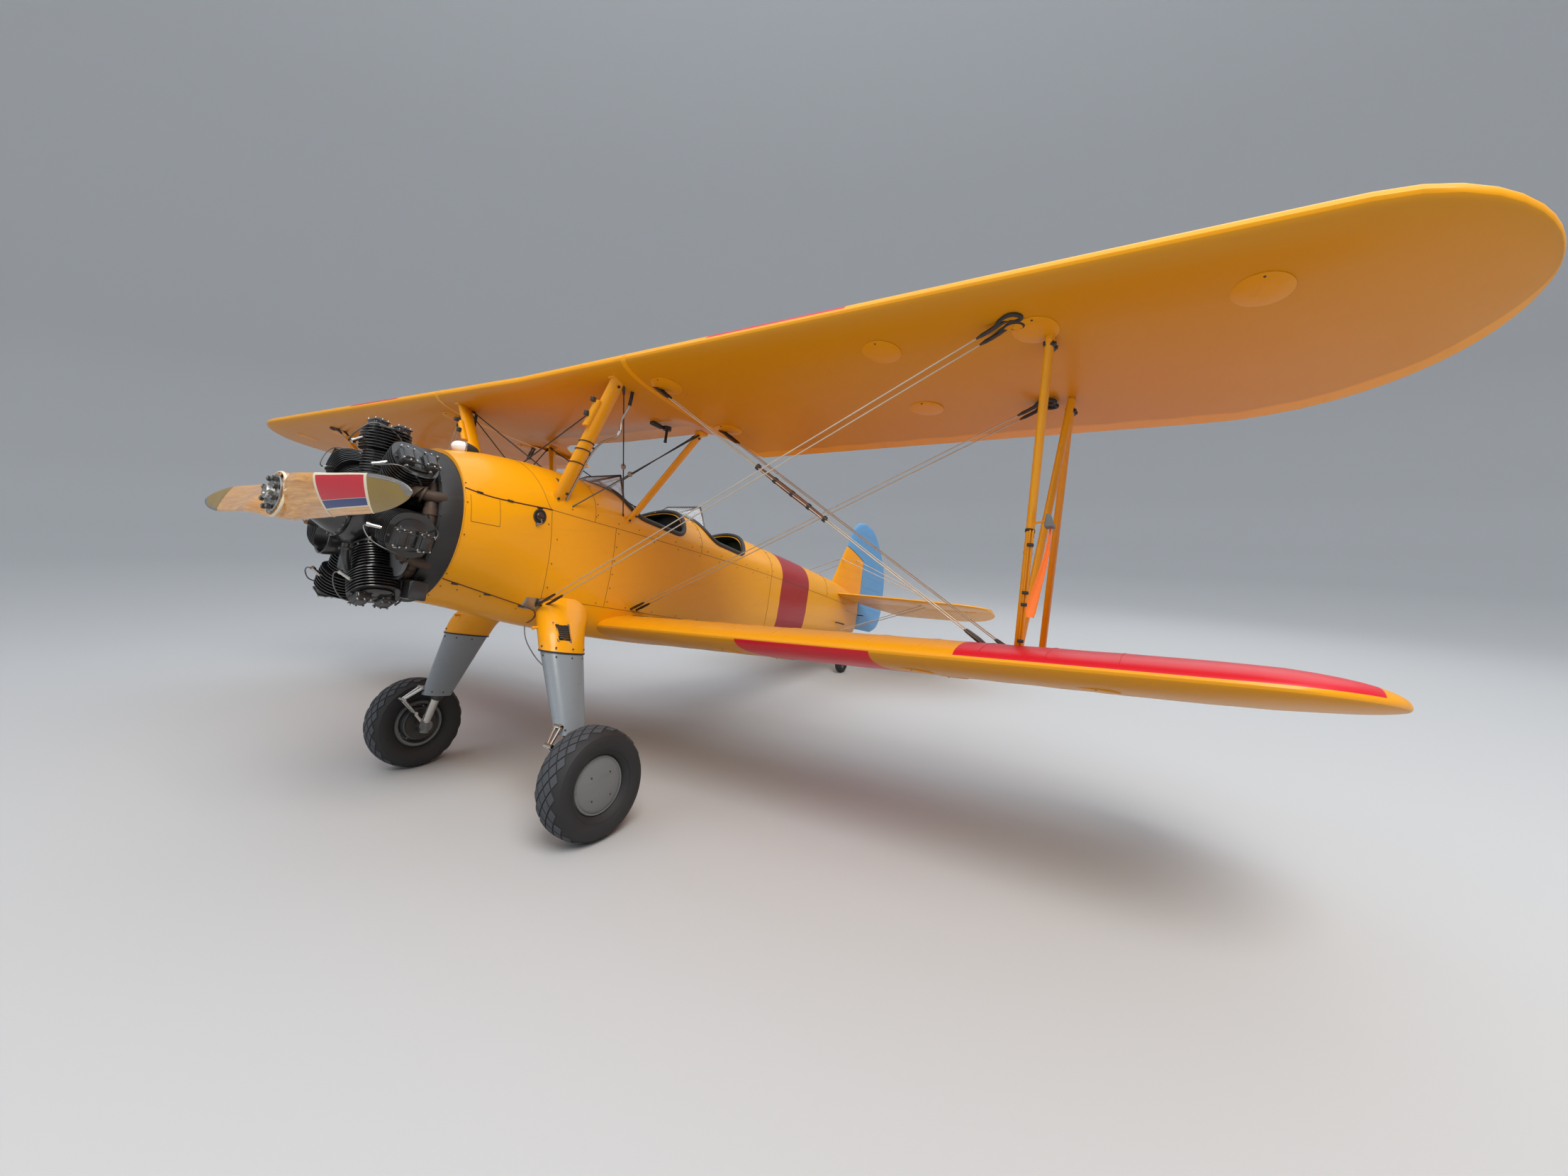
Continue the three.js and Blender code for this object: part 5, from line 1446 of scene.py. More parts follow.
BLADE = (  # distance out, width, thickness and pitch
    (0.06, 0.232, 0.106, 4), (0.12, 0.238, 0.112, 16), (0.18, 0.235, 0.105, 28), (0.3, 0.236, 0.08, 36),
    (0.44, 0.217, 0.055, 31), (0.6, 0.198, 0.04, 26), (0.75, 0.187, 0.03, 22.5), (0.895, 0.173, 0.023, 19.5),
    (1.0, 0.152, 0.018, 17.5), (1.1, 0.12, 0.015, 17), (1.18, 0.08, 0.012, 16), (1.225, 0.045, 0.009, 16),
    (1.245, 0.014, 0.007, 16))


def blade_point(hand, radius, turn, lift=0.0):
    """A point of a blade's skin; the turn runs round its section from the leading edge."""
    _, width, thickness, pitch = between(BLADE, radius)
    along = (0.5 * width + lift) * cos(turn)
    across = (0.5 * thickness + lift) * sin(turn)
    pitch = radians(pitch)
    return at(BLADE_PLANE - along * sin(pitch) + across * cos(pitch), hand * radius,
        hand * (along * cos(pitch) + across * sin(pitch)))


def whole_blade(hand):
    stations = [*spread(0.06, 1.18, 60), *spread(1.19, 1.245, 8)]
    turns = around(40)
    return loft([[blade_point(hand, radius, turn) for turn in turns] for radius in stations])


def blade_cover(hand, radii, turns, lift, depth=0.0016):
    """A thin closed sleeve on a blade's skin, between two radii and between two turns in degrees."""
    rings = []
    for radius in spread(*radii, max(2, round((radii[1] - radii[0]) / 0.015))):
        low, high = (radians(a) for a in (turns(radius) if callable(turns) else turns))
        sweep = spread(low, high, 24)
        rings.append([blade_point(hand, radius, a, lift) for a in sweep] + [blade_point(hand, radius, a,
            lift - depth) for a in reversed(sweep)])
    return loft(rings)


SIGN = Sizes(inner=0.44, outer=0.89, border=0.016, top=12, bottom=-129, red=(-24, -100), blue=(-101.5, -124))
SHEATH = Sizes(start=0.9, end=1.2435)


def sheath_turns(radius):
    """The metal edging widens towards the tip, where it wraps right round."""
    t = (radius - SHEATH.start) / (SHEATH.end - SHEATH.start)
    half = 34 + 16 * t + 126 * max(0, (t - 0.72) / 0.28) ** 1.6
    return -half, half


BOSS = Sizes(front=0.045, rear=0.155, face=0.112, edge=0.119)
HUB_BOLTS = Sizes(circle=0.078, nuts=0.0265, ends=0.017)


def propeller():
    front, rear, face, edge = BOSS.front, BOSS.rear, BOSS.face, BOSS.edge
    boss = [(0.03, front), (face, front), (edge - 0.002, front + 0.002), (edge, front + 0.007),
        (edge, rear - 0.007), (face, rear), (0.03, rear), (0.03, front)]
    made = piece("propeller_wood", *on_axis(boss, 96))
    carve(made, *[whole_blade(hand) for hand in (1, -1)], operation="UNION")
    spaces = [(0.04, 0.0, 0.2), (face, -0.04, front), (face, rear, 0.24)]
    carve(made, *[on_axis([(0, a), (r, a), (r, b), (0, b)], 96) for r, a, b in spaces])
    settle(made, "wood", "propeller_blades", body="propeller")
    rim = [(0.1125, 0.0438), (0.1165, 0.0445), (0.1198, 0.0495), (0.1202, 0.055), (0.118, 0.0555),
        (0.1125, 0.0475), (0.1125, 0.0438)]
    fit("boss_rim", [on_axis(rim, 96)], "cream", body="propeller")
    covers = [blade_cover(hand, (SIGN.outer + 0.004, 1.2436), (0, 360), 0.0007) for hand in (1, -1)]
    fit("tip_paint", covers, "tip paint", body="propeller")
    sheaths = [blade_cover(hand, (SHEATH.start, SHEATH.end), sheath_turns, 0.0012) for hand in (1, -1)]
    turns = around(24)
    sheaths += [loft([[blade_point(hand, radius, a, lift) for a in turns]
        for radius, lift in ((1.24, 0.0013), (1.2462, 0.0013), (1.2476, -0.0008))]) for hand in (1, -1)]
    fit("tip_sheaths", sheaths, "tipping", body="propeller")
    heads = []
    for hand in (1, -1):
        for k in range(20):
            radius = SHEATH.start + 0.012 + 0.0158 * k
            for edge in sheath_turns(radius):
                turn = radians(edge * 0.86)
                skin = blade_point(hand, radius, turn, 0.0012)
                heads.append((skin, tuple((blade_point(hand, radius, turn, 0.01) - skin).normalized())))
    studs("sheath_rivets", heads, 0.0024, 0.0012, "tipping", sides=6, body="propeller")
    bands = [blade_cover(1, (r, r + 0.013), (0, 360), 0.0022)
        for r in (SIGN.inner - 0.004, SIGN.outer - 0.006)]
    ground = blade_cover(1, (SIGN.inner, SIGN.outer), (SIGN.bottom, SIGN.top), 0.0014)
    fit("wrap_ground", [ground, *bands], "cream", body="propeller")
    inside = (SIGN.inner + SIGN.border, SIGN.outer - SIGN.border)
    field = blade_cover(1, inside, (SIGN.red[1], SIGN.red[0]), 0.002)
    strip = blade_cover(1, inside, (SIGN.blue[1], SIGN.blue[0]), 0.002)
    fit("wrap_field", [field], "wrap red", body="propeller")
    fit("wrap_strip", [strip], "wrap blue", body="propeller")

    nose = [(0, 0.01), (0.014, 0.01), (0.0165, 0.0004), (0.018, 0.0), (0.026, 0.0), (0.0315, 0.002),
        (0.033, 0.006), (0.033, 0.014), (0.0312, 0.0155), (0.0312, 0.019), (0.033, 0.0205), (0.033, 0.0245),
        (0.042, 0.0265), (0.05, 0.026), (0.058, 0.0255), (0.06, 0.031), (0.088, 0.033), (0.095, 0.034),
        (0.098, 0.037), (0.098, 0.0447), (0.0395, 0.0447), (0.0395, 0.1553), (0.094, 0.1553),
        (0.094, 0.166), (0.05, 0.17), (0.033, 0.172), (0.033, 0.255), (0, 0.255)]
    fit("hub_body", [on_axis(nose, 96)], "steel", "propeller_hub", body="propeller")
    ring = [(0.03, 0.0007), (0.0325, 0.0007), (0.0338, 0.003), (0.0338, 0.0125), (0.0325, 0.0135),
        (0.03, 0.0007)]
    fit("hub_nose_ring", [on_axis(ring, 64)], "bright", body="propeller")
    circle = around(8, 0.5)
    nuts = [(place, tuple(AHEAD)) for place in on_circle(HUB_BOLTS.nuts, HUB_BOLTS.circle, circle)]
    studs("hub_nuts", nuts, 0.0135, 0.015, "dark metal", sides=6, narrowing=0.97, body="propeller",
        slot="hub_steel")
    ends = [(place, tuple(AHEAD)) for place in on_circle(HUB_BOLTS.ends, HUB_BOLTS.circle, circle)]
    studs("hub_bolt_ends", ends, 0.0072, 0.01, "steel", sides=10, narrowing=0.9, body="propeller")


# Windshields and cockpits

WINDSHIELD_TOPS = dict(front=2.07, rear=3.03)
PANE_FOOT = (-0.4, 0.03, 0.49)
PANE_HEAD = (0.0, 0.2, 0.705)
PANE_SIDE = (-0.075, 0.446, 0.33)
GLASS = 0.005
FRAME_RADIUS = 0.0085


def pane_corner(top, corner, hand):
    s, y, h = corner
    return at(top + s, hand * y, h)


def deck_cross(inner, outer):
    """Where the line from an inner to an outer point meets the hull's skin."""
    near, far = 0.0, 1.0
    for _ in range(24):
        middle = (near + far) / 2
        s, y, h = own(inner.lerp(outer, middle))
        top = hull_h(s, y) if abs(y) < hull_section(s)[0] else hull_section(s)[2]
        if h > top:
            far = middle
        else:
            near = middle
    return inner.lerp(outer, far)


def foot_line(a, b, c, d, count=14):
    """The line where the plane between a-b and c-d meets the deck, as points."""
    return [deck_cross(a.lerp(c, k / count), b.lerp(d, k / count)) for k in range(count + 1)]


def pane(upper, lower, name):
    """A glass pane between an upper and a lower line of points."""
    normal = (upper[-1] - upper[0]).cross(lower[len(lower) // 2] - upper[0]).normalized() * GLASS / 2
    rings = [[u + normal, u - normal, v - normal, v + normal] for u, v in zip(upper, lower)]
    made = piece(name, *loft(rings))
    return settle(made, "glass")


def windshields():
    for name, top in WINDSHIELD_TOPS.items():
        foot, head, side = ({hand: pane_corner(top, corner, hand) for hand in (1, -1)}
            for corner in (PANE_FOOT, PANE_HEAD, PANE_SIDE))
        base = {hand: foot[hand] + (foot[hand] - head[hand]) * 0.35 for hand in (1, -1)}
        count = 14
        middle_upper = [head[1].lerp(head[-1], k / count) for k in range(count + 1)]
        middle_lower = foot_line(base[1], head[1], base[-1], head[-1])
        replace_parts(pane(middle_upper, middle_lower, f"windshield_{name}_middle"), f"windshield_{name}")
        frames = [tube(evenly([head[1], head[-1]], 0.02), FRAME_RADIUS, 10),
            tube(middle_lower, FRAME_RADIUS, 10)]
        for label, hand in SIDES:
            edge = [middle_lower[0 if hand > 0 else -1].lerp(head[hand], k / count) for k in range(count + 1)]
            rear_foot = deck_cross(side[hand] + Vector((0, 0, -0.1)), head[hand])
            rear = [rear_foot.lerp(head[hand], k / count) for k in range(count + 1)]
            lower = [deck_cross(a - (head[hand] - a) * 0.4 + Vector((0, 0, -0.3)), a + Vector((0, 0, 0.3)))
                for a in (edge[0].lerp(rear_foot, k / count) for k in range(count + 1))]
            upper = [a.lerp(head[hand], 0.999) for a in lower]
            pane(upper, lower, f"windshield_{name}_{label}")
            frames += [tube(edge, FRAME_RADIUS, 10), tube(rear, FRAME_RADIUS, 10),
                tube(smooth_path(lower[::2], 4), FRAME_RADIUS, 10)]
        fit(f"windshield_frame_{name}", frames, "frame brown")


CUSHION_WIDTH = (-0.168, 0.168)


def seats():
    for name, s in SEATS.items():
        def in_seat(a, b, c, s=s):
            return at(s + c, a, b)

        def on_back(a, b, c, s=s):
            return at(s + 0.15 + 0.115 * (b + 0.15) / 0.48 + c, a, b)

        width = (-0.188, 0.188)
        shell = [soft_block(in_seat, width, (-0.158, -0.118), (-0.185, 0.195), 0.012),
            soft_block(on_back, width, (-0.15, 0.325), (-0.012, 0.012), 0.01)]
        shell += [soft_block(in_seat, (hand * 0.182 - 0.006, hand * 0.182 + 0.006), (-0.15, 0.01),
            (-0.15, 0.17), 0.005) for hand in (-1, 1)]
        shell.append(soft_block(in_seat, (-0.055, 0.055), (-0.399, -0.15), (-0.055, 0.095), 0.012))
        fit(f"seat_shell_{name}", shell, "cockpit", f"seat_{name}", slot="seat_leather")
        cushion = piece(f"seat_cushion_{name}", *cushion_shape(lambda a, b, c: in_seat(b, -0.117 + c, a),
            (-0.165, 0.145), CUSHION_WIDTH, 0.085))
        settle(cushion, "seat")
        pad = piece(f"seat_back_pad_{name}", *cushion_shape(lambda a, b, c: on_back(b, a, -0.0135 - c),
            (-0.02, 0.315), CUSHION_WIDTH, 0.055))
        settle(pad, "seat")
        belts = []
        for hand in (-1, 1):
            path = smooth_path([at(s + 0.12, hand * 0.176, -0.03), at(s + 0.05, hand * 0.13, -0.022),
                at(s - 0.03, hand * 0.05, -0.018)], 6)
            belts.append(strap(path, Vector((0, hand, 0)), 0.045, 0.004))
        fit(f"lap_belt_{name}", belts, "webbing")
        stick = [tube(smooth_path([at(s - 0.32, 0, -0.395), at(s - 0.31, 0, -0.2), at(s - 0.27, 0, 0.02)],
            6), 0.012, 14), bar((s - 0.27, 0, 0.02), (s - 0.262, 0, 0.13), 0.019, 20),
            *[bar((s - 0.62, hand * 0.13 - 0.05, -0.24), (s - 0.62, hand * 0.13 + 0.05, -0.24), 0.013, 16)
            for hand in (-1, 1)], *[bar((s - 0.62, hand * 0.13, -0.395), (s - 0.62, hand * 0.13, -0.24),
            0.009, 12) for hand in (-1, 1)], bar((s - 0.3, 0.33, 0.02), (s - 0.32, 0.33, 0.12), 0.006, 12),
            bar((s - 0.32, 0.33, 0.12), (s - 0.321, 0.33, 0.145), 0.016, 20)]
        fit(f"cockpit_controls_{name}", stick, "black", slot="seat_leather")
        dials(name)


def cushion_shape(place, a_range, b_range, height, rows=18):
    """A stuffed pad: its edges are round and its top swells."""
    (a0, a1), (b0, b1) = a_range, b_range
    middle_a, middle_b, half_a, half_b = (a0 + a1) / 2, (b0 + b1) / 2, (a1 - a0) / 2, (b1 - b0) / 2
    rings = []
    for k in range(rows + 1):
        turn = pi * k / rows
        reach = max(0.02, sin(turn) ** 0.45)
        level = height * (0.5 - 0.5 * cos(turn))
        ring = []
        for i in range(40):
            angle = TAU * i / 40
            across, along = sin(angle), cos(angle)
            a = copysign(abs(along) ** 0.32, along)
            b = copysign(abs(across) ** 0.32, across)
            ring.append(place(middle_a + a * half_a * reach, middle_b + b * half_b * reach, level))
        rings.append(ring)
    return loft(rings)


def strap(path, side, width, thickness):
    """A flat band along a path, its width lying to the side."""
    rings = []
    for k, point in enumerate(path):
        along = (path[min(k + 1, len(path) - 1)] - path[max(k - 1, 0)]).normalized()
        upright = abs(along.dot(side)) >= 0.99
        across = along.orthogonal() if upright else along.cross(side).cross(along).normalized()
        up = along.cross(across).normalized()
        across = along.cross(up).normalized()
        rings.append([point + across * width / 2 * a + up * thickness / 2 * b
            for a, b in ((1, 1), (-1, 1), (-1, -1), (1, -1))])
    return loft(rings)


DIAL_PLACES = ((-0.2, 0.3, 0.042), (-0.09, 0.33, 0.042), (0.03, 0.33, 0.042), (0.15, 0.3, 0.036),
    (-0.13, 0.235, 0.03), (0.02, 0.235, 0.036), (0.12, 0.225, 0.026))


def dials(name):
    """Round instruments on the board, with plain marks and a needle each."""
    s = PANELS[name] + 0.01
    aft = -AHEAD
    rims, faces, marks = [], [], []
    for y, h, radius in DIAL_PLACES:
        rims.append(turned_section(at(s, y, h), aft, [(radius, 0), (radius, 0.008), (radius * 0.88, 0.011),
            (radius * 0.84, 0.006), (radius * 0.84, 0)], 32))
        faces.append(turned_section(at(s, y, h), aft, [(0, 0.0045), (radius * 0.85, 0.0045),
            (radius * 0.85, 0.001), (0, 0.001)], 28))
        for angle in around(12):
            a, b = radius * 0.66, radius * 0.8
            marks.append(bar((s + 0.005, y + a * sin(angle), h + a * cos(angle)),
                (s + 0.005, y + b * sin(angle), h + b * cos(angle)), 0.0009, 4))
        needle = 0.7 + 9 * y
        marks.append(bar((s + 0.0055, y, h), (s + 0.0055, y + radius * 0.6 * sin(needle),
            h + radius * 0.6 * cos(needle)), 0.0011, 4))
    fit(f"dial_rims_{name}", rims, "black", slot="seat_leather")
    fit(f"dial_faces_{name}", faces, "dial black and painted shade")
    fit(f"dial_marks_{name}", marks, "ivory")


# Bracing

WIRES = dict(flying_front=((1.43, 0.38, -0.373), (1.455, 3.239, 1.12)),
    flying_rear=((2.2, 0.39, -0.322), (2.245, 3.255, 1.07)), landing_front=((1.455, 1.03, 1.092),
    (2.24, 3.085, -0.3)), landing_rear=((2.143, 1.055, 1.042), (2.9, 3.085, -0.3)))
WIRE_GAP = 0.028
FLYING_GAP = 0.058
WIRE_RADIUS = 0.0036
SPACER = (0.35, 0.552)  # the wooden spacer's shares of the front landing wires


def wire_offset(inner, outer, flying):
    """The two wires of a pair lie one behind the other."""
    along = (outer - inner).normalized()
    if flying:
        return -AHEAD * FLYING_GAP / 2
    return (along.cross(Vector((0, 0, 1))).cross(along) * 0.35 - AHEAD).normalized() * WIRE_GAP / 2


def bracing():
    for side, hand in SIDES:
        paths, ends, lugs, hooks, names = [], [], [], [], []
        for name, points in WIRES.items():
            inner, outer = (at(s, hand * y, h) for s, y, h in points)
            names.append(f"wire_{name}_{side}")
            flying = name.startswith("flying")
            apart, along = wire_offset(inner, outer, flying), (outer - inner).normalized()
            for shift in (apart, -apart):
                paths.append([inner + shift, outer + shift])
                for end, way in ((inner, along), (outer, -along)):
                    ends.append(tube([end + shift + way * d for d in (0.002, 0.02, 0.06, 0.1, 0.165,
                        0.185)], [0.006, 0.0115, 0.0075, 0.0105, 0.008, 0.0045], 10))
                    lugs.append(rod(end + shift - way * 0.018, end + shift + way * 0.012, 0.0075, 8))
            for end in (inner, outer):
                pin = apart + apart.normalized() * 0.012
                lugs.append(rod(end - pin, end + pin, 0.0055, 10))
            if flying:
                hooks += [wing_hook(outer + shift, along) for shift in (apart, -apart)]
        made = lines(f"bracing_wires_{side}", paths, WIRE_RADIUS, "wire", sides=8)
        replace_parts(made, *names)
        fit(f"wire_terminals_{side}", ends, "terminal")
        fit(f"wire_lugs_{side}", lugs, "dark metal")
        fit(f"wire_hooks_{side}", hooks, "black")
        javelins(side, hand)
    cabane_bracing()
    tail_bracing()


def wing_hook(end, along):
    """The dark collar and curled end where a flying wire enters the upper wing."""
    span = Vector((0, 1 if along.y > 0 else -1, 0))
    curl = [end - along * 0.175, end - along * 0.15, end - along * 0.1]
    curl += [end - UPRIGHT * 0.026 + span * out - AHEAD * aft
        for aft, out in ((-0.02, -0.062), (-0.044, -0.03), (-0.046, 0.0), (-0.028, 0.022), (-0.004, 0.02),
        (0.006, -0.006), (0.0, -0.03))]
    path = smooth_path(curl, 6)
    return tube(path, [0.0055 + 0.004 * min(1, k / 5) for k in range(len(path))], 10)


def javelins(side, hand):
    """The long wooden spacer on the front landing wires, with its lashings."""
    inner, outer = (at(s, hand * y, h) for s, y, h in WIRES["landing_front"])
    path = [inner.lerp(outer, t) for t in spread(*SPACER, 10)]
    widths = [0.01 + 0.0065 * sin(pi * k / 10) for k in range(11)]
    fit(f"wire_spacer_{side}", [tube(path, widths, 12)], "javelin")
    lashings = []
    for share in (0.012, 0.27, 0.52, 0.76, 0.988):
        place = inner.lerp(outer, SPACER[0] + (SPACER[1] - SPACER[0]) * share)
        along = (outer - inner).normalized() * 0.01
        lashings.append(rod(place - along, place + along, 0.0185, 16))
    fit(f"spacer_lashings_{side}", lashings, "dark metal")


def turnbuckled(a, b, reach=0.05):
    """A tie rod between two points and its thicker threaded ends."""
    along = (b - a).normalized()
    return [tube([a, a + along * reach * 0.25, a + along * reach, a + along * reach * 1.3,
        b - along * reach * 1.3, b - along * reach, b - along * reach * 0.25, b],
        [0.007, 0.0085, 0.0085, 0.0045, 0.0045, 0.0085, 0.0085, 0.007], 10)]


def cabane_bracing():
    rods, joints = [], []
    for hand in (1, -1):
        low, high = at(1.47, hand * 0.414, 0.275), at(2.15, hand * 0.868, 1.01)
        rods += turnbuckled(low, high)
        middle = low.lerp(high, 0.62)
        other = (at(1.985, hand * 0.402, 0.33), at(1.4, hand * 0.868, 1.06))
        rods += turnbuckled(*other)
        crossing = other[0].lerp(other[1], 0.44)
        for place in (low.lerp(high, 0.46), crossing):
            joints.append(rod(place - Vector((0, 0.006, 0)), place + Vector((0, 0.006, 0)), 0.019, 24))
        joints.append(rod(middle, middle + Vector((0, 0.001, 0.001)), 0.008, 8))
    for s, h in ((1.42, 1.062), (2.15, 1.018)):
        rods += turnbuckled(at(s, 0.85, h), at(s - 0.01, -0.36, 0.46))
        rods += turnbuckled(at(s, -0.85, h), at(s + 0.01, 0.36, 0.46))
    fit("cabane_tie_rods", rods, "dark metal")
    fit("cabane_rod_joints", joints, "steel", slot="wire_steel")


TAIL_WIRES = (  # fin end, then tailplane end
    ((6.56, 0.022, 0.88), (6.56, 1.33, 0.352)), ((6.18, 0.018, 0.82), (6.23, 1.3, 0.352)))


def tail_bracing():
    wires = []
    for hand in (1, -1):
        for fin_end, plane_end in TAIL_WIRES:
            a, b = (at(s, hand * y, h) for s, y, h in (fin_end, plane_end))
            wires += turnbuckled(a, b, 0.04)
        foot, head = (6.2, hand * 0.09, -0.13), (6.38, hand * 1.15, 0.318)
        wires += turnbuckled(at(*foot), at(*head), 0.04)
        wires += turnbuckled(at(6.43, hand * 0.075, -0.1), at(6.56, hand * 1.15, 0.318), 0.04)
    fit("tail_wires", wires, "wire")


# Seams, covers and fasteners on the fuselage

HINGE_LINE = ((0.772, 0.233), (0.916, 0.221), (1.12, 0.23), (1.315, 0.246), (1.705, 0.251), (2.119, 0.257),
    (3.0, 0.262), (4.1, 0.262), (5.5, 0.245), (6.3, 0.23))
COWL_HINGE_END = 1.345
FIRE_SEAM = ((1.345, 0.235), (1.375, 0.04), (1.394, -0.182), (1.414, -0.341), (1.44, -0.43), (1.46, -0.5))
DECK_SEAM = ((1.345, 0.24), (1.302, 0.299), (1.247, 0.464), (1.225, 0.545), (1.22, 0.568))
CHIN_SEAM = ((0.779, -0.301), (0.96, -0.33), (1.141, -0.359), (1.33, -0.392), (1.4, -0.408),
    (1.425, -0.424), (1.44, -0.448), (1.446, -0.475), (1.448, -0.498))
LOW_SEAM = ((1.41, -0.325), (1.7, -0.322), (2.114, -0.32), (3.0, -0.315), (3.9, -0.3))
COWL_PANEL = ((0.805, 0.2), (0.814, 0.045), (0.997, 0.055), (0.983, 0.215))
OIL_FILLER = Sizes(s=1.259, h=0.181, radius=0.047)


def on_hull(s, h, hand=1, out=0.001):
    top, bottom = hull_section(s)[1], hull_section(s)[3]
    return at(s, hand * hull_y(s, max(bottom, min(top, h)), out), h)


def hull_facing(s, h, hand=1):
    """The way out of the hull's skin."""
    across = on_hull(s + 0.004, h, hand) - on_hull(s - 0.004, h, hand)
    up = on_hull(s, h + 0.004, hand) - on_hull(s, h - 0.004, hand)
    facing = across.cross(up).normalized()
    return facing if facing.y * hand > 0 else -facing


def hull_path(table, hand, out=0.001, step=0.03):
    """A line along the skin through a few (s, h) places."""
    places = smooth_path([Vector(row) for row in table], 8)
    return evenly([on_hull(s, h, hand, out) for s, h in places], step)


def over_top(s, out=0.001):
    """A line across the deck, from the hinge line of one side to that of the other."""
    low = between(HINGE_LINE, s)[1]
    top = hull_section(s)[1]
    left = [on_hull(s, low + (top - low) * sin(pi / 2 * k / 20), 1, out) for k in range(21)]
    return left + other_side(reversed(left[:-1]))


def seams():
    thick, thin, hinge = [], [], []
    for hand in (1, -1):
        hinge.append(hull_path([row for row in HINGE_LINE if row[0] < COWL_HINGE_END] + [(COWL_HINGE_END,
            0.2475)], hand))
        thick.append(hull_path(CHIN_SEAM, hand))
        thin.append(hull_path([(COWL_HINGE_END, 0.2475)] + [row for row in HINGE_LINE
            if row[0] > COWL_HINGE_END], hand))
        thin += [hull_path(table, hand) for table in (FIRE_SEAM, DECK_SEAM, LOW_SEAM)]
        thin += [hull_path(edge, hand) for edge in zip(COWL_PANEL, COWL_PANEL[1:])]
        thin.append(hull_path(((1.9, 0.252), (1.912, 0.1), (1.912, -0.1), (1.905, -0.318)), hand))
        thin.append(hull_path(((4.085, 0.255), (4.09, 0.05), (4.09, -0.18), (4.085, -0.3)), hand))
    thin += [over_top(s) for s in (1.7, 2.88, 4.085, 5.6)]
    lines("cowl_hinge_lines", hinge, 0.0038, "seam red", sides=8)
    lines("chin_cowl_seams", thick, 0.0034, "seam red", sides=8)
    lines("panel_seams", thin, 0.0011, "seam", sides=6)
    ring_edge = [hull_ring(COWL_FRONT + 0.004)]
    lines("cowl_front_edge", [[p + (p - at(COWL_FRONT, 0, 0)).normalized() * 0.001 for p in ring_edge[0]]],
        0.0045, "amber", sides=8, closed=True)
    fasteners()
    oil_filler()
    covers()


def fasteners():
    places = [(0.783, 0.264), (0.792, -0.038), (0.784, -0.27), (0.786, 0.15), (0.8, -0.345), (0.79, -0.405),
        (1.419, 0.068), (1.412, -0.095), (1.428, -0.25), (1.335, 0.15), (1.05, -0.37), (0.9, -0.352),
        (1.3, -0.415)]
    places += [(s, 0.29) for s in spread(1.5, 4.0, 12)] + [(s, -0.3) for s in spread(1.55, 3.8, 8)]
    places += [(s, 0.235) for s in spread(2.3, 4.0, 6)] + [(1.93, h) for h in spread(-0.28, 0.22, 5)]
    heads = [(on_hull(s, h, hand), tuple(hull_facing(s, h, hand))) for s, h in places for hand in (1, -1)]
    for s in (1.72, 2.86, 4.105, 5.62):
        for point in over_top(s)[2:-2:3]:
            heads.append((point, tuple((point - at(s, 0, 0.2)).normalized())))
    studs("panel_fasteners", heads, 0.005, 0.003, "fastener", sides=10)
    latches = []
    for s, h in ((1.05, 0.226), (0.86, 0.226), (1.25, 0.236), (0.86, -0.318), (1.08, -0.352), (1.32, -0.395)):
        for hand in (1, -1):
            facing = hull_facing(s, h, hand)
            latches.append(rod(on_hull(s - 0.018, h, hand) + facing * 0.004,
                on_hull(s + 0.018, h, hand) + facing * 0.004, 0.0058, 12))
    fit("cowl_latches", latches, "dark metal")


def oil_filler():
    s, h, radius = OIL_FILLER.s, OIL_FILLER.h, OIL_FILLER.radius
    facing, centre = hull_facing(s, h), on_hull(s, h, 1, 0.0)
    rim = [(radius, -0.02), (radius + 0.002, 0.0035), (radius - 0.004, 0.005), (radius - 0.006, 0.001),
        (radius - 0.006, -0.02), (radius, -0.02)]
    fit("oil_filler_rim", [turned_section(centre, facing, rim, 64)], "seam")
    # A flat near-black disc inside the rim: painted shade for the filler's hollow round the cap
    shade_disc = [(0, 0.0022), (radius - 0.005, 0.0022), (radius - 0.005, -0.01), (0, -0.01)]
    cap = [(0, 0.012), (0.024, 0.012), (0.027, 0.009), (0.028, 0.002), (0, 0.002)]
    fit("oil_filler_shade_disc", [turned_section(centre, facing, shade_disc, 48)], "dial black and painted shade", slot="yellow_paint")
    bar = rod(centre + facing * 0.014 - AHEAD * 0.02, centre + facing * 0.014 + AHEAD * 0.02, 0.0045, 12)
    fit("oil_filler_cap", [turned_section(centre, facing, cap, 40), bar], "frame brown")
    low = on_hull(s - 0.012, h - 0.052, 1, 0.003)
    chain = tube(smooth_path([centre + facing * 0.013 + Vector((0, 0, -0.015)),
        centre + facing * 0.018 + Vector((0, 0, -0.04)), low + facing * 0.004], 6), 0.0028, 8)
    tab = rod(low, low + facing * 0.006, 0.011, 16)
    fit("oil_filler_tab", [chain, tab], "steel")


def covers():
    """The guard plate by the flying wires' foot and the lifting handle, on each side."""
    for side, hand in SIDES:
        plates = [skin_plate(hand, (1.318, 1.432), (-0.408, -0.33), 0.003)]
        fit(f"wire_foot_plate_{side}", plates, "steel", slot="grey_paint")
        handles = [tube([on_hull(s, h, hand, out) for s, h, out in ((6.02, -0.04, 0.0),
            (6.03, -0.04, 0.028), (6.07, -0.04, 0.036), (6.23, -0.04, 0.036), (6.27, -0.04, 0.028),
            (6.28, -0.04, 0.0))], 0.0085, 12)]
        fit(f"lift_handle_{side}", handles, "dark metal", slot="grey_paint")


def skin_outline(s_range, h_range, share=0.3, steps=5):
    radius = share * min(s_range[1] - s_range[0], h_range[1] - h_range[0])
    return soft_outline(s_range, h_range, radius, steps)


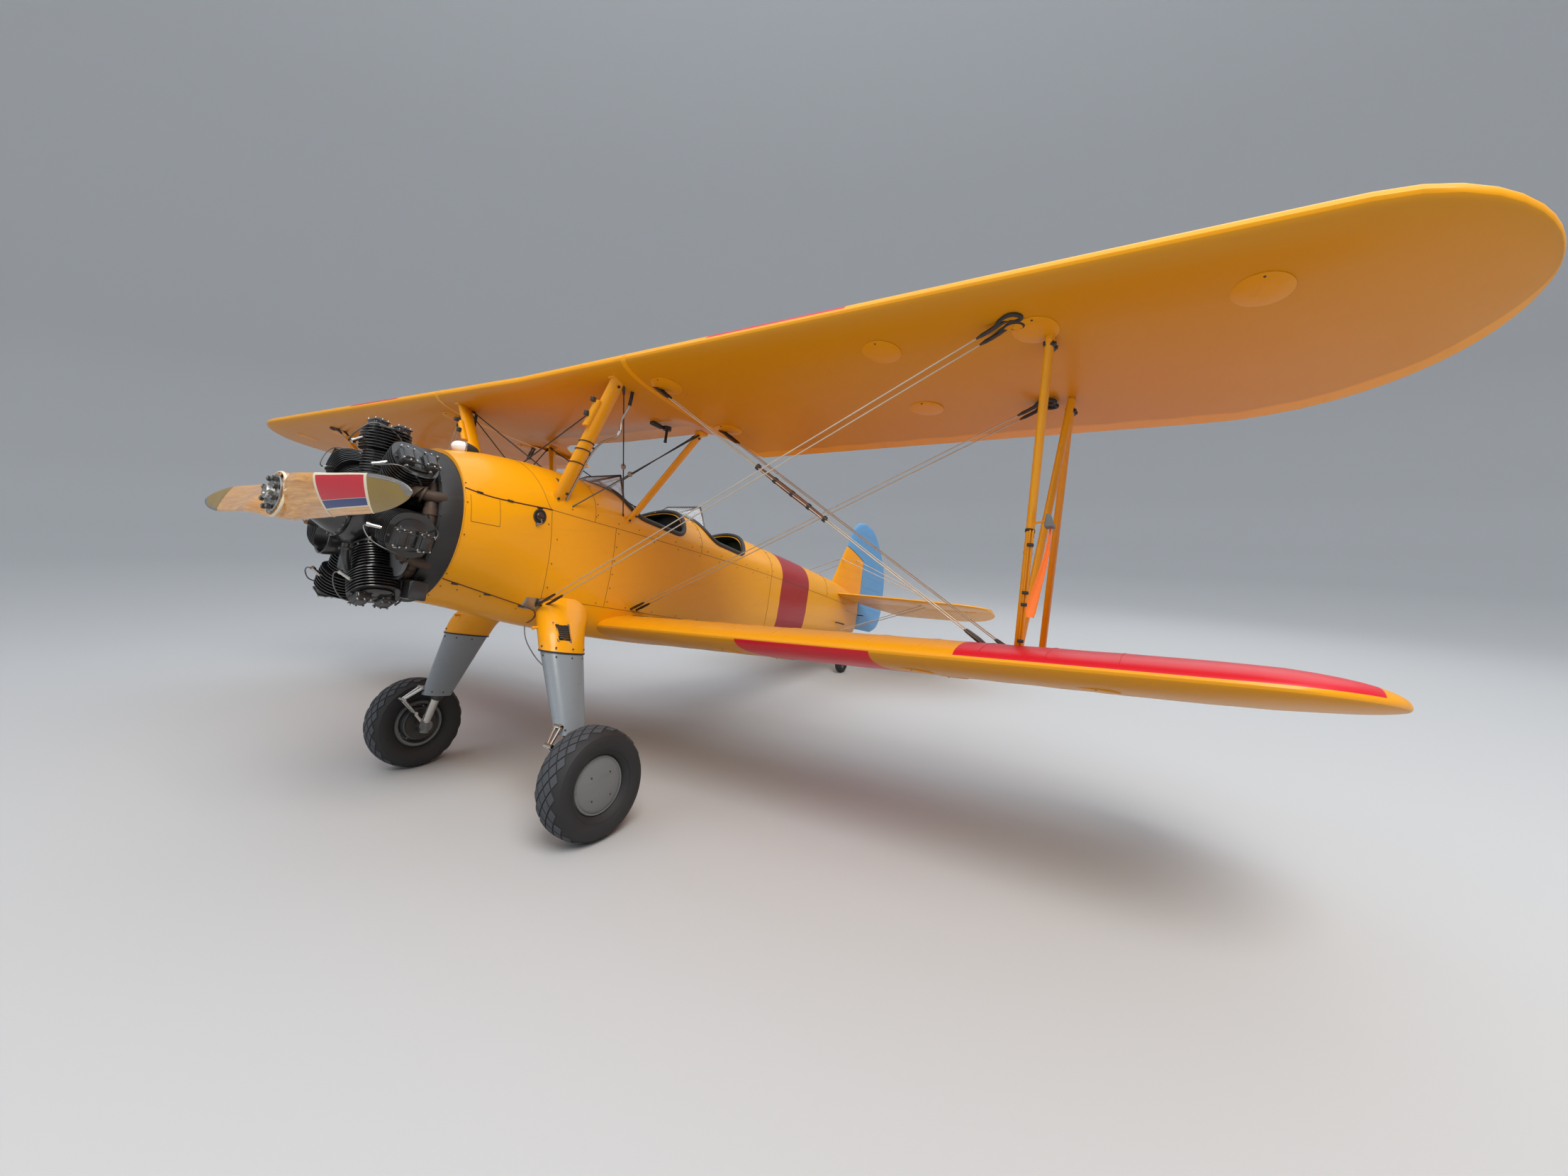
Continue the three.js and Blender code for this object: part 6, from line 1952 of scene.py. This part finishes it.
def skin_plate(hand, s_range, h_range, thickness, share=0.12):
    """A thin plate with round corners that follows the hull's skin."""
    outline = skin_outline(s_range, h_range, share)
    middle = (sum(s_range) / 2, sum(h_range) / 2)
    rings = []
    for shrink, out in ((1.0, -0.004), (1.0, thickness - 0.0006), (0.985, thickness),
            (0.6, thickness + 0.0003), (0.2, thickness + 0.0004)):
        rings.append([on_hull(middle[0] + (s - middle[0]) * shrink, middle[1] + (h - middle[1]) * shrink,
            hand, out) for s, h in outline])
    return loft(rings)


# Fittings, lamps and small parts

TAPE = 0.0015
UPPER_DISCS = ((1.497, 2.586), (2.156, 2.587), (1.523, 3.301), (1.504, 4.09), (1.474, 1.17), (2.146, 1.136))
LOWER_DISCS = ((2.18, 1.4), (2.84, 1.4), (2.18, 2.7), (2.84, 2.7), (2.2, 3.6))
DISC_RADIUS = 0.098


def wing_share(wing, s):
    return (s - wing.s) / (CHORD * cos(wing.incidence))


def wing_facing(wing, y, x, side):
    """The way out of the wing's skin."""
    along = wing_skin(wing, y, x + 0.01, side) - wing_skin(wing, y, x - 0.01, side)
    facing = along.cross(SPANWISE).normalized()
    return facing if facing.dot(UPRIGHT) * side > 0 else -facing


def skin_disc(wing, y, x, side, radius, height):
    facing = wing_facing(wing, y, x, side)
    edge = [(0, height), (radius * 0.35, height), (radius - 0.003, height * 0.8), (radius, height * 0.3),
        (radius, -0.008), (0, -0.008)]
    return turned_section(wing_skin(wing, y, x, side), facing, edge, 48)


def wing_details():
    discs, drains = [], []
    for wing, places in ((UPPER_WING, UPPER_DISCS), (LOWER_WING, LOWER_DISCS)):
        for s, y in places:
            for hand in (1, -1):
                x = wing_share(wing, s)
                discs.append(skin_disc(wing, hand * y, x, -1, DISC_RADIUS, 0.003))
                drain = x - 0.052
                drains.append((wing_skin(wing, hand * y, drain, -1, 0.003),
                    tuple(wing_facing(wing, y, drain, -1))))
    fit("inspection_discs", discs, "cover")
    studs("disc_drains", drains, 0.0055, 0.004, "seam", sides=8)
    rib_tapes()
    root_strips()
    walkways()
    wing_lamps()
    tank_fittings()


def wing_line(wing, y, side, start, end, out=0.0006, count=22):
    stations = [start + (end - start) * (1 - cos(pi * k / count)) / 2 for k in range(count + 1)]
    return [wing_skin(wing, y, x, side, out) for x in stations]


def rib_tapes():
    """Raised tape over each rib, on top of the straight part of the wings."""
    movers = {1: [], -1: []}
    for wing, last, finish in ((UPPER_WING, 3.9, "upper wing"), (LOWER_WING, 3.75, "lower wing")):
        paths = []
        for k in range(1, int((last - wing.root) / RIB_PITCH) + 1):
            y = wing.root + k * RIB_PITCH
            split = wing is LOWER_WING and AILERON.inner + 0.02 < y < AILERON.outer - 0.02
            for hand in (1, -1):
                paths.append(wing_line(wing, hand * y, 1, 0.02, 0.725 if split else 0.985))
                if split:
                    movers[hand].append(wing_line(wing, hand * y, 1, 0.8, 0.985, count=8))
        lines(f"rib_tapes_{finish.split()[0]}", paths, TAPE, finish, sides=5)
    for side, hand in SIDES:
        lines(f"aileron_tapes_{side}", movers[hand], TAPE, "lower wing", body=f"aileron_{side}", sides=5)


def root_strips():
    """Metal strips over the joints between the centre section and the upper panels."""
    strips = []
    for hand in (1, -1):
        for side in (1, -1):
            low = wing_line(UPPER_WING, hand * 1.012, side, 0.001, 0.975, 0.0014)
            high = wing_line(UPPER_WING, hand * 1.05, side, 0.001, 0.985, 0.0014)
            below = [wing_line(UPPER_WING, hand * y, side, 0.001, e, -0.002)
                for y, e in ((1.05, 0.985), (1.012, 0.975))]
            strips.append(loft([[a, b, c, d] for a, b, c, d in zip(low, high, *below)]))
    fit("centre_joint_strips", strips, "yellow", angle=50)


def walkways():
    """Rough dark panels to step on at the lower wings' roots."""
    for side, hand in SIDES:
        rows = []
        for y in spread(0.455, 0.7, 6):
            top = wing_line(LOWER_WING, hand * y, 1, 0.17, 0.965, 0.0016, 24)
            under = wing_line(LOWER_WING, hand * y, 1, 0.17, 0.965, -0.002, 24)
            rows.append([*top, *reversed(under)])
        fit(f"walkway_{side}", [loft(rows)], "walkway", angle=50)


def wing_lamps():
    for side, hand, glass in (("left", 1, "lamp red"), ("right", -1, "lamp green")):
        y, x = hand * 4.78, TIP_PLACE
        base = wing_point(UPPER_WING, y, x, 0.03)
        body = [base + p for p in lamp_points(0.06, 0.02)[0]]
        fit(f"tip_lamp_{side}", [(body, lamp_points(0.06, 0.02)[1])], glass)
        foot = turned_section(base - 0.012 * UPRIGHT, UPRIGHT, [(0, 0.0), (0.026, 0.0), (0.024, 0.014),
            (0, 0.016)], 28)
        fit(f"tip_lamp_base_{side}", [foot], "steel")


def lamp_points(length, radius, sides=24):
    """A drop shape with its blunt end ahead."""
    profile = [(radius * sin(a) * (1 - 0.25 * (1 - cos(a)) / 2 * 1.6), -length / 2 * cos(a))
        for a in (pi * k / 14 for k in range(15))]
    profile[0], profile[-1] = (0, profile[0][1]), (0, profile[-1][1])
    return turned_section(Vector((0, 0, 0)), -AHEAD, profile, sides)


def tank_fittings():
    """Filler cap on the centre section and the fuel gauge under it."""
    x = 0.4
    facing = wing_facing(UPPER_WING, 0, x, 1)
    place = wing_skin(UPPER_WING, 0, x, 1)
    cap = [(0, 0.02), (0.034, 0.02), (0.04, 0.016), (0.041, 0.003), (0.06, 0.002), (0.062, -0.004),
        (0, -0.004)]
    fit("tank_filler_cap", [turned_section(place, facing, cap, 40)], "steel")
    s, y = 1.99, 0.7
    top = own(wing_skin(UPPER_WING, y, wing_share(UPPER_WING, s), -1))[2]
    gauge = [bar((s, y, top + 0.004), (s, y, top - 0.022), 0.03, 28),
        bar((s, y, top - 0.02), (s, y, top - 0.105), 0.007, 14),
        bar((s, y, top - 0.1), (s, y, top - 0.112), 0.012, 20), *[bar((s + a, y + b, top - 0.01),
        (s + a, y + b, top - 0.106), 0.0022, 8) for a, b in ((0.011, 0), (-0.011, 0), (0, 0.011),
        (0, -0.011))], soft_block(at, (s - 0.13, s - 0.02), (y - 0.05, y - 0.01), (top - 0.02, top + 0.004),
        0.006)]
    fit("fuel_gauge", gauge, "dark metal")
    pipe = smooth_path([at(*p) for p in FUEL_PIPE], 8)
    hose = smooth_path([at(*p) for p in FUEL_HOSE], 6)
    lines("fuel_pipes", [pipe, other_side(pipe)], 0.0068, "steel", sides=12, slot="wire_steel")
    lines("fuel_hoses", [hose, other_side(hose)], 0.0115, "black", sides=12, slot="engine_black")
    unions = [bar((1.47, 0.824, 0.792), (1.47, 0.812, 0.768), 0.0145, 6)]
    fit("fuel_pipe_unions", [*unions, mirrored(unions[0])], "steel")


FUEL_HOSE = ((1.472, 0.872, 1.05), (1.471, 0.872, 1.01), (1.47, 0.868, 0.96))
FUEL_PIPE = ((1.47, 0.869, 0.975), (1.47, 0.862, 0.945), (1.47, 0.818, 0.868), (1.47, 0.824, 0.79),
    (1.469, 0.796, 0.756), (1.465, 0.735, 0.742), (1.456, 0.668, 0.716), (1.448, 0.6, 0.64),
    (1.45, 0.52, 0.5), (1.452, 0.448, 0.375), (1.455, 0.41, 0.29))


# Strut fittings

def strut_point(foot, head, t, ahead=0.0, out=0.0):
    s, y, h = (a + (b - a) * t for a, b in zip(foot, head))
    return (s - ahead, y + out, h)


def clamp_ring(foot, head, t, chord, thickness, height=0.006, grow_by=0.004):
    low, high = strut_point(foot, head, t), strut_point(foot, head, t + height / abs(head[2] - foot[2]))
    return loft([stream_ring(*low, chord + 2 * grow_by, thickness + 2 * grow_by),
        stream_ring(*high, chord + 2 * grow_by, thickness + 2 * grow_by)])


def fitting(point, half_s, half_y, half_h, radius=0.004):
    s, y, h = point
    return soft_block(at, (s - half_s, s + half_s), (y - half_y, y + half_y), (h - half_h, h + half_h),
        radius)


def strut_fittings():
    for side, hand in SIDES:
        clamps, plates, bolts, clips = [], [], [], []
        foot, head, chord, thickness = CABANE["front"]
        for t in (0.355, 0.455, 0.515):
            clamps.append(clamp_ring(foot, head, t, chord, thickness))
        for t in spread(0.24, 0.5, 5):
            clips.append(fitting(strut_point(foot, head, t, -chord / 2 - 0.004), 0.01, 0.008, 0.006, 0.003))
        box_low, box_high = strut_point(foot, head, 0.62, 0.062), strut_point(foot, head, 0.8, 0.062)
        plates.append(loft([stream_ring(*box_low, 0.052, 0.046), stream_ring(*box_high, 0.052, 0.046)]))
        clips.append(fitting(strut_point(foot, head, 0.7, 0.098, -0.006), 0.014, 0.012, 0.016))
        clips.append(fitting(strut_point(foot, head, 0.8, 0.098, -0.006), 0.016, 0.012, 0.014))
        for foot, head, chord, thickness in CABANE.values():
            root = strut_point(foot, head, 0.0)
            top = strut_point(foot, head, 0.985)
            plates.append(fitting(top, chord * 0.62, 0.03, 0.012, 0.006))
            for t, shift in ((0.075, 0.2), (0.125, -0.2), (0.93, 0.0)):
                spot = strut_point(foot, head, t, chord * shift, thickness / 2 - 0.002)
                bolts.append((at(*spot), (0, 1, 0)))
            clips.append(fitting((root[0] + chord / 2 + 0.006, root[1] + 0.03, root[2] + 0.03), 0.01, 0.006,
                0.02))
        bars = interplane_bars()
        for bar_head, bar_foot in bars[:2]:
            for end, way, t in ((bar_head, -1, 0.035), (bar_foot, 1, 0.965)):
                spot = strut_point(bar_head, bar_foot, t)
                clips.append(fitting(spot, 0.036, 0.0225, 0.011, 0.005))
                plates.append(fitting((end[0], end[1], end[2] + way * 0.004), 0.03, 0.012, 0.045, 0.004))
                for shift in (-0.018, 0.018):
                    bolts.append((at(spot[0] + shift, spot[1] + 0.022, spot[2]), (0, 1, 0)))
        plates.append(clamp_ring(bars[0][1], bars[0][0], 0.36, 0.084, 0.038, 0.01, 0.002))
        fit(f"strut_clamps_{side}", clamps, "terminal", hand=hand)
        fit(f"strut_plates_{side}", plates, "yellow", hand=hand)
        fit(f"strut_clips_{side}", clips, "dark metal", hand=hand)
        heads = [(Vector((p.x, hand * p.y, p.z)), (w[0], hand * w[1], w[2])) for p, w in bolts]
        studs(f"strut_bolts_{side}", heads, 0.0095, 0.009, "dark metal", sides=6, narrowing=0.95)
    pitot()


PITOT = Sizes(t=0.545, reach=0.104, head=0.072)


def pitot():
    """The airspeed tubes on the left front strut, their cover and its orange streamer."""
    bar_head, bar_foot = interplane_bars()[0]
    s, y, h = strut_point(bar_head, bar_foot, PITOT.t)
    out = y + PITOT.reach
    mast = smooth_path([at(s, y + 0.004, h - 0.07), at(s - 0.01, y + 0.01, h - 0.03),
        at(s - 0.015, y + 0.018, h - 0.002), at(s - 0.02, y + 0.04, h + 0.01),
        at(s - 0.036, out - 0.01, h + 0.006)], 8)
    tips = [[at(s - 0.034, out - gap, h + 0.004), at(s - PITOT.head, out - gap, h + 0.004)]
        for gap in (0.002, 0.018)]
    lines("pitot_tubes", [mast, *tips], 0.0058, "yellow", sides=12, slot="wire_steel")
    cover = soft_block(lambda a, b, c: wedge(a, b, c, out - 0.006, h - 0.028, h + 0.036),
        (s - PITOT.head - 0.014, s - 0.028), (out - 0.03, out + 0.018), (h - 0.028, h + 0.036), 0.007)
    fit("pitot_cover", [cover], "cap grey")
    pipes = []
    for shift in (-0.007, 0.007):
        stops = [strut_point(bar_head, bar_foot, t, 0.047, 0.016 + shift)
            for t in (0.57, 0.62, 0.72, 0.84, 0.93, 0.985)]
        pipes.append(smooth_path([at(s, y + 0.01 + shift, h - 0.062), *[at(*stop) for stop in stops]], 6))
    lines("pitot_pipes", pipes, 0.0042, "yellow", sides=8, slot="wire_steel")
    clamps = [fitting(strut_point(bar_head, bar_foot, t, 0.047, 0.016), 0.01, 0.015, 0.008, 0.003)
        for t in (0.615, 0.77, 0.81, 0.935)]
    clamps.append(clamp_ring(bar_head, bar_foot, 0.562, INTERPLANE.chord, INTERPLANE.thickness, 0.012, 0.003))
    fit("pitot_clamps", clamps, "black")
    streamer(s - 0.055, out - 0.004, h - 0.024)


def wedge(s, y, h, middle, low, high):
    """A place in a cover that narrows and leans inboard towards its top."""
    up = (h - low) / (high - low)
    return at(s, middle - 0.01 * up + (y - middle) * (1 - 0.65 * up), h)


STREAMER = Sizes(width=0.046, length=0.44, thickness=0.0016)


def streamer(s, y, h):
    """A cloth strip that hangs from the cover, narrow at its top and blown a little inboard."""
    rows, count, length = [], 40, STREAMER.length
    for k in range(count + 1):
        t = k / count
        width = STREAMER.width * (0.22 + 0.78 * min(1, t / 0.8)) * (1 if t < 0.96 else 0.84)
        ring = []
        for side in (1, -1):
            for i in range(9):
                u = (i / 8 - 0.5) * side
                fold = width * (0.12 * (1 - t) + 0.06) * sin(7 * u + 3 * t)
                ring.append(at(s + fold + u * width * 0.45 + side * STREAMER.thickness / 2,
                    y - 0.045 * t + 0.008 * sin(5 * t) + u * width * 0.89, h - length * 0.985 * t))
        rows.append(ring)
    made = piece("streamer", *loft(rows), angle=60)
    settle(made, "orange")


# Lamp on the cowl

LAMP = Sizes(s=0.938, h=0.548, radius=0.042, lens=0.068, tail=0.112)


def cowl_top():
    """The lamp on top of the cowl: a domed lens, a bright band and a dark tail."""
    radius, lens, tail = LAMP.radius, LAMP.lens, LAMP.tail
    centre = at(LAMP.s, 0, LAMP.h)

    def turned(name, outline, finish, slot):
        fit(name, [turned_section(centre, -AHEAD, outline, 48)], finish, slot=slot)

    dome = [(radius * sin(a), -lens * cos(a)) for a in (pi / 2 * k / 10 for k in range(1, 11))]
    turned("cowl_lamp_lens", [(0, -lens), *dome, (radius * 0.92, 0.003), (0, 0.003)], "lamp clear",
        "hub_steel")
    hood = [(radius * cos(a) ** 0.8, 0.018 + (tail - 0.018) * sin(a))
        for a in (pi / 2 * k / 10 for k in range(10))]
    turned("cowl_lamp_hood", [(0, 0.004), (radius, 0.004), *hood, (0, tail)], "black", "engine_black")
    band = [(radius + a, b) for a, b in ((0.0005, 0.002), (0.003, 0.004), (0.003, 0.011), (0.0005, 0.013),
        (-0.004, 0.009), (0.0005, 0.002))]
    turned("cowl_lamp_band", band, "bright", "hub_steel")
    s, base = LAMP.s + 0.02, hull_section(LAMP.s)[1]
    foot = soft_block(at, (s - 0.03, s + 0.05), (-0.022, 0.022), (base - 0.02, base + 0.015), 0.006)
    fit("cowl_lamp_foot", [foot], "yellow")


# Gear fittings

TORQUE = Sizes(top=(1.392, 0.79, -1.085), knee=(1.3, 0.845, -1.185), low=(1.42, 0.872, -1.29))


def gear_fittings():
    for side, hand in SIDES:
        s, _, h = WHEEL_CENTRE
        links = []
        for a, b in ((TORQUE.top, TORQUE.knee), (TORQUE.knee, TORQUE.low)):
            for shift in (-0.024, 0.024):
                links.append(bar((a[0], a[1] + shift, a[2]), (b[0], b[1] + shift * 0.5, b[2]), 0.01, 12))
            links.append(bar((a[0], a[1] - 0.034, a[2]), (a[0], a[1] + 0.034, a[2]), 0.013, 16))
        low = TORQUE.low
        links.append(bar((low[0], low[1] - 0.03, low[2]), (low[0], low[1] + 0.03, low[2]), 0.013, 16))
        links.append(bar((low[0], low[1], low[2]), (s, low[1], h), 0.014, 16))
        links.append(bar((1.392, 0.782, -1.085), (1.45, 0.775, -1.085), 0.016, 16))
        fit(f"torque_links_{side}", links, "bright", hand=hand)
        collar = [bar((1.506, 0.7655, -1.121), (1.506, 0.776, -1.15), 0.046, 32),
            bar((1.506, 0.776, -1.15), (1.506, 0.781, -1.162), 0.04, 32)]
        fit(f"oleo_collar_{side}", collar, "dark metal", slot="hub_steel", hand=hand)
        lug = [bar((s, 0.86, h - 0.055), (s, 0.86, h + 0.075), 0.03, 24),
            bar((s, 0.836, h), (s, 0.886, h), 0.044, 32)]
        fit(f"axle_lug_{side}", lug, "cap grey", hand=hand)
        (s0, y0, h0, c0, t0) = LEG[0]
        band = loft([stream_ring(s0, y0, h0 + 0.001, c0 + 0.017, t0 + 0.017, 56),
            stream_ring(s0, y0, h0 - 0.009, c0 + 0.017, t0 + 0.017, 56)])
        fit(f"leg_band_{side}", [band], "black", slot="engine_black", hand=hand)
        screws = []
        for level, grow_by in ((h0 - 0.032, 0), (h0 + 0.025, 0.014), (-1.105, 0)):
            share = (level - h0) / (LEG[1][2] - h0) if level < h0 else 0
            place = [a + (b - a) * max(0, share) for a, b in zip(LEG[0], LEG[1])]
            ring = stream_ring(place[0], place[1], level, place[3] + grow_by, place[4] + grow_by, 16)
            centre = at(place[0], place[1], level)
            for point in ring[::2]:
                facing = point - centre
                screws.append((Vector((point.x, hand * point.y, point.z)),
                    (facing.x, hand * facing.y, facing.z)))
        studs(f"leg_screws_{side}", screws, 0.0065, 0.004, "dark metal", sides=8, slot="hub_steel")
        louvre(side, hand)
        brake = smooth_path([at(1.536, 0.77, -1.12), at(1.56, 0.8, -1.17), at(1.552, 0.845, -1.24),
            at(1.5, 0.868, -1.3), at(s - 0.02, 0.872, h + 0.045)], 8)
        lines(f"brake_pipe_{side}", [brake if hand > 0 else other_side(brake)], 0.0048, "black", sides=8)
    drain = smooth_path([at(*p) for p in BELLY_DRAIN], 8)
    lines("belly_drain", [drain], 0.0042, "steel", sides=8, slot="wire_steel")
    peg = [bar((1.348, 0.448, -0.522), (1.44, 0.452, -0.5), 0.008, 16),
        bar((1.344, 0.448, -0.523), (1.356, 0.448, -0.52), 0.012, 16)]
    fit("fairing_pegs", [*peg, *[mirrored(part) for part in peg]], "yellow")


BELLY_DRAIN = ((1.495, 0.15, -0.5), (1.507, 0.15, -0.572), (1.543, 0.15, -0.642), (1.623, 0.15, -0.73),
    (1.691, 0.15, -0.782))


def fairing_facing(s, h):
    along = fairing_point(s + 0.004, h) - fairing_point(s - 0.004, h)
    up = fairing_point(s, h + 0.004) - fairing_point(s, h - 0.004)
    facing = along.cross(up).normalized()
    return facing if facing.y > 0 else -facing


def fairing_point(s, h):
    """A point on the left fairing's outer side."""
    _, mid, y, chord, thickness = between(FAIRING_BY_H, -h)
    share = max(-1.0, min(1.0, (mid - s) / (chord / 2)))
    angle = acos(share)
    return at(s, y + 0.5 * thickness * sin(angle) * (1 + 0.25 * share), h)


LOUVRE = Sizes(s=(1.436, 1.518), h=(-0.576, -0.48), slats=7)


def louvre(side, hand):
    """A framed air outlet in the fairing with slats across it, in front of a near-black plate that is painted
    shade for the hollow behind them.
    """
    (s0, s1), (h0, h1) = LOUVRE.s, LOUVRE.h

    def spot(s, h, out):
        point = fairing_point(s, h) + fairing_facing(s, h) * out
        return Vector((point.x, hand * point.y, point.z))

    def plate(s_range, h_range, low, high):
        outline = soft_outline(s_range, h_range, 0.004, 3)
        return loft([[spot(s, h, low) for s, h in outline], [spot(s, h, high) for s, h in outline]])

    fit(f"louvre_frame_{side}", [plate((s0 - 0.01, s1 + 0.01), (h0 - 0.01, h1 + 0.01), -0.006, 0.003)],
        "steel", slot="grey_paint")
    # Near-black plate under the slats: painted shade where the outlet's hollow would be dark
    fit(f"louvre_shade_plate_{side}", [plate((s0, s1), (h0, h1), -0.004, 0.0036)], "dial black and painted shade", slot="engine_black")
    slats = []
    for h in spread(h0 + 0.01, h1 - 0.01, LOUVRE.slats - 1):
        slats.append(loft([[spot(s, h + a, out) for a, out in ((-0.004, 0.0034), (0.005, 0.0034),
            (0.003, 0.0105))] for s in (s0 + 0.004, (s0 + s1) / 2, s1 - 0.004)]))
    fit(f"louvre_slats_{side}", slats, "dark metal", slot="grey_paint")


# Tail fittings

# Heights of the ribs of rudder and fin, places out of those of the tailplanes, and the tape on them
RUDDER_RIBS = (0.1, 0.25, 0.55, 0.7, 0.85, 1.0, 1.15, 1.28)
FIN_RIBS = (0.48, 0.6, 0.72, 0.84)
LEVEL_RIBS = (0.3, 0.55, 0.8, 1.05, 1.3, 1.55)
TAIL_TAPE = Sizes(radius=0.0014, lift=0.0004)


def tail_fittings():
    horns, cables = [], []
    for hand, width in ((1, (0.01, 0.11)), (-1, (-0.11, -0.01))):
        horns.append(soft_block(at, (6.806, 6.852), width, (0.13, 0.142), 0.004))
        cables.append([at(6.3, hand * 0.094, 0.15), at(6.64, hand * 0.1, 0.142)])
    fit("rudder_horns", horns, "dark metal", body="rudder")
    lines("rudder_cables", cables, 0.0024, "wire", sides=6)
    tapes = []
    for h in RUDDER_RIBS:
        _, lead, trail = between(TAIL_UPRIGHT, h)
        start = 6.86 if h < 0.91 else lead + 0.05
        for side in (1, -1):
            tapes.append([at(s, side * (tail_half(lead, trail, s) + TAIL_TAPE.lift), h)
                for s in spread(start, trail - 0.02, 12)])
    lines("rudder_tapes", tapes, TAIL_TAPE.radius, "blue", body="rudder", sides=5)
    fin_tapes = []
    for h in FIN_RIBS:
        _, lead, trail = between(TAIL_UPRIGHT, h)
        for side in (1, -1):
            fin_tapes.append([at(s, side * (tail_half(lead, trail, s) + TAIL_TAPE.lift), h)
                for s in spread(lead + 0.03, 6.735, 10)])
    planes, movers = [], []
    for y in LEVEL_RIBS:
        _, lead, trail = between(TAIL_LEVEL, y)
        for hand in (1, -1):
            for side in (1, -1):
                def place(s):
                    half = tail_half(lead, trail, s, 0.02) + TAIL_TAPE.lift
                    return at(s, hand * y, ELEVATOR_HINGE.h + side * half)

                planes.append([place(s) for s in spread(lead + 0.03, 6.64, 10)])
                movers.append([droop() @ place(s) for s in spread(6.72, trail - 0.02, 10)
                    if inside_elevator(s, y)])
    lines("fixed_tail_tapes", fin_tapes + planes, TAIL_TAPE.radius, "yellow", sides=5)
    lines("elevator_tapes", [path for path in movers if len(path) > 2], TAIL_TAPE.radius, "yellow",
        body="elevators", sides=5)
    lamp = [at(7.64, 0, 0.4) + p for p in lamp_points(0.03, 0.012)[0]]
    fit("tail_lamp", [(lamp, lamp_points(0.03, 0.012)[1])], "lamp clear", body="rudder")


def inside_elevator(s, y):
    """Whether a place lies on the left elevator, aft of its slanted inner end."""
    (s0, y0), (s1, y1) = ELEVATOR_INNER[1:3]
    return y > y0 + (s - s0) / (s1 - s0) * (y1 - y0) + 0.01 if s > s0 else True


def tail_half(lead, trail, s, base=0.018):
    """Half the thickness of a tail surface at s."""
    share = (s - lead) / (trail - lead)
    for (x1, t1), (x0, t0) in zip(TAIL_SECTION, TAIL_SECTION[1:]):
        if x0 <= share <= x1:
            return (t0 + (t1 - t0) * (share - x0) / (x1 - x0)) * (base + 0.042 * (trail - lead)) / 2
    return 0.0


# Stage

def stage_material(name, color, rough):
    made = bpy.data.materials.new(name)
    made.use_nodes = True
    shader = made.node_tree.nodes["Principled BSDF"]
    shader.inputs["Base Color"].default_value = (*color, 1)
    shader.inputs["Roughness"].default_value = rough
    return made


def backdrop():
    """A pale floor that curves up into a wall far behind the aircraft, seen from any side."""
    rings = []
    for radius, height in ((0.01, 0), (20, 0), (40, 0), (52, 1.5), (60, 6), (65, 16), (67, 40), (68, 72)):
        rings.append([Vector((radius * cos(a), radius * sin(a), height)) for a in around(72)])
    points, faces = loft(rings)
    floor = piece("studio_floor", points, faces[:-1], angle=60)
    floor.data.flip_normals()
    floor.data.materials.append(stage_material("studio floor", (0.48, 0.48, 0.48), 0.85))


def light(name, place, target, size, power, color=(1, 1, 1)):
    lamp = bpy.data.lights.new(name, "AREA")
    lamp.shape, lamp.size, lamp.energy, lamp.color = "DISK", size, power, color
    made = bpy.data.objects.new(name, lamp)
    made.location = place
    made.rotation_euler = (Vector(target) - Vector(place)).to_track_quat("-Z", "Y").to_euler()
    bpy.context.scene.collection.objects.link(made)


def stage():
    backdrop()
    world = bpy.data.worlds.new("studio")
    world.use_nodes = True
    world.node_tree.nodes["Background"].inputs["Color"].default_value = (0.86, 0.92, 1.0, 1)
    world.node_tree.nodes["Background"].inputs["Strength"].default_value = 1.3
    bpy.context.scene.world = world
    bpy.context.scene.view_settings.view_transform = "Standard"
    light("key", (7, 9, 13), (0.5, 0.5, 1.2), 9, 1900, (1.0, 0.97, 0.92))
    light("fill", (13, -3, 7), (0.5, 0, 1.2), 10, 300)
    light("back", (-9, 4, 9), (0, 0, 1.5), 12, 300)


CAMERA = Sizes(place=(5.0513, 3.942, 1.8315), ahead=(-0.836, -0.5426, -0.0813), roll=0.0242, pixels=2212,
    focal=886.21)


def camera():
    lens = bpy.data.cameras.new("photo camera")
    lens.sensor_width = 36
    lens.lens = 36 * CAMERA.focal / CAMERA.pixels
    ahead = Vector(CAMERA.ahead).normalized()
    right = ahead.cross(Vector((0, 0, 1))).normalized()
    up = right.cross(ahead)
    cosine, sine = cos(CAMERA.roll), sin(CAMERA.roll)
    turned_right, turned_up = cosine * right + sine * up, -sine * right + cosine * up
    made = bpy.data.objects.new("photo camera", lens)
    made.matrix_world = Matrix((turned_right, turned_up, -ahead)).transposed().to_4x4()
    made.location = CAMERA.place
    bpy.context.scene.collection.objects.link(made)
    bpy.context.scene.camera = made


def main():
    camera()
    stage()
    for make in MAKERS:
        make()


MAKERS = (front_fuselage, rear_fuselage, nose_cowl, wings, struts, gear, upright_tails, level_tails,
    tail_wheel, engine, propeller, windshields, seats, bracing, seams, wing_details, strut_fittings,
    cowl_top, gear_fittings, tail_fittings)
main()
